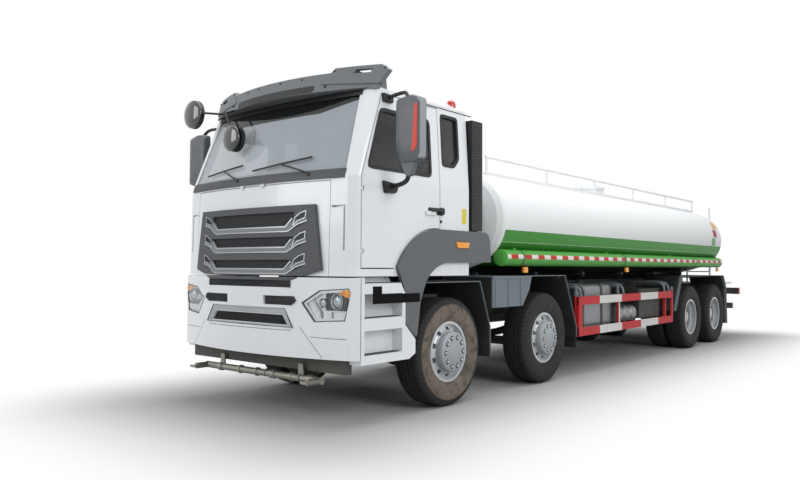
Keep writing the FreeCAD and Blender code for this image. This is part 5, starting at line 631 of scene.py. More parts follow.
class Paintbox:
    """All finishes of the truck, each built once."""

    FINISHES = (
        # Baked two-pack enamel on pressed steel: deep gloss with a faint orange peel.
        Finish("cab_enamel", "#e3e6e9", 0.25, coat=0.4, grain_mm=3.0, relief=0.02, dust=0.10,
               shade=0.015),
        # Airless-sprayed enamel on rolled plate: softer gloss, and slow waves of the plate.
        Finish("tank_enamel", "#e4e6e7", 0.42, gloss=0.25, grain_mm=40.0, relief=0.04, dust=0.06,
               shade=0.02, pattern=Pattern.TANK_BANDS),
        # The same white enamel brushed on small steel parts: a duller gloss.
        Finish("plain_enamel", "#e2e4e6", 0.35, slot="cab_paint", coat=0.2, grain_mm=6.0,
               relief=0.03, dust=0.08, shade=0.02),
        # Glass-filled nylon, moulded with a fine spark-eroded grain.
        Finish("black_plastic", "#141618", 0.55, grain_mm=1.2, relief=0.25, dust=0.06),
        # Piano-black ABS of the round mirrors: a clear coat that mirrors the sky.
        Finish("gloss_black_shell", "#202626", 0.12, coat=1.0, grain_mm=2.0, relief=0.02,
               dust=0.04),
        # Near-black strips that paint the shade in the gap under the door: no sheen at all.
        Finish("gap_rubber", "#0c0d0e", 0.85, gloss=0.1, grain_mm=2.0, dust=0.02),
        # Grey ABS in three depths: visor, arch flares and mouldings of the nose.
        Finish("visor_grey", "#6c7074", 0.5, grain_mm=1.5, relief=0.15, dust=0.1),
        Finish("grey_plastic", "#5b5f64", 0.55, grain_mm=1.5, relief=0.2, dust=0.18),
        Finish("dark_grey_plastic", "#404347", 0.55, slot="grey_plastic", grain_mm=1.5,
               relief=0.2, dust=0.15),
        # Silver-lacquered ABS lines of the grille: a soft metal shine.
        Finish("silver_trim", "#a4a7ab", 0.35, slot="trim_silver", metallic=0.7, coat=0.3,
               grain_mm=1.0, dust=0.08),
        # Laminated screen: dark inside, painted pale below the sun strip as a reflection of the
        # sky.
        Finish("laminated_glass", "#15191a", 0.03, coat=0.8, see_through=0.62, grain_mm=200.0,
               relief=0.0, dust=0.02, shade=0.02, pattern=Pattern.SUN_STRIP),
        # Tempered side glass with a grey-green body tint: dark, with sharp reflections.
        Finish("tempered_glass", "#1c2325", 0.03, coat=0.5, see_through=0.80, grain_mm=200.0,
               relief=0.0, dust=0.02, shade=0.02),
        # Clear polycarbonate over the lamps: nearly unseen, and brighter at a low angle.
        Finish("clear_lens", "#b4bbbf", 0.05, slot="lamp_lens", coat=0.4, gloss=0.6,
               see_through=0.93, grain_mm=80.0, relief=0.01, dust=0.03, shade=0.02),
        # Silvered glass of the door mirrors.
        Finish("mirror_glass", "#c9cdd0", 0.04, slot="glass", metallic=1.0, grain_mm=80.0,
               relief=0.0, dust=0.03),
        # Satin chassis enamel over castings and rolled channel, under a film of road dust.
        Finish("chassis_black", "#1d1f20", 0.6, grain_mm=4.0, relief=0.15, dust=0.35),
        # Sand-cast iron of axles and knuckles: rough, with baked-on dust.
        Finish("cast_iron", "#3b3b3a", 0.7, metallic=0.3, grain_mm=2.5, relief=0.35, dust=0.45),
        # Olive-grey chassis primer on rolled channel: flat and dusty.
        Finish("under_bar_grey", "#3d403d", 0.6, grain_mm=3.0, relief=0.1, dust=0.3),
        # Silver lacquer on pressed steel rims, dulled by brake dust.
        Finish("rim_silver", "#c4c8cb", 0.3, slot="rim_silver", metallic=0.65, coat=0.2,
               grain_mm=1.5, relief=0.06, dust=0.22),
        # Grey lacquer on the pressed hub covers.
        Finish("hub_grey", "#a0a8ae", 0.45, slot="rim_silver", metallic=0.2, grain_mm=1.5,
               relief=0.08, dust=0.2),
        # Green enamel on steel tube, with a strip of red and white reflective tape.
        Finish("hose_green", "#479a38", 0.45, gloss=0.3, grain_mm=8.0, relief=0.04, dust=0.1,
               pattern=Pattern.TUBE_TAPE),
        # Hot-dip galvanised pipe: dull zinc with spangle the size of a fingernail.
        Finish("galvanised_pipe", "#9b9a92", 0.42, slot="galvanised", metallic=0.85,
               grain_mm=12.0, relief=0.12, dust=0.35, shade=0.12, blotch_mm=60.0),
        # Brushed-on chassis enamel, near black on the faces inboard of the guard and below its top
        # plate.
        Finish("guard_blue_grey", "#6a737b", 0.6, slot="blue_grey_paint", grain_mm=5.0,
               relief=0.06, dust=0.15, pattern=Pattern.DARK_INSIDE),
        # Blue-grey enamel on bent steel tube.
        Finish("arm_grey", "#6b7279", 0.5, slot="blue_grey_paint", grain_mm=5.0, relief=0.06,
               dust=0.15),
        # Rolled aluminium as it leaves the mill: a dull, streaky shine.
        Finish("mill_aluminium", "#8f9296", 0.42, slot="aluminium", metallic=0.9, grain_mm=3.0,
               relief=0.08, dust=0.2),
        # Red enamel on steel rails, with white blocks and grey upper brackets.
        Finish("guard_red", "#b81f24", 0.5, slot="red_white_paint", gloss=0.3, grain_mm=4.0,
               relief=0.04, dust=0.12, pattern=Pattern.GUARD_BLOCKS),
        # Moulded acrylic lenses with a faint painted glow that stands in for daylight caught inside
        # them.
        Finish("amber_lens", "#e8921a", 0.18, slot="lamp_lens", coat=0.5, grain_mm=6.0,
               relief=0.1, glow=0.12),
        Finish("red_lens", "#b4161b", 0.2, slot="lamp_lens", coat=0.5, grain_mm=6.0, relief=0.1,
               glow=0.08),
        # Vacuum-metallised reflector of the lamp units, and their optical glass.
        Finish("lamp_chrome", "#d5d9dc", 0.12, slot="lamp_lens", metallic=1.0, grain_mm=20.0,
               relief=0.02, dust=0.04),
        Finish("projector_glass", "#c3d0d8", 0.05, slot="lamp_lens", metallic=0.4, coat=0.8,
               grain_mm=60.0, relief=0.0, dust=0.02),
        # Opal light guide and the pale bezel strip inside the lamp, with a faint painted glow.
        Finish("lamp_guide", "#e9eced", 0.2, slot="lamp_lens", coat=0.5, grain_mm=8.0,
               relief=0.02, dust=0.04, glow=0.15),
        # Grey plastic of the grille's steps, painted lighter as the highlight on each step's upper
        # face.
        Finish("grille_step_grey", "#7b7f83", 0.5, slot="grey_plastic", grain_mm=1.5, relief=0.15,
               dust=0.12),
        # Moulded mirror shells: mid grey, with a paler plate on the outer edge as a painted
        # highlight.
        Finish("mirror_grey", "#5d6065", 0.45, grain_mm=1.4, relief=0.15, dust=0.08),
        Finish("mirror_light_grey", "#94989c", 0.42, slot="grey_plastic", grain_mm=1.4,
               relief=0.12, dust=0.08),
        # Blow-moulded polyethylene of the intake stack: flat black under dust.
        Finish("stack_black", "#2a2c2e", 0.6, grain_mm=1.5, relief=0.3, dust=0.3),
        # Bright and dark green enamel on the hose tubes' caps and straps.
        Finish("cap_green", "#56b545", 0.45, slot="green_paint", grain_mm=3.0, relief=0.06,
               dust=0.1),
        Finish("strap_green", "#2f6b28", 0.4, slot="green_paint", grain_mm=3.0, relief=0.06,
               dust=0.2),
        # Printed and reflective vinyl films, smooth and even in colour.
        Finish("yellow_label", "#d8d04a", 0.4, slot="red_white_paint", grain_mm=2.0, dust=0.05),
        Finish("red_deep", "#a02024", 0.5, slot="red_white_paint", grain_mm=2.0, dust=0.08),
        Finish("red_tape", "#d8341c", 0.45, slot="red_white_paint", grain_mm=2.0, dust=0.05),
        Finish("amber_tape", "#d99a1f", 0.35, slot="red_white_paint", grain_mm=2.0, dust=0.05),
        Finish("green_tape", "#3f8f35", 0.35, slot="red_white_paint", grain_mm=2.0, dust=0.05),
        # Woven polyester under its clear transit film.
        Finish("seat_cloth", "#c2c7ca", 0.3, slot="trim_fabric", coat=0.6, grain_mm=30.0,
               relief=0.6, shade=0.25, blotch_mm=90.0),
        # Grained grey polypropylene of the dashboard and the seats' boxes.
        Finish("cabin_grey", "#7e8286", 0.6, grain_mm=2.0, relief=0.2),
    )

    def __init__(self) -> None:
        """Builds every finish."""
        self.made = {finish.name: finish.build() for finish in self.FINISHES}
        self.slots = {finish.name: finish.slot for finish in self.FINISHES}

    def __getitem__(self, name: str) -> bpy.types.Material:
        """The material of a finish by name."""
        return self.made[name]


@dataclass(frozen=True)
class TyreRubber:
    """Carbon-black tread rubber, with dried mud on the side wall where a wheel has any."""

    name: str
    centre: Point
    mud: float

    def build(self) -> bpy.types.Material:
        """Builds the rubber: a grainy dull black, and a patchy mud coat on the wall.

        Returns:
            The material.
        """
        material = bpy.data.materials.new(self.name)
        tree = fresh(material)
        place = add(tree, "TexCoord").outputs["Object"]
        shifted = add(tree, "VectorMath", (place, self.centre), operation="SUBTRACT")
        flat = add(tree, "VectorMath", (shifted, (0.0, 1.0, 1.0)), operation="MULTIPLY")
        radius = add(tree, "VectorMath", (flat,), operation="LENGTH")
        patch = add(tree, "TexNoise", {
            "Vector": place, "Scale": 9.0, "Detail": 8.0, "Roughness": 0.65})
        grit = add(tree, "TexNoise", {"Vector": place, "Scale": 160.0, "Detail": 4.0})
        wall = add(tree, "MapRange", (radius, 0.482, 0.462, 0.0, 1.0))
        wet = add(tree, "MapRange", (patch, 0.62 - 0.34 * self.mud, 0.80 - 0.26 * self.mud,
                                     0.0, 1.0))
        cover = add(tree, "Math", (wall, wet), operation="MULTIPLY")
        cover = add(tree, "Math", (cover, 0.25 + 0.75 * self.mud), operation="MULTIPLY")
        base = add(tree, "Mix", {0: grit, 6: linear("#121314"), 7: linear("#202020")},
                   **BLEND)
        shade = add(tree, "Mix", {0: patch, 6: linear("#5c544b"), 7: linear("#7b7065")},
                    **BLEND)
        colour = add(tree, "Mix", {0: cover, 6: base, 7: shade}, **BLEND)
        bump = add(tree, "Bump", {"Height": grit, "Strength": 0.3, "Distance": 0.003})
        shader = add(tree, "BsdfPrincipled", {
            "Base Color": colour, "Roughness": 0.82, "Normal": bump})
        add(tree, "OutputMaterial", {"Surface": shader})
        return material


@dataclass
class Builder:
    """Puts patches into meshes and ties them to the frame."""

    paints: Paintbox
    count: int = 0

    def piece(self, name: str, patch: Patch, material: str | bpy.types.Material,
              body: str = "truck", slot: str = "", replaces: str = "", smooth: bool = False,
              crease: float = 35.0) -> bpy.types.Object:
        """Makes one object of a patch.

        Args:
            name: The object's name.
            patch: Its points and faces.
            material: A finish by name, or a material.
            body: The frame's body that it rides on.
            slot: The record's material slot, the finish's own when not given. Not used.
            replaces: The frame node that it stands for, if any.
            smooth: Whether its faces are shaded smooth up to the crease angle.
            crease: Angle in degrees past which an edge stays sharp.

        Returns:
            The object.
        """
        mesh = bpy.data.meshes.new(name)
        mesh.from_pydata(patch.points.tolist(), [], patch.faces)
        shape = bmesh.new()
        shape.from_mesh(mesh)
        bmesh.ops.recalc_face_normals(shape, faces=shape.faces)
        shape.to_mesh(mesh)
        shape.free()
        mesh.update()
        thing = bpy.data.objects.new(name, mesh)
        bpy.context.scene.collection.objects.link(thing)
        if smooth:
            mesh.polygons.foreach_set("use_smooth", np.ones(len(mesh.polygons), bool))
            mesh.set_sharp_from_angle(angle=math.radians(crease))
        mesh.materials.append(self.paints[material] if isinstance(material, str) else material)
        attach(thing, body)
        if replaces:
            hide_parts(replaces)
        self.count += 1
        LOG.info("%s: %d faces on %s", name, len(patch.faces), body)
        return thing


@dataclass
class CabSkin:
    """The cab's outer faces as functions: the bowed nose and the leaning side walls."""

    belt: float = 2.17
    eave: float = 2.99
    foot: float = 1.30

    def nose(self, across: np.ndarray, height: np.ndarray) -> np.ndarray:
        """Y of the nose: a parabola across the cab, its bow blended from foot to eave.

        Args:
            across: X of each point.
            height: Z of each point.

        Returns:
            Y of each point.
        """
        low = np.clip((height - self.foot) / (self.belt - self.foot), 0, 1)
        high = np.clip((height - self.belt) / (self.eave - self.belt), 0, 1)
        front = 1.60 - 0.04 * low - 0.32 * high
        drop = 0.135 - 0.025 * low - 0.025 * high
        half = 1.115 - 0.065 * high
        return AXLE_ONE - (front - drop * (across / half) ** 2)

    def side(self, along: np.ndarray, height: np.ndarray) -> np.ndarray:
        """X of the side wall: upright to the belt, then leaning in to the eave."""
        return 1.215 - 0.05 * np.clip((height - self.belt) / (self.eave - self.belt), 0, 1)

    def bumper(self, across: np.ndarray, height: np.ndarray) -> np.ndarray:
        """Y of the bumper's face, the same at every height: a wide bow and tight corners.

        Args:
            across: X of each point.
            height: Z of each point. Not used.

        Returns:
            Y of each point.
        """
        wide = np.abs(across)
        bow = 1.65 - 0.18 * (wide / 1.155) ** 2
        corner = 1.47 - 0.07 * (wide - 1.155) / 0.09
        return AXLE_ONE - np.where(wide < 1.155, bow, corner)


@dataclass
class Assembly:
    """What every sub-assembly works with."""

    builder: Builder
    skin: CabSkin = field(default_factory=CabSkin)


@dataclass
class Tyres(Assembly):
    """Twelve treaded tyres: ribs with zigzag grooves in front, open shoulder lugs behind."""

    radius: float = WHEEL_HEIGHT
    twin_centres: tuple[float, ...] = (1.088, 0.748)
    front_centres: tuple[float, ...] = (1.020,)
    lugs: int = 60
    groove_depth: float = 0.011
    zigzag: float = 0.003
    tread: tuple[float, ...] = (0.118, 0.100, 0.084, 0.082, 0.072, 0.070, 0.038, 0.036, 0.026,
                                0.024)
    grooved: tuple[int, ...] = (0, 0, 0, 1, 1, 0, 0, 1, 1, 0)
    wall: tuple[tuple[float, float], ...] = (
        (0.1172, 0.289), (0.1175, 0.303), (0.130, 0.3065), (0.141, 0.330), (0.147, 0.350),
        (0.1475, 0.352), (0.151, 0.370), (0.155, 0.400), (0.155, 0.430), (0.152, 0.458),
        (0.1535, 0.461), (0.1515, 0.476), (0.149, 0.479), (0.145, 0.497), (0.139, 0.512),
        (0.129, 0.528))

    def carcass(self, centre: float, axle: float, ribbed: bool) -> Patch:
        """One tyre as a closed ring.

        The section goes from bead to bead over the tread. A groove is a narrow span of the
        section with less radius, and a lug is a span of the turn where the shoulder keeps its
        full radius.

        Args:
            centre: X of the tyre's middle.
            axle: Distance of its axle behind axle one.
            ribbed: Whether the tread has ribs only, or shoulder lugs too.

        Returns:
            The closed patch.
        """
        tread = np.array(self.tread)
        depth = np.array(self.grooved) * self.groove_depth
        crown = self.radius - 0.006 * (tread / 0.118) ** 2 - depth
        left = np.vstack([self.wall, np.stack([tread, crown], axis=1)])
        section = np.vstack([left, left[::-1] * np.array([-1.0, 1.0])])
        share = np.array([0.0, 0.8, 0.86, 0.94] if ribbed else [0.0, 0.56, 0.64, 0.92])
        low = np.tile([False, False, True, True], self.lugs)
        turn = ((np.arange(self.lugs)[:, None] + share) / self.lugs * 2 * math.pi).ravel()
        place, reach = section[:, :1], section[:, 1:]
        shoulder = (np.abs(place) > 0.099) & (reach > 0.478)
        middle = (np.abs(place) < 0.09) & (reach > 0.5)
        out = reach - (0.008 if ribbed else 0.014) * shoulder * low
        along = place + self.zigzag * middle * np.where(low, 1.0, -1.0)
        points = np.stack([centre + along, AXLE_ONE + axle + out * np.cos(turn),
                           self.radius + out * np.sin(turn)], axis=-1)
        return grid(points, wrap_rows=True)

    def build(self) -> None:
        """Builds all tyres, each node's tyres as one piece."""
        muds = {"one": 1.0, "two": 0.18, "three": 0.12, "four": 0.05}
        for name, axle in STEERED + DRIVEN:
            front = (name, axle) in STEERED
            centres = self.front_centres if front else self.twin_centres
            for side in Side:
                rubber = TyreRubber(f"tyre_rubber_{name}_{side.word}",
                                    (side.value * centres[0], AXLE_ONE + axle, self.radius),
                                    muds[name]).build()
                word = f"{'' if front else 's'}_{name}_{side.word}"
                rings = joined(self.carcass(side.value * centre, axle, front)
                               for centre in centres)
                self.builder.piece(f"treaded_tyre{word}", rings, rubber, f"wheel{word}", "tyre",
                                   f"tyre{word}", smooth=True, crease=32)


@dataclass
class HubCaps(Assembly):
    """Round covers with ten nuts on the front wheels, and nuts on the rear ones."""

    nuts: int = 10
    cover: tuple[tuple[float, float], ...] = (
        (1.151, 0.206), (1.196, 0.203), (1.212, 0.194), (1.219, 0.180), (1.2192, 0.112),
        (1.2225, 0.106), (1.2240, 0.010))

    def ring(self, face: float, radius: float, size: float, depth: float, axle: float,
             count: int) -> Patch:
        """Round nut caps on a circle, on the left side.

        Args:
            face: X that they stand on.
            radius: Radius of the circle.
            size: Radius of a cap.
            depth: Height of a cap.
            axle: Distance of the axle behind axle one.
            count: How many caps.

        Returns:
            All caps.
        """
        profile = [(0.0, size), (depth * 0.7, size * 0.9), (depth, size * 0.55)]
        return joined(
            turned(profile, (face, AXLE_ONE + axle + radius * math.cos(angle),
                             WHEEL_HEIGHT + radius * math.sin(angle)), 12)
            for angle in np.arange(count) / count * 2 * math.pi)

    def build(self) -> None:
        """Builds the caps of eight wheels."""
        for name, axle in STEERED:
            cover = turned(self.cover, (0.0, AXLE_ONE + axle, WHEEL_HEIGHT), 64)
            # Dark grey discs round the nuts: painted shade of the sunk wells in the cover.
            wells = self.ring(1.2185, 0.146, 0.029, 0.0016, axle, self.nuts)
            nuts = self.ring(1.2195, 0.146, 0.0135, 0.012, axle, self.nuts)
            parts = (("covers", cover, "hub_grey", ""),
                     ("wells", wells, "dark_grey_plastic", "dark_plastic"),
                     ("nuts", nuts, "rim_silver", ""))
            for side in Side:
                for what, patch, finish, slot in parts:
                    self.builder.piece(f"hub_{what}_{name}_{side.word}", patch.placed(side),
                                       finish, f"wheel_{name}_{side.word}", slot, smooth=True)
        for name, axle in DRIVEN:
            caps = joined([self.ring(0.930, 0.150, 0.015, 0.040, axle, self.nuts),
                           self.ring(1.148, 0.052, 0.007, 0.009, axle, 8)])
            for side in Side:
                self.builder.piece(f"hub_nuts_{name}_{side.word}", caps.placed(side),
                                   "rim_silver", f"wheels_{name}_{side.word}", smooth=True)


def symmetric(corners: Corners) -> np.ndarray:
    """A line that is given by the corners of its left half, as all of its corners."""
    half = np.array(corners)
    return np.vstack([half[::-1] * np.array([-1.0, 1.0]), half])


@dataclass
class Grille(Assembly):
    """Dark backing, upright slats and silver lines in the three mouths of the nose panel."""

    pitch: float = 0.0125
    mouths: tuple[tuple[float, float], ...] = ((1.735, 0.133), (1.552, 0.096), (1.357, 0.085))
    keel_half: float = 0.50
    wing_rise: float = 0.075
    proud: float = 0.034

    def ribbon(self, across: np.ndarray, height: np.ndarray, width: float, lift: float,
               low: float = 0.0) -> Patch:
        """A raised band that follows a line over the nose.

        Each point of the line gets a section of four corners: two at the low lift and two at
        the full lift, half the width above and below the line.

        Args:
            across: X of the line's points.
            height: Z of the line's points.
            width: How wide the band is.
            lift: How far its face stands off the nose.
            low: How far its back does.

        Returns:
            The closed patch.
        """
        normal = beside(across, height, width / 2)
        rows = []
        for shift, out in ((-1.0, low), (-0.8, lift), (0.8, lift), (1.0, low)):
            x, z = across + normal[:, 0] * shift, height + normal[:, 1] * shift
            rows.append((x, self.skin.nose(x, z) - out, z))
        return swept(rows)

    @staticmethod
    def line(corners: Corners) -> tuple[np.ndarray, np.ndarray]:
        """A symmetric line in steps of one length, which keep its corners too.

        Args:
            corners: The corners of its left half.

        Returns:
            X and Z of its points.
        """
        points = symmetric(corners)
        steps = np.concatenate([[0], np.cumsum(np.hypot(*np.diff(points, axis=0).T))])
        spots = np.unique(np.concatenate([np.linspace(0, steps[-1], 60), steps]))
        return np.interp(spots, steps, points[:, 0]), np.interp(spots, steps, points[:, 1])

    def face(self, upper: Corners, lower: Corners) -> Patch:
        """A symmetric band on the plate between two lines.

        Args:
            upper: The corners of the upper line's left half.
            lower: As many of the lower line's.

        Returns:
            The closed patch.
        """
        rows = []
        for corners, out in ((upper, 0.001), (upper, -0.003), (lower, -0.003), (lower, 0.001)):
            x, z = spaced(symmetric(corners), 71)
            rows.append((x, self.skin.nose(x, z) - self.proud + out, z))
        return swept(rows)

    def wing(self, keel: float) -> tuple[Patch, Patch, Patch]:
        """The mesh panel past one end of a mouth.

        Args:
            keel: Height of the mouth's keel.

        Returns:
            Its dark sheet, its slats and its silver outline.
        """
        corners = np.array([(0.590, 0.008), (0.640, 0.050), (0.728, 0.078), (0.735, 0.140),
                            (0.665, 0.118), (0.612, 0.082)]) + (0.0, keel)
        across = np.linspace(0.604, 0.732, 17)
        low = np.interp(across, corners[:3, 0], corners[:3, 1])
        high = np.interp(across, corners[[5, 4, 3], 0], corners[[5, 4, 3], 1])
        sheet = draped(across, low, high, self.skin.nose, -self.proud + 0.001,
                       -self.proud - 0.002)
        slats = [self.ribbon(np.full(2, x), np.array([foot, top]), 0.005, self.proud + 0.006,
                             self.proud + 0.001)
                 for x, foot, top in zip(across[1:-1:2], low[1:-1:2], high[1:-1:2])]
        loop = spaced(np.vstack([corners, corners[:1]]), 43)
        return sheet, joined(slats), self.ribbon(*loop, 0.010, self.proud + 0.007,
                                                 self.proud - 0.001)

    def build(self) -> None:
        """Builds the backing sheets, the slats, the mouths' edges and the grooves' lines."""
        backs, slats, edges, faces = [], [], [], []
        rise = [self.keel_half, self.keel_half + 0.08]
        across = np.linspace(-0.60, 0.60, 49)
        for keel, tall in self.mouths:
            low = keel - 0.006 + np.interp(np.abs(across), rise, [0.0, self.wing_rise])
            backs.append(draped(across, low, keel + tall + 0.006, self.skin.nose, 0.0, -0.004))
            for place in np.arange(-0.585, 0.586, self.pitch):
                foot = keel + np.interp(abs(place), rise, [0.0, self.wing_rise]) - 0.002
                z = np.array([foot, keel + tall + 0.002])
                if z[1] - z[0] > 0.02:
                    slats.append(self.ribbon(np.full(2, place), z, 0.005, 0.016, 0.003))
            edge = self.line([(0.02, keel + 0.002), (self.keel_half, keel + 0.002),
                              (self.keel_half + 0.078, keel + self.wing_rise)])
            edges.append(self.ribbon(*edge, 0.016, self.proud + 0.006, self.proud - 0.014))
            outer = [(0.02, keel - 0.040), (0.526, keel - 0.040), (0.640, keel + 0.022),
                     (0.745, keel + 0.052)]
            edges.append(self.ribbon(*self.line(outer), 0.012, self.proud + 0.005,
                                     self.proud - 0.004))
            inner = [(0.02, keel), (self.keel_half, keel), (0.596, keel + 0.060),
                     (0.740, keel + 0.078)]
            # The band under each mouth is painted light grey as the highlight on the step's upper
            # face.
            faces.append(self.face(inner, outer))
            for held, part in zip((backs, slats, edges), self.wing(keel)):
                held.append(both(part))
        for name, held, finish, smooth in (("backing", backs, "black_plastic", False),
                                           ("slats", slats, "dark_grey_plastic", False),
                                           ("lines", edges, "silver_trim", True),
                                           ("steps", faces, "grille_step_grey", True)):
            self.builder.piece(f"grille_{name}", joined(held), finish, "front_flap",
                               smooth=smooth)


@dataclass
class BumperFace(Assembly):
    """Meshes in the bumper's mouths, its panel seams and a lip under the intake."""

    strip: tuple[tuple[float, float], ...] = (
        (-0.59, 1.262), (-0.56, 1.198), (0.56, 1.198), (0.59, 1.262))
    vent: tuple[tuple[float, float], ...] = (
        (0.262, 1.042), (0.600, 1.042), (0.655, 1.082), (0.6275, 1.122), (0.262, 1.122))
    core: tuple[tuple[float, float], ...] = (
        (-0.555, 0.867), (-0.49, 0.952), (0.49, 0.952), (0.555, 0.867))
    strip_floor: float = -5.860
    vent_floor: float = -5.857
    core_floor: float = -5.820
    frame_face: float = -5.855
    bar_half: float = 0.0016
    seam_half: float = 0.0022

    def mesh(self, outline: Corners, floor: float, lattice: bool) -> tuple[Patch, Patch]:
        """The dark floor of a mouth and the bars before it.

        Args:
            outline: The mouth's corners.
            floor: Y of the floor.
            lattice: Whether bars go across too, or upright only.

        Returns:
            The floor and the bars.
        """
        points = np.array(outline)
        left, right = points[:, 0].min(), points[:, 0].max()
        across = np.linspace(left, right, 33)
        rise = points[np.argsort(points[:, 0], kind="stable")]
        middle = (points[:, 1].min() + points[:, 1].max()) / 2
        under, over = (rise[mask] for mask in (rise[:, 1] <= middle, rise[:, 1] >= middle))
        low = np.interp(across, under[:, 0], under[:, 1])
        high = np.maximum(np.interp(across, over[:, 0], over[:, 1]), low + 0.001)
        bars = []
        for place in np.arange(left + 0.008, right - 0.004, 0.015):
            foot, top = np.interp(place, across, low), np.interp(place, across, high)
            bars.append(block((place - self.bar_half, floor - 0.012, foot),
                              (place + self.bar_half, floor - 0.002, top), 0.0005))
        rows = np.arange(points[:, 1].min() + 0.008, points[:, 1].max(), 0.013)
        for height in rows if lattice else ():
            held = across[(low < height) & (high > height)]
            if len(held) > 2:
                bars.append(block((held[0], floor - 0.010, height - self.bar_half),
                                  (held[-1], floor - 0.002, height + self.bar_half), 0.0005))
        return draped(across, low, high, flat_at(floor), 0.002, -0.003), joined(bars)

    def seam(self, corners: Corners) -> Patch:
        """A thin dark line over the bumper's face.

        Args:
            corners: Its corners in X and Z.

        Returns:
            The closed patch.
        """
        x, z = spaced(corners, 24)
        normal = beside(x, z, self.seam_half)
        rows = []
        for shift, out in ((-1, -0.001), (-1, 0.0012), (1, 0.0012), (1, -0.001)):
            wide = x + normal[:, 0] * shift
            rows.append((wide, self.skin.bumper(wide, z) - out, z + normal[:, 1] * shift))
        return swept(rows)

    def build(self) -> None:
        """Builds floors, bars, the intake's frame, the chin and the seams."""
        strip = self.mesh(self.strip, self.strip_floor, True)
        vent = (both(part) for part in self.mesh(self.vent, self.vent_floor, True))
        core = self.mesh(self.core, self.core_floor, False)
        floors, bars = zip(strip, vent, core)
        self.builder.piece("bumper_mesh_floors", joined(floors), "black_plastic")
        self.builder.piece("bumper_mesh_bars", joined(bars), "dark_grey_plastic")
        dark, rim, mouth = (
            rounded([(-low_half, low), (-high_half, high), (high_half, high), (low_half, low)],
                    0.006, 4)
            for low_half, high_half, low, high in ((0.6265, 0.523, 0.8465, 1.0138),
                                                   (0.618, 0.518, 0.849, 1.011),
                                                   (0.564, 0.496, 0.862, 0.958)))
        face = flat_at(self.frame_face)
        self.builder.piece("intake_frame", collar(rim, mouth, face, 0.001, -0.005),
                           "silver_trim", smooth=True)
        across = np.linspace(-0.66, 0.66, 45)
        low = np.interp(np.abs(across), [0.60, 0.66], [1.2625, 1.282])
        chin = draped(across, low, 1.2875, self.skin.bumper, 0.001, -0.006)
        self.builder.piece("grille_chin", joined([collar(dark, rim, face, 0.001, -0.009), chin]),
                           "dark_grey_plastic", slot="dark_plastic")
        lines = [self.seam([(0.688, 0.86), (0.925, 0.601)]),
                 self.seam([(0.80, 0.775), (1.02, 0.768), (1.15, 0.768)])]
        top = self.seam([(-0.60, 0.822), (0.60, 0.822)])
        self.builder.piece("bumper_seams", joined([both(joined(lines)), top]), "black_plastic")


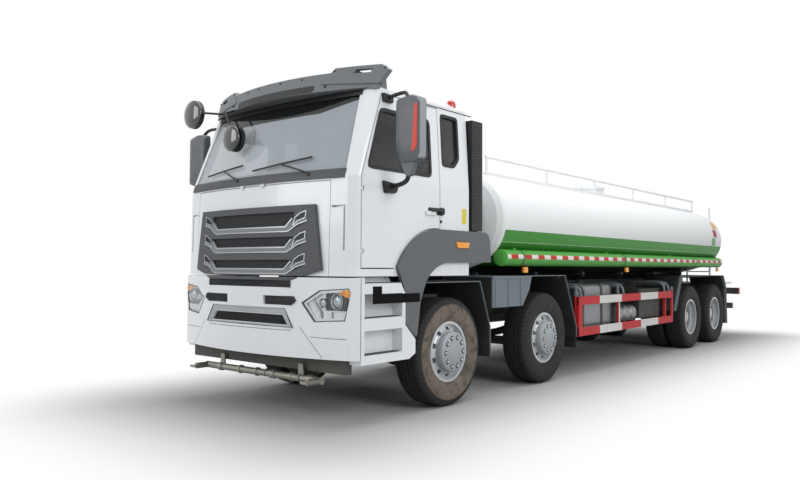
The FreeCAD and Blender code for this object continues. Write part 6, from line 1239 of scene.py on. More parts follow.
@dataclass
class Headlamps(Assembly):
    """Lamp units in the bumper's pockets: chrome bowl, projectors, flasher and clear cover."""

    outline: tuple[tuple[float, float], ...] = (
        (0.708, 1.067), (0.769, 0.994), (0.844, 0.902), (1.137, 0.921), (1.191, 1.164),
        (1.169, 1.200), (0.891, 1.179))

    def face(self, x: float) -> float:
        """Y of the bumper's face at an X."""
        return float(self.skin.bumper(np.array(x), np.array(0.0)))

    def cup(self, x: float, z: float, radius: float, depth: float) -> Patch:
        """A round lamp: a chrome ring with a sunk bowl, open to the front.

        Args:
            x: X of its middle.
            z: Z of its middle.
            radius: Radius of the ring.
            depth: How far the ring lies behind the bumper's face.

        Returns:
            The patch.
        """
        front = self.face(x) + depth
        return turned([(front + 0.03, radius), (front, radius), (front, radius * 0.93),
                       (front + 0.012, radius * 0.86), (front + 0.03, radius * 0.60)],
                      (x, 0.0, z), 40, axis=1)

    def lens(self, x: float, z: float, radius: float, depth: float) -> Patch:
        """A bulged projector lens.

        Args:
            x: X of its middle.
            z: Z of its middle.
            radius: Its radius.
            depth: How far its rim lies behind the bumper's face.

        Returns:
            The closed patch.
        """
        front = self.face(x) + depth
        profile = np.vstack([[front + 0.02, radius], dome(radius, front, radius * 0.45, 0.05)])
        return turned(profile, (x, 0.0, z), 40, axis=1)

    def cell(self, corners: Corners, depth: float, thick: float) -> Patch:
        """A bevelled block with its face behind the bumper's face.

        Args:
            corners: Its outline in X and Z.
            depth: How far its face lies behind the bumper's.
            thick: How deep it is.

        Returns:
            The closed patch.
        """
        outline = rounded(corners, 0.008, 4)
        front = self.face(float(outline[:, 0].mean())) + depth
        return slab(outline, front, front + thick, 0.003)

    def cover(self, across: np.ndarray, inset: float, back: float, front: float,
              rows: int) -> Patch:
        """A sheet as large as the lamp, apart from an inset.

        Args:
            across: X of its columns.
            inset: How far it stays inside the outline, above and below.
            back: Where its back lies behind the bumper's face.
            front: Where its face lies behind it.
            rows: Rows of points.

        Returns:
            The closed patch.
        """
        low = np.interp(across, [0.708, 0.769, 0.844, 1.137, 1.191],
                        [1.067, 0.994, 0.902, 0.921, 1.158])
        high = np.interp(across, [0.708, 0.891, 1.169, 1.191], [1.067, 1.179, 1.200, 1.164])
        return draped(across, low + inset, np.maximum(high - inset, low + inset + 0.002),
                      self.skin.bumper, back, front, rows)

    def build(self) -> None:
        """Builds both lamps of each part as one piece."""
        outline = rounded(self.outline, 0.012, 5)
        bands = [collar(grown(outline, -outer), grown(outline, -inner), self.skin.bumper, back,
                        front)
                 for outer, inner, back, front in ((0.001, 0.030, 0.068, 0.010),
                                                   (0.008, 0.022, 0.024, 0.012),
                                                   (0.0, 0.008, 0.020, -0.002))]
        bowl, bezel, rim = bands
        across = np.linspace(0.716, 1.184, 25)
        back = self.cover(across, 0.002, 0.069, 0.060, 3)
        wedge = self.cell([(0.738, 1.060), (0.800, 0.978), (0.852, 0.920), (0.890, 0.920),
                           (0.866, 1.006), (0.832, 1.040), (0.800, 1.090)], 0.022, 0.03)
        squares = [self.cell([(0.905, 0.930), (0.985, 0.932), (0.990, 0.990), (0.912, 0.992)],
                             0.022, 0.03),
                   self.cell([(1.000, 0.932), (1.110, 0.938), (1.128, 0.996), (1.002, 0.992)],
                             0.022, 0.03)]
        dark = self.cell([(0.846, 1.036), (0.880, 1.002), (1.150, 1.006), (1.166, 1.115),
                          (1.020, 1.166), (0.896, 1.150), (0.842, 1.096)], 0.044, 0.02)
        cups = [self.cup(0.905, 1.068, 0.044, 0.020), self.cup(1.048, 1.084, 0.070, 0.014)]
        lenses = [self.lens(0.905, 1.068, 0.030, 0.034), self.lens(1.048, 1.084, 0.050, 0.030)]
        amber = self.cell([(1.030, 1.166), (1.080, 1.146), (1.120, 1.118), (1.170, 1.124),
                           (1.172, 1.160), (1.158, 1.186), (1.060, 1.178)], 0.008, 0.02)
        clear = self.cover(across, 0.004, 0.004, 0.0015, 5)
        for name, parts, finish, slot in (
                ("bowls", [back, bowl], "lamp_chrome", ""),
                ("guides", [wedge, bezel] + squares, "lamp_guide", ""),
                ("masks", [rim, dark], "dark_grey_plastic", "dark_plastic"),
                ("rings", cups, "lamp_chrome", "trim_silver"),
                ("projectors", lenses, "projector_glass", ""),
                ("flashers", [amber], "amber_lens", ""),
                ("covers", [clear], "clear_lens", "")):
            self.builder.piece(f"headlamp_{name}", both(joined(parts)), finish, slot=slot,
                               replaces="headlamps" if name == "bowls" else "",
                               smooth=name != "flashers")


@dataclass
class DoorMirrors(Assembly):
    """Housings, their arms, the glass that faces back, and a red strip on the left one only."""

    outline: tuple[tuple[float, float], ...] = (
        (1.392, 2.845), (1.560, 2.868), (1.676, 2.822), (1.676, 2.310), (1.600, 2.272),
        (1.445, 2.272), (1.392, 2.400))
    back: float = -5.302

    def plate(self, corners: Corners, radius: float, count: int, front: float, rear: float,
              edge: float) -> Patch:
        """A rounded plate across the mirror.

        Args:
            corners: Its outline in X and Z.
            radius: Radius of the outline's corners.
            count: Points on each corner.
            front: How far its face lies before the housing's back.
            rear: How far its rear does.
            edge: Width of its bevel.

        Returns:
            The closed patch.
        """
        return slab(rounded(corners, radius, count), self.back - front, self.back - rear, edge)

    def arms(self) -> Patch:
        """Both arms and the feet that hold them to the door."""
        lower = smooth_path([(1.520, self.back - 0.038, 2.20), (1.455, -5.30, 2.135),
                             (1.345, -5.26, 2.11), (1.235, -5.245, 2.105)], 20)
        foot = rounded([(-5.355, 2.150), (-5.150, 2.128), (-5.172, 2.045), (-5.330, 2.038)],
                       0.02, 5)
        upper = smooth_path([(1.50, self.back - 0.03, 2.84), (1.44, -5.30, 2.905),
                             (1.33, -5.26, 2.92), (1.178, -5.245, 2.905)], 20)
        root = rounded([(-5.31, 2.945), (-5.18, 2.935), (-5.18, 2.865), (-5.31, 2.865)],
                       0.015, 4)
        return joined([tube(lower, 0.021, 14),
                       lofted(foot, [(1.0, 1.2145), (1.0, 1.232), (0.86, 1.252)]),
                       tube(upper, 0.017, 12),
                       lofted(root, [(1.0, 1.167), (1.0, 1.195), (0.8, 1.21)])])

    def build(self) -> None:
        """Builds housing, outer shell, strip, glass and arms for each door."""
        outline = rounded(self.outline, 0.035, 6)
        steps = ((0.93, 0.0), (1.0, -0.006), (1.0, -0.048), (0.965, -0.075), (0.86, -0.090),
                 (0.5, -0.0975))
        housing = lofted(outline, [(scale, self.back + place) for scale, place in steps], axis=1)
        neck = self.plate([(1.43, 2.30), (1.60, 2.30), (1.56, 2.16), (1.49, 2.16)], 0.03, 4,
                          0.065, 0.012, 0.008)
        # A paler plate on the housing's outer edge: painted highlight.
        edge = self.plate([(1.628, 2.838), (1.6785, 2.820), (1.6785, 2.312), (1.652, 2.300),
                           (1.606, 2.415)], 0.012, 4, 0.082, 0.01, 0.006)
        strip = self.plate([(1.614, 2.772), (1.646, 2.768), (1.642, 2.405), (1.602, 2.360),
                            (1.582, 2.372)], 0.006, 3, 0.098, 0.070, 0.002)
        glass = slab(grown(outline, -0.018), self.back - 0.002, self.back + 0.003, 0.002)
        parts = (("shell", joined([housing, neck]), "mirror_grey"),
                 ("arms", self.arms(), "black_plastic"), ("edge", edge, "mirror_light_grey"),
                 ("strip", strip, "red_tape"), ("glass", glass, "mirror_glass"))
        for side in Side:
            for name, patch, finish in parts:
                if name == "strip" and side is Side.RIGHT:
                    continue
                self.builder.piece(f"mirror_{name}_{side.word}", patch.placed(side), finish,
                                   f"door_{side.word}", smooth=True,
                                   replaces=f"mirror_{side.word}" if name == "shell" else "")


@dataclass
class KerbMirrors(Assembly):
    """Domed backs of the two round mirrors at the right front corner."""

    def dish(self, middle: Point, radius: float, bulge: float) -> Patch:
        """A bowl-shaped back that bulges forwards from a rim.

        Args:
            middle: The centre of the rim.
            radius: Radius of the rim.
            bulge: How far the bowl stands before it.

        Returns:
            The closed patch.
        """
        x, front, z = middle
        profile = np.vstack([[front + 0.012, radius * 0.97], [front + 0.012, radius],
                             dome(radius, front, bulge, 0.03)])
        return turned(profile, (x, 0.0, z), 48, axis=1)

    def build(self) -> None:
        """Builds both dishes."""
        backs = [self.dish((-1.160, AXLE_ONE - 1.450, 2.990), 0.150, 0.045),
                 self.dish((-0.390, AXLE_ONE - 1.530, 2.640), 0.1275, 0.035)]
        self.builder.piece("kerb_mirror_backs", joined(backs), "gloss_black_shell", smooth=True)


@dataclass
class VisorTrim(Assembly):
    """The visor's sunk centre panel and its screws."""

    screws: tuple[tuple[float, float], ...] = (
        (-0.42, 3.135), (-0.22, 3.137), (0.11, 3.138), (0.385, 3.135), (0.737, 3.175),
        (0.676, 3.035), (1.205, 3.168), (-0.737, 3.175), (-0.676, 3.035), (-1.205, 3.168))

    @staticmethod
    def front(across: np.ndarray, height: np.ndarray) -> np.ndarray:
        """Y of the visor's face: bowed across, and leaning back with height."""
        return AXLE_ONE - 1.390 + 0.26 * (across / 1.165) ** 2 + 0.065 * (height - 2.975) / 0.19

    def screw(self, x: float, z: float) -> Patch:
        """A screw head, a little further out on the visor's raised ends."""
        y = float(self.front(np.array(x), np.array(z))) - (0.010 if abs(x) > 0.63 else 0.0)
        return turned([(y + 0.004, 0.013), (y - 0.003, 0.012), (y - 0.006, 0.006)],
                      (x, 0.0, z), 16, axis=1)

    def build(self) -> None:
        """Builds the panel, the crest line and the screws."""
        across = np.linspace(-0.56, 0.56, 41)
        ends = np.abs(across) > 0.535
        panel = draped(across, np.where(ends, 3.004, 2.990), np.where(ends, 3.046, 3.056),
                       self.front, 0.0, -0.0025)
        lip = draped(np.linspace(-1.10, 1.10, 61), 2.978, 2.984, self.front, 0.0, -0.006)
        self.builder.piece("visor_panel", joined([panel, lip]), "black_plastic")
        self.builder.piece("visor_screws", joined(self.screw(x, z) for x, z in self.screws),
                           "black_plastic", smooth=True)


@dataclass
class CabSides(Assembly):
    """Window seals, door handles, side markers, roof lamps and a blank label."""

    def seal(self, corners: Corners, radius: float) -> Patch:
        """A rubber seal round a window of the side wall."""
        fine = divided(rounded(corners, radius, 6), 4)
        return collar(grown(fine, 0.010), grown(fine, -0.022), self.skin.side, -0.006, 0.004,
                      axis=0)

    def handle(self) -> Patch:
        """The left door's handle: a sunk cup, a bowed bar, a lock and a knob."""
        cup = rounded([(-4.685, 1.885), (-4.440, 1.885), (-4.440, 1.955), (-4.685, 1.955)],
                      0.02, 5)
        bar = smooth_path([(1.212, -4.665, 1.925), (1.240, -4.650, 1.926),
                           (1.243, -4.555, 1.927), (1.240, -4.475, 1.926),
                           (1.212, -4.462, 1.925)], 24)
        knob = rounded([(-4.505, 1.890), (-4.445, 1.890), (-4.445, 1.960), (-4.505, 1.960)],
                       0.02, 5)
        return joined([lofted(cup, [(1.0, 1.2145), (1.0, 1.217), (0.96, 1.2185)]),
                       tube(bar, 0.012, 12),
                       turned([(1.212, 0.016), (1.221, 0.015), (1.223, 0.008)],
                              (0.0, -4.480, 1.825), 20),
                       lofted(knob, [(1.0, 1.214), (1.0, 1.236), (0.8, 1.244)])])

    def build(self) -> None:
        """Builds the parts on both sides."""
        window = self.seal([(AXLE_ONE - 1.285, 2.250), (AXLE_ONE - 0.380, 2.250),
                            (AXLE_ONE - 0.380, 2.800), (AXLE_ONE - 1.085, 2.800)], 0.06)
        quarter = self.seal([(AXLE_ONE - 0.190, 2.380), (AXLE_ONE, 2.380),
                             (AXLE_ONE + 0.090, 2.470), (AXLE_ONE + 0.090, 2.890),
                             (AXLE_ONE - 0.190, 2.890)], 0.04)
        for side in Side:
            for name, patch in (("window_seal", window), ("door_handle", self.handle())):
                self.builder.piece(f"{name}_{side.word}", patch.placed(side), "black_plastic",
                                   f"door_{side.word}", smooth=True)
        marker = rounded([(-4.282, 1.632), (-4.048, 1.632), (-4.072, 1.574), (-4.258, 1.574)],
                         0.008, 4)
        lamp = turned([(3.020, 0.050), (3.048, 0.050), (3.075, 0.044), (3.096, 0.028),
                       (3.102, 0.010)], (1.080, AXLE_ONE + 0.12, 0.0), 32, axis=2)
        gutter = np.stack(np.broadcast_arrays(
            1.1665, np.linspace(AXLE_ONE - 0.55, AXLE_ONE + 0.35, 3), 2.955), axis=1)
        for name, patch, finish, slot in (
                ("quarter_seals", quarter, "black_plastic", ""),
                ("flare_markers", lofted(marker, [(1.0, 1.2515), (1.0, 1.262), (0.93, 1.267)]),
                 "amber_lens", ""),
                ("roof_lamps", lamp, "red_lens", ""),
                ("roof_gutters", tube(gutter, 0.006, 8), "dark_grey_plastic",
                 "dark_plastic")):
            self.builder.piece(name, both(patch), finish, slot=slot, smooth=True)
        label = np.array([(-4.125, 1.820), (-4.045, 1.820), (-4.045, 1.975), (-4.125, 1.975)])
        self.builder.piece("blank_label", lofted(label, [(1.0, 1.2148), (1.0, 1.2162)]),
                           "yellow_label")


@dataclass
class Seats(Assembly):
    """Two sprung seats under clear film: cushion, back with bolsters, and head rest."""

    place: float = 0.715

    @staticmethod
    def pad(size: Point, centre: Point, lean: float) -> Patch:
        """A stuffed block leant about X, its face creased by three crossing waves.

        Args:
            size: Half lengths along X, Y and Z.
            centre: Its middle.
            lean: Its turn about X in degrees.

        Returns:
            The closed patch.
        """
        patch = pillow(size, 0.42, 36, 56)
        x, y, z = patch.points.T
        crease = (0.004 * np.sin(x * 43 + 2 * np.sin(z * 17)) + 0.003 * np.sin(z * 61 + x * 21)
                  + 0.003 * np.sin(y * 57 - x * 30))
        length = np.linalg.norm(patch.points, axis=1, keepdims=True)
        points = patch.points * (1 + crease[:, None] / np.maximum(length, 0.05))
        cosine, sine = math.cos(math.radians(lean)), math.sin(math.radians(lean))
        turn = np.array([[1, 0, 0], [0, cosine, -sine], [0, sine, cosine]])
        return Patch(points @ turn.T + np.array(centre), patch.faces)

    def build(self) -> None:
        """Builds the pads of both seats, and the boxes under them."""
        pads = joined(self.pad(size, (self.place + x, y, z), lean) for size, x, y, z, lean in (
            ((0.235, 0.265, 0.085), 0.0, -4.595, 1.735, -3.0),
            ((0.055, 0.24, 0.075), 0.205, -4.60, 1.765, -3.0),
            ((0.055, 0.24, 0.075), -0.205, -4.60, 1.765, -3.0),
            ((0.215, 0.055, 0.320), 0.0, -4.365, 2.075, -7.0),
            ((0.050, 0.065, 0.290), 0.205, -4.378, 2.06, -7.0),
            ((0.050, 0.065, 0.290), -0.205, -4.378, 2.06, -7.0),
            ((0.135, 0.050, 0.090), 0.0, -4.325, 2.465, -7.0)))
        thing = self.builder.piece("seat_pads", both(pads), "seat_cloth", replaces="seats",
                                   smooth=True, crease=60)
        base = joined(block((self.place + left, front, low), (self.place + right, rear, high), edge)
                      for left, right, front, rear, low, high, edge in (
                          (-0.19, 0.19, -4.80, -4.38, 1.361, 1.66, 0.01),
                          (-0.03, -0.015, -4.345, -4.325, 2.33, 2.42, 0.002),
                          (0.015, 0.03, -4.345, -4.325, 2.33, 2.42, 0.002)))
        self.builder.piece("seat_bases", both(base), "cabin_grey")


@dataclass
class TankDress(Assembly):
    """Corner reflectors, and the straps, caps and lamps of the hose tubes."""

    centre: float = 1.920
    flank: float = 0.525
    flank_place: float = 0.710
    plate_length: float = 0.20
    hose_place: tuple[float, float] = (1.163, 1.492)
    hose_radius: float = 0.0915
    strap_places: tuple[float, ...] = (1.29, 4.155, 7.245)
    strap_width: float = 0.032
    lamp_places: tuple[float, ...] = (1.40, 4.30, 8.62)

    def hug(self, start: float, low: float, high: float) -> Patch:
        """A curved plate on the tank's left flank: a span of the flank's arc.

        Args:
            start: Y of its front edge.
            low: Where the span starts, in degrees from level.
            high: Where it ends.

        Returns:
            The closed patch.
        """
        angle = np.radians(np.linspace(low, high, 10))
        end = start + self.plate_length
        return swept([(self.flank_place + (self.flank + out) * np.cos(angle), y,
                       self.centre + (self.flank + out) * np.sin(angle))
                      for y, out in ((start, 0.001), (start, 0.003), (end, 0.003), (end, 0.001))])

    def build(self) -> None:
        """Builds reflectors, straps, caps and lamps."""
        for name, low, high, finish, start in (("amber", 24, 40, "amber_tape", 8.46),
                                               ("red", 5.5, 21, "red_deep", 8.34),
                                               ("green", -12, 3, "green_tape", 8.23)):
            self.builder.piece(f"tank_plate_{name}", both(self.hug(AXLE_ONE + start, low, high)),
                               finish)
        x, z = self.hose_place
        ring = np.stack(circle(40), axis=1) * self.hose_radius + self.hose_place
        straps = [collar(grown(ring, 0.006), ring, flat_at(AXLE_ONE + place), 0.0,
                         self.strap_width) for place in self.strap_places]
        self.builder.piece("hose_straps", both(joined(straps)), "strap_green", smooth=True)
        caps = [turned([(y, 0.094), (y + sign * 0.006, 0.094), (y + sign * 0.014, 0.080),
                        (y + sign * 0.016, 0.02)], (x, 0.0, z), 40, axis=1)
                for y, sign in ((AXLE_ONE + 0.95, -1), (AXLE_ONE + 8.76, 1))]
        caps.append(turned([(AXLE_ONE + 8.765, 0.020), (AXLE_ONE + 8.95, 0.020),
                            (AXLE_ONE + 8.955, 0.012)], (x, 0.0, z), 24, axis=1))
        self.builder.piece("hose_caps", both(joined(caps)), "cap_green", smooth=True)
        places = [AXLE_ONE + y for y in self.lamp_places]
        lamps = joined(block((1.190, y - 0.045, 1.325), (1.222, y + 0.045, 1.388), 0.006)
                       for y in places)
        stems = joined(block((1.196, y - 0.012, 1.380), (1.214, y + 0.012, 1.412), 0.002)
                       for y in places)
        self.builder.piece("side_lamps", both(lamps), "amber_lens")
        self.builder.piece("side_lamp_stems", both(stems), "black_plastic")


@dataclass
class RoadGear(Assembly):
    """Fuel tank straps, reservoir sleeves, guard folds, rear lamps and stack louvres."""

    louvre_step: float = 0.034
    louvre_top: float = 2.86
    fold_places: tuple[float, ...] = (0.745, 1.01, 1.275)
    arm_places: tuple[float, ...] = (2.82, 2.945, 4.19, 5.825, 6.015)
    reservoirs: int = 3
    reservoir_first: float = 4.240
    reservoir_pitch: float = 0.235
    reservoir_height: float = 0.715

    def round_things(self) -> None:
        """Builds the fuel tank's bands and cap, the reservoirs' sleeves and the guards' arms."""
        outline = rounded([(0.470, 0.550), (1.120, 0.550), (1.120, 1.170), (0.470, 1.170)], 0.10, 8)
        bands = joined(collar(grown(outline, proud), grown(outline, 0.0005),
                              flat_at(AXLE_ONE + y), 0.0, width)
                       for y, proud, width in ((3.02, 0.009, 0.055), (3.60, 0.009, 0.055),
                                               (3.93, 0.005, 0.016)))
        self.builder.piece("fuel_tank_bands", bands, "under_bar_grey", slot="frame_paint",
                           smooth=True)
        cap = turned([(1.168, 0.055), (1.185, 0.055), (1.190, 0.046), (1.205, 0.044),
                      (1.208, 0.02)], (0.95, AXLE_ONE + 3.30, 0.0), 32, axis=2)
        self.builder.piece("fuel_cap", cap, "black_plastic", smooth=True)
        sleeve = [(0.50, 0.1125), (1.085, 0.1135), (1.112, 0.1125), (1.132, 0.103),
                  (1.150, 0.080), (1.160, 0.048), (1.164, 0.012)]
        hoop = [(1.040, 0.1165), (1.062, 0.1165)]
        first = AXLE_ONE + self.reservoir_first
        sleeves = joined(
            turned(profile, (0.0, first + self.reservoir_pitch * index, self.reservoir_height), 48)
            for index in range(self.reservoirs) for profile in (sleeve, hoop))
        self.builder.piece("reservoir_sleeves", sleeves, "mill_aluminium", smooth=True)
        arms = joined(tube(smooth_path([(0.62, y, 1.150), (0.95, y, 1.160), (1.12, y, 1.150),
                                        (1.185, y, 1.090), (1.205, y, 0.985)], 24), 0.019, 12)
                      for y in (AXLE_ONE + place for place in self.arm_places))
        self.builder.piece("guard_arms", both(arms), "arm_grey", smooth=True)

    @staticmethod
    def bars(rows: Iterable[tuple[float, ...]]) -> Patch:
        """Bevelled boxes on the left side.

        Args:
            rows: For each its two X, its two distances behind axle one, its two Z and its
                bevel's width.

        Returns:
            All boxes.
        """
        return joined(block((left, AXLE_ONE + front, low), (right, AXLE_ONE + rear, high), edge)
                      for left, right, front, rear, low, high, edge in rows)

    def build(self) -> None:
        """Builds the equipment along the frame."""
        self.round_things()
        folds = [(1.2145, 1.223, y, y + 0.03, 0.965, 1.285, 0.004) for y in self.fold_places]
        folds.append((1.2145, 1.222, 0.705, 1.50, 1.262, 1.288, 0.004))
        posts = [(1.207, 1.2375, 2.702, 2.800, 0.505, 1.010, 0.006),
                 (1.207, 1.2375, 6.060, 6.120, 0.505, 1.080, 0.006)]
        lamps = [(1.2005, 1.212, 10.062, 10.148, 0.862, 0.978, 0.004),
                 (0.80, 1.16, 10.1505, 10.165, 0.870, 0.970, 0.005)]
        flaps = [(0.66, 1.19, 2.700, 2.706, 0.36, 0.60, 0.002)]
        louvres = [(left, right, front, rear, z, z + 0.012, 0.002)
                   for left, right, front, rear, foot in ((1.233, 1.240, 0.300, 0.445, 1.86),
                                                          (1.05, 1.20, 0.270, 0.277, 1.90))
                   for z in np.arange(foot, self.louvre_top, self.louvre_step)]
        for name, patch, finish in (
                ("guard_folds", both(self.bars(folds)), "guard_blue_grey"),
                ("guard_posts", both(self.bars(posts)), "guard_red"),
                ("rear_lamps", both(self.bars(lamps)), "red_lens"),
                ("stack_louvres", self.bars(louvres), "stack_black"),
                ("mud_flaps", both(self.bars(flaps)), "black_plastic")):
            self.builder.piece(name, patch, finish)


@dataclass
class StepTrim(Assembly):
    """Toothed treads on the three steps, and strips painted near black as the shade of the gap
    under the door.
    """

    shelves: tuple[float, ...] = (1.235, 0.935, 0.620)
    front: float = -1.335
    rear: float = -0.86
    tooth_pitch: float = 0.022

    def build(self) -> None:
        """Builds treads, teeth and gap strips."""
        treads = RoadGear.bars((1.150, 1.246, self.front, self.rear, shelf + 0.0005,
                                shelf + 0.006, 0.002) for shelf in self.shelves)
        teeth = RoadGear.bars((1.156, 1.242, y, y + 0.008, shelf + 0.004, shelf + 0.013, 0.002)
                              for shelf in self.shelves
                              for y in np.arange(self.front + 0.012, self.rear - 0.01,
                                                 self.tooth_pitch))
        # Near-black strips on the panels: painted shade of the gap under the door.
        gap = RoadGear.bars([(1.2475, 1.2495, -1.13, -0.805, 1.061, 1.144, 0.0005),
                             (1.2475, 1.2495, -1.25, -1.13, 1.061, 1.214, 0.0005),
                             (1.2505, 1.2525, -0.81, -0.600, 1.061, 1.144, 0.0005)])
        self.builder.piece("step_treads", both(treads), "plain_enamel")
        self.builder.piece("step_teeth", both(teeth), "under_bar_grey")
        self.builder.piece("step_gap", both(gap), "gap_rubber")


@dataclass
class SprayBar(Assembly):
    """Couplings, clamps and flattened nozzles of the front spray pipe."""

    height: float = 0.385
    ahead: float = AXLE_ONE - 1.450
    couplings: tuple[tuple[float, float], ...] = (
        (-0.62, 0.05), (-0.30, 0.03), (-0.05, 0.03), (0.16, 0.07), (0.44, 0.03), (0.66, 0.06))
    clamps: tuple[float, ...] = (-0.57, 0.10, 0.57)
    clamp_radius: float = 0.037
    nozzles: tuple[float, ...] = (-0.81, 0.81)

    def build(self) -> None:
        """Builds collars, clamps and fans."""
        rings = [turned([(place, 0.034), (place + 0.004, 0.041), (place + wide - 0.004, 0.041),
                         (place + wide, 0.034)], (0.0, self.ahead, self.height), 32)
                 for place, wide in self.couplings]
        turn = np.linspace(-0.25 * math.pi, 1.25 * math.pi, 20)
        y = self.ahead + self.clamp_radius * np.cos(turn)
        z = self.height + self.clamp_radius * np.sin(turn)
        hoops = [tube(np.stack(np.broadcast_arrays(place, y, z), axis=1), 0.006, 8)
                 for place in self.clamps]
        fan = np.array([(-0.045, -0.012), (0.045, -0.012), (0.045, 0.012), (-0.045, 0.012)])
        fans = [lofted(rounded(fan + np.array([place, self.height]), 0.01, 5),
                       [(0.6, self.ahead - 0.150), (0.9, self.ahead - 0.175),
                        (1.0, self.ahead - 0.192), (0.85, self.ahead - 0.193)], axis=1)
                for place in self.nozzles]
        self.builder.piece("spray_couplings", joined(rings + hoops + fans), "galvanised_pipe",
                           smooth=True)


@dataclass
class Screen(Assembly):
    """Black borders of the glass, the scuttle strip and two wipers."""

    def band(self, edge: np.ndarray, inner: np.ndarray, inset: float) -> Patch:
        """A strip just behind the glass between two closed outlines.

        Args:
            edge: (n, 2) outer corners in X and Z.
            inner: As many inner corners.
            inset: How far its face lies behind the glass.

        Returns:
            The closed patch.
        """
        loops = ((edge, 0.0), (inner, 0.0), (inner, 0.003), (edge, 0.003))
        return grid(np.stack([spread(loop, self.skin.nose(*loop.T) + inset + depth, 1)
                              for loop, depth in loops]), wrap_rows=True)

    @staticmethod
    def frame(low: float, high: float, low_half: float, high_half: float) -> np.ndarray:
        """A trapezoid outline with forty points on each side, so that it can bend."""
        return divided(np.array([(-low_half, low), (low_half, low), (high_half, high),
                                 (-high_half, high)]), 40)

    def on_glass(self, x: float, z: float, off: float) -> Point:
        """A point at a distance off the glass."""
        return x, float(self.skin.nose(np.array(x), np.array(z))) - off, z

    def wiper(self, pivot: tuple[float, float], tip: tuple[float, float],
              half_blade: float) -> Patch:
        """One wiper: spindle cap, bent arm and a blade that lies on the glass.

        Args:
            pivot: X and Z of its spindle.
            tip: X and Z of the blade's middle.
            half_blade: Half the blade's length.

        Returns:
            The closed patches.
        """
        start = self.on_glass(*pivot, 0.010)
        knee = self.on_glass(pivot[0] * 0.75 + tip[0] * 0.25, pivot[1] * 0.65 + tip[1] * 0.35,
                             0.052)
        arm = tube(smooth_path([start, knee, self.on_glass(*tip, 0.030)], 14), 0.008, 8)
        spine = [self.on_glass(tip[0] + half_blade * share, tip[1] + half_blade * 0.10 * share,
                               0.016) for share in np.linspace(-1, 1, 15)]
        cap = turned([(start[1] - 0.02, 0.016), (start[1] + 0.005, 0.022)],
                     (start[0], 0.0, start[2]), 16, axis=1)
        return joined([arm, tube(np.array(spine), 0.009, 8), cap])

    def build(self) -> None:
        """Builds the borders, the strip and the wipers."""
        border = self.band(self.frame(2.226, 2.929, 1.094, 1.019),
                           self.frame(2.262, 2.800, 1.050, 0.985), 0.0172)
        header = draped(np.linspace(-1.045, 1.045, 45), 2.924, 2.990, self.skin.nose, 0.001,
                        -0.004)
        across = np.linspace(-1.10, 1.10, 45)
        strip = swept([(across, self.skin.nose(across, height) - out, height)
                       for height, out in ((2.234, -0.004), (2.234, 0.010), (2.200, 0.018),
                                           (2.150, 0.016), (2.150, 0.0))])
        wipers = joined([self.wiper((-0.24, 2.205), (-0.545, 2.330), 0.30),
                         self.wiper((0.715, 2.200), (0.325, 2.325), 0.37)])
        self.builder.piece("screen_border", border, "black_plastic")
        self.builder.piece("screen_header", header, "black_plastic")
        self.builder.piece("scuttle_strip", strip, "dark_grey_plastic", smooth=True)
        self.builder.piece("wipers", wipers, "black_plastic", smooth=True)


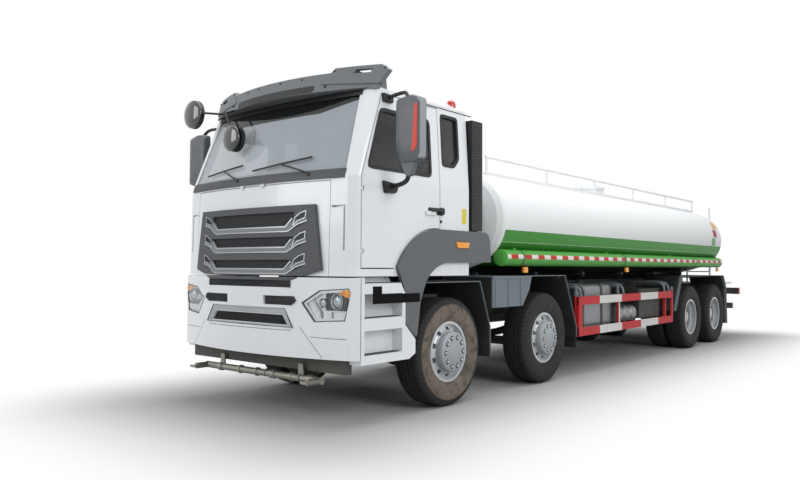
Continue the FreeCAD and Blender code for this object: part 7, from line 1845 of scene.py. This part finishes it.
@dataclass
class Stage:
    """Floor, world, lamps and the camera at the photograph's place."""

    camera_place: Point = (5.4216, -10.130, 1.3863)
    azimuth: float = 39.902
    pitch: float = 2.111
    roll: float = 0.2866
    lens: float = 32.51
    shadow_half: Point = (1.1, 5.9, 1.0)
    shadow_fade: float = 2.1

    def camera(self) -> None:
        """Places the camera: its axes are the view direction turned by pitch and roll."""
        turn, lift, lean = (math.radians(angle) for angle in (self.azimuth, self.pitch, self.roll))
        view = np.array([-math.sin(turn) * math.cos(lift), math.cos(turn) * math.cos(lift),
                         math.sin(lift)])
        right = np.cross(view, [0, 0, 1])
        right /= np.linalg.norm(right)
        up = np.cross(right, view)
        data = bpy.data.cameras.new("photo_camera")
        data.lens, data.sensor_width, data.clip_end = self.lens, 36.0, 200.0
        thing = bpy.data.objects.new("photo_camera", data)
        matrix = np.eye(4)
        matrix[:3, 0] = right * math.cos(lean) + up * math.sin(lean)
        matrix[:3, 1] = -right * math.sin(lean) + up * math.cos(lean)
        matrix[:3, 2], matrix[:3, 3] = -view, self.camera_place
        thing.matrix_world = Matrix(matrix.tolist())
        bpy.context.scene.collection.objects.link(thing)
        bpy.context.scene.camera = thing

    def floor(self) -> None:
        """A wide disc that keeps the shadow, painted grey as shade near the truck, fading into
        white.
        """
        rings = np.array([60.0, 12.0])[:, None]
        patch = grid(np.stack(np.broadcast_arrays(*(rings * part for part in circle(64)), 0.0),
                              axis=-1))
        outer_cap = -2
        del patch.faces[outer_cap]
        mesh = bpy.data.meshes.new("floor")
        mesh.from_pydata(patch.points.tolist(), [], patch.faces)
        thing = bpy.data.objects.new("floor", mesh)
        bpy.context.scene.collection.objects.link(thing)
        material = bpy.data.materials.new("studio_floor")
        tree = fresh(material)
        path = add(tree, "LightPath").outputs
        seen = add(tree, "Math", (path["Is Camera Ray"], path["Is Glossy Ray"]),
                   operation="MAXIMUM")
        place = add(tree, "TexCoord").outputs["Object"]
        wide = add(tree, "VectorMath", (place,), operation="ABSOLUTE")
        past = add(tree, "VectorMath", (wide, self.shadow_half), operation="SUBTRACT")
        past = add(tree, "VectorMath", (past, (0.0, 0.0, 0.0)), operation="MAXIMUM")
        away = add(tree, "VectorMath", (past,), operation="LENGTH")
        fade = add(tree, "MapRange", (away, 0.0, self.shadow_fade, 0.0, 1.0),
                   interpolation_type="SMOOTHSTEP")
        share = add(tree, "Math", (seen, fade), operation="MULTIPLY")
        # Grey 0.45 diffuse near the truck: a painted shade halo that fades into white emission
        # further out.
        plain = add(tree, "BsdfDiffuse", {"Color": (0.45, 0.45, 0.45, 1.0)})
        light = add(tree, "Emission", {"Color": (1, 1, 1, 1), "Strength": 1.0})
        mix = add(tree, "MixShader", (share, plain, light))
        add(tree, "OutputMaterial", {"Surface": mix})
        mesh.materials.append(material)

    def world(self) -> None:
        """White where the camera, a mirror or glass looks, and softer as a light."""
        made = bpy.data.worlds.new("studio")
        tree = fresh(made)
        path = add(tree, "LightPath").outputs
        seen = add(tree, "Math", (path["Is Camera Ray"], path["Is Transmission Ray"]),
                   operation="MAXIMUM")
        seen = add(tree, "Math", (seen, path["Is Glossy Ray"]), operation="MAXIMUM")
        soft = add(tree, "Background", {"Color": (0.97, 0.985, 1.0, 1.0), "Strength": 0.60})
        bright = add(tree, "Background", {"Color": (1, 1, 1, 1), "Strength": 1.0})
        mix = add(tree, "MixShader", (seen, soft, bright))
        add(tree, "OutputWorld", {"Surface": mix})
        bpy.context.scene.world = made

    @staticmethod
    def lamp(name: str, place: Point, size: float, power: float) -> None:
        """Adds a square soft lamp that faces the middle of the truck.

        Args:
            name: The lamp's name.
            place: Where it hangs.
            size: Its side in metres.
            power: Its power in watts.
        """
        data = bpy.data.lights.new(name, "AREA")
        data.size, data.energy = size, power
        thing = bpy.data.objects.new(name, data)
        thing.location = place
        aim = Vector((0.0, -1.0, 1.2)) - Vector(place)
        thing.rotation_euler = aim.to_track_quat("-Z", "Y").to_euler()
        bpy.context.scene.collection.objects.link(thing)

    def build(self) -> None:
        """Builds the whole studio."""
        self.camera()
        self.floor()
        self.world()
        self.lamp("overhead_softbox", (1.0, -1.5, 9.5), 9.0, 640.0)
        self.lamp("left_softbox", (10.5, -6.0, 6.0), 5.0, 400.0)
        self.lamp("nose_softbox", (-3.5, -13.0, 5.0), 5.0, 280.0)
        bpy.context.scene.view_settings.view_transform = "Standard"


CARRIED = {
    "cab_enamel": ("cab_floor", "cab_roof", "cab_rear_wall", "cab_front", "cab_sides",
                   "door_left", "door_right", "front_flap", "bumper", "step_panels"),
    "grey_plastic": ("arch_flares",),
    "dark_grey_plastic": ("grille_bars",),
    "visor_grey": ("sun_visor",),
    "laminated_glass": ("cab_glass",),
    "tempered_glass": ("door_glass_left", "door_glass_right"),
    "clear_lens": ("headlamps",),
    "black_plastic": ("kerb_mirrors", "intake_stack", "mirror_left", "mirror_right"),
    "cabin_grey": ("dashboard",),
    "seat_cloth": ("seats",),
    "chassis_black": ("leaf_springs", "side_boxes", "rear_underrun"),
    "under_bar_grey": ("chassis_frame",),
    "cast_iron": ("axles", "power_train", *(f"knuckle_{name}_{side.word}"
                                            for name, _ in STEERED for side in Side)),
    "rim_silver": tuple(f"wheel{'' if (name, axle) in STEERED else 's'}_{name}_{side.word}"
                        for name, axle in STEERED + DRIVEN for side in Side),
    "galvanised_pipe": ("spray_bar",),
    "tank_enamel": ("tank",),
    "plain_enamel": ("manhole_neck", "manhole_lid", "tank_rail", "rear_platform"),
    "hose_green": ("hose_tubes",),
    "guard_blue_grey": ("mudguards", "tank_cradle"),
    "mill_aluminium": ("fuel_tank",),
    "guard_red": ("side_guards",),
}


def dress_frame(frame: dict, paints: Paintbox) -> None:
    """Gives every carried node its finish.

    Args:
        paints: The finishes.
    """
    for finish, names in CARRIED.items():
        for name in names:
            mesh = frame["nodes"][name].data
            mesh.materials.clear()
            mesh.materials.append(paints[finish])


def main() -> None:
    """Builds the studio, dresses the frame and adds each sub-assembly's detail."""
    logging.basicConfig(level=logging.INFO, format="%(message)s")
    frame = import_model()
    Stage().build()
    paints = Paintbox()
    dress_frame(frame, paints)
    builder = Builder(paints)
    for part in (Tyres, HubCaps, Grille, BumperFace, Headlamps, Screen, VisorTrim, DoorMirrors,
                 KerbMirrors, CabSides, Seats, TankDress, RoadGear, StepTrim, SprayBar):
        part(builder).build()
    LOG.info("%d pieces", builder.count)


if __name__ == "__main__":
    main()
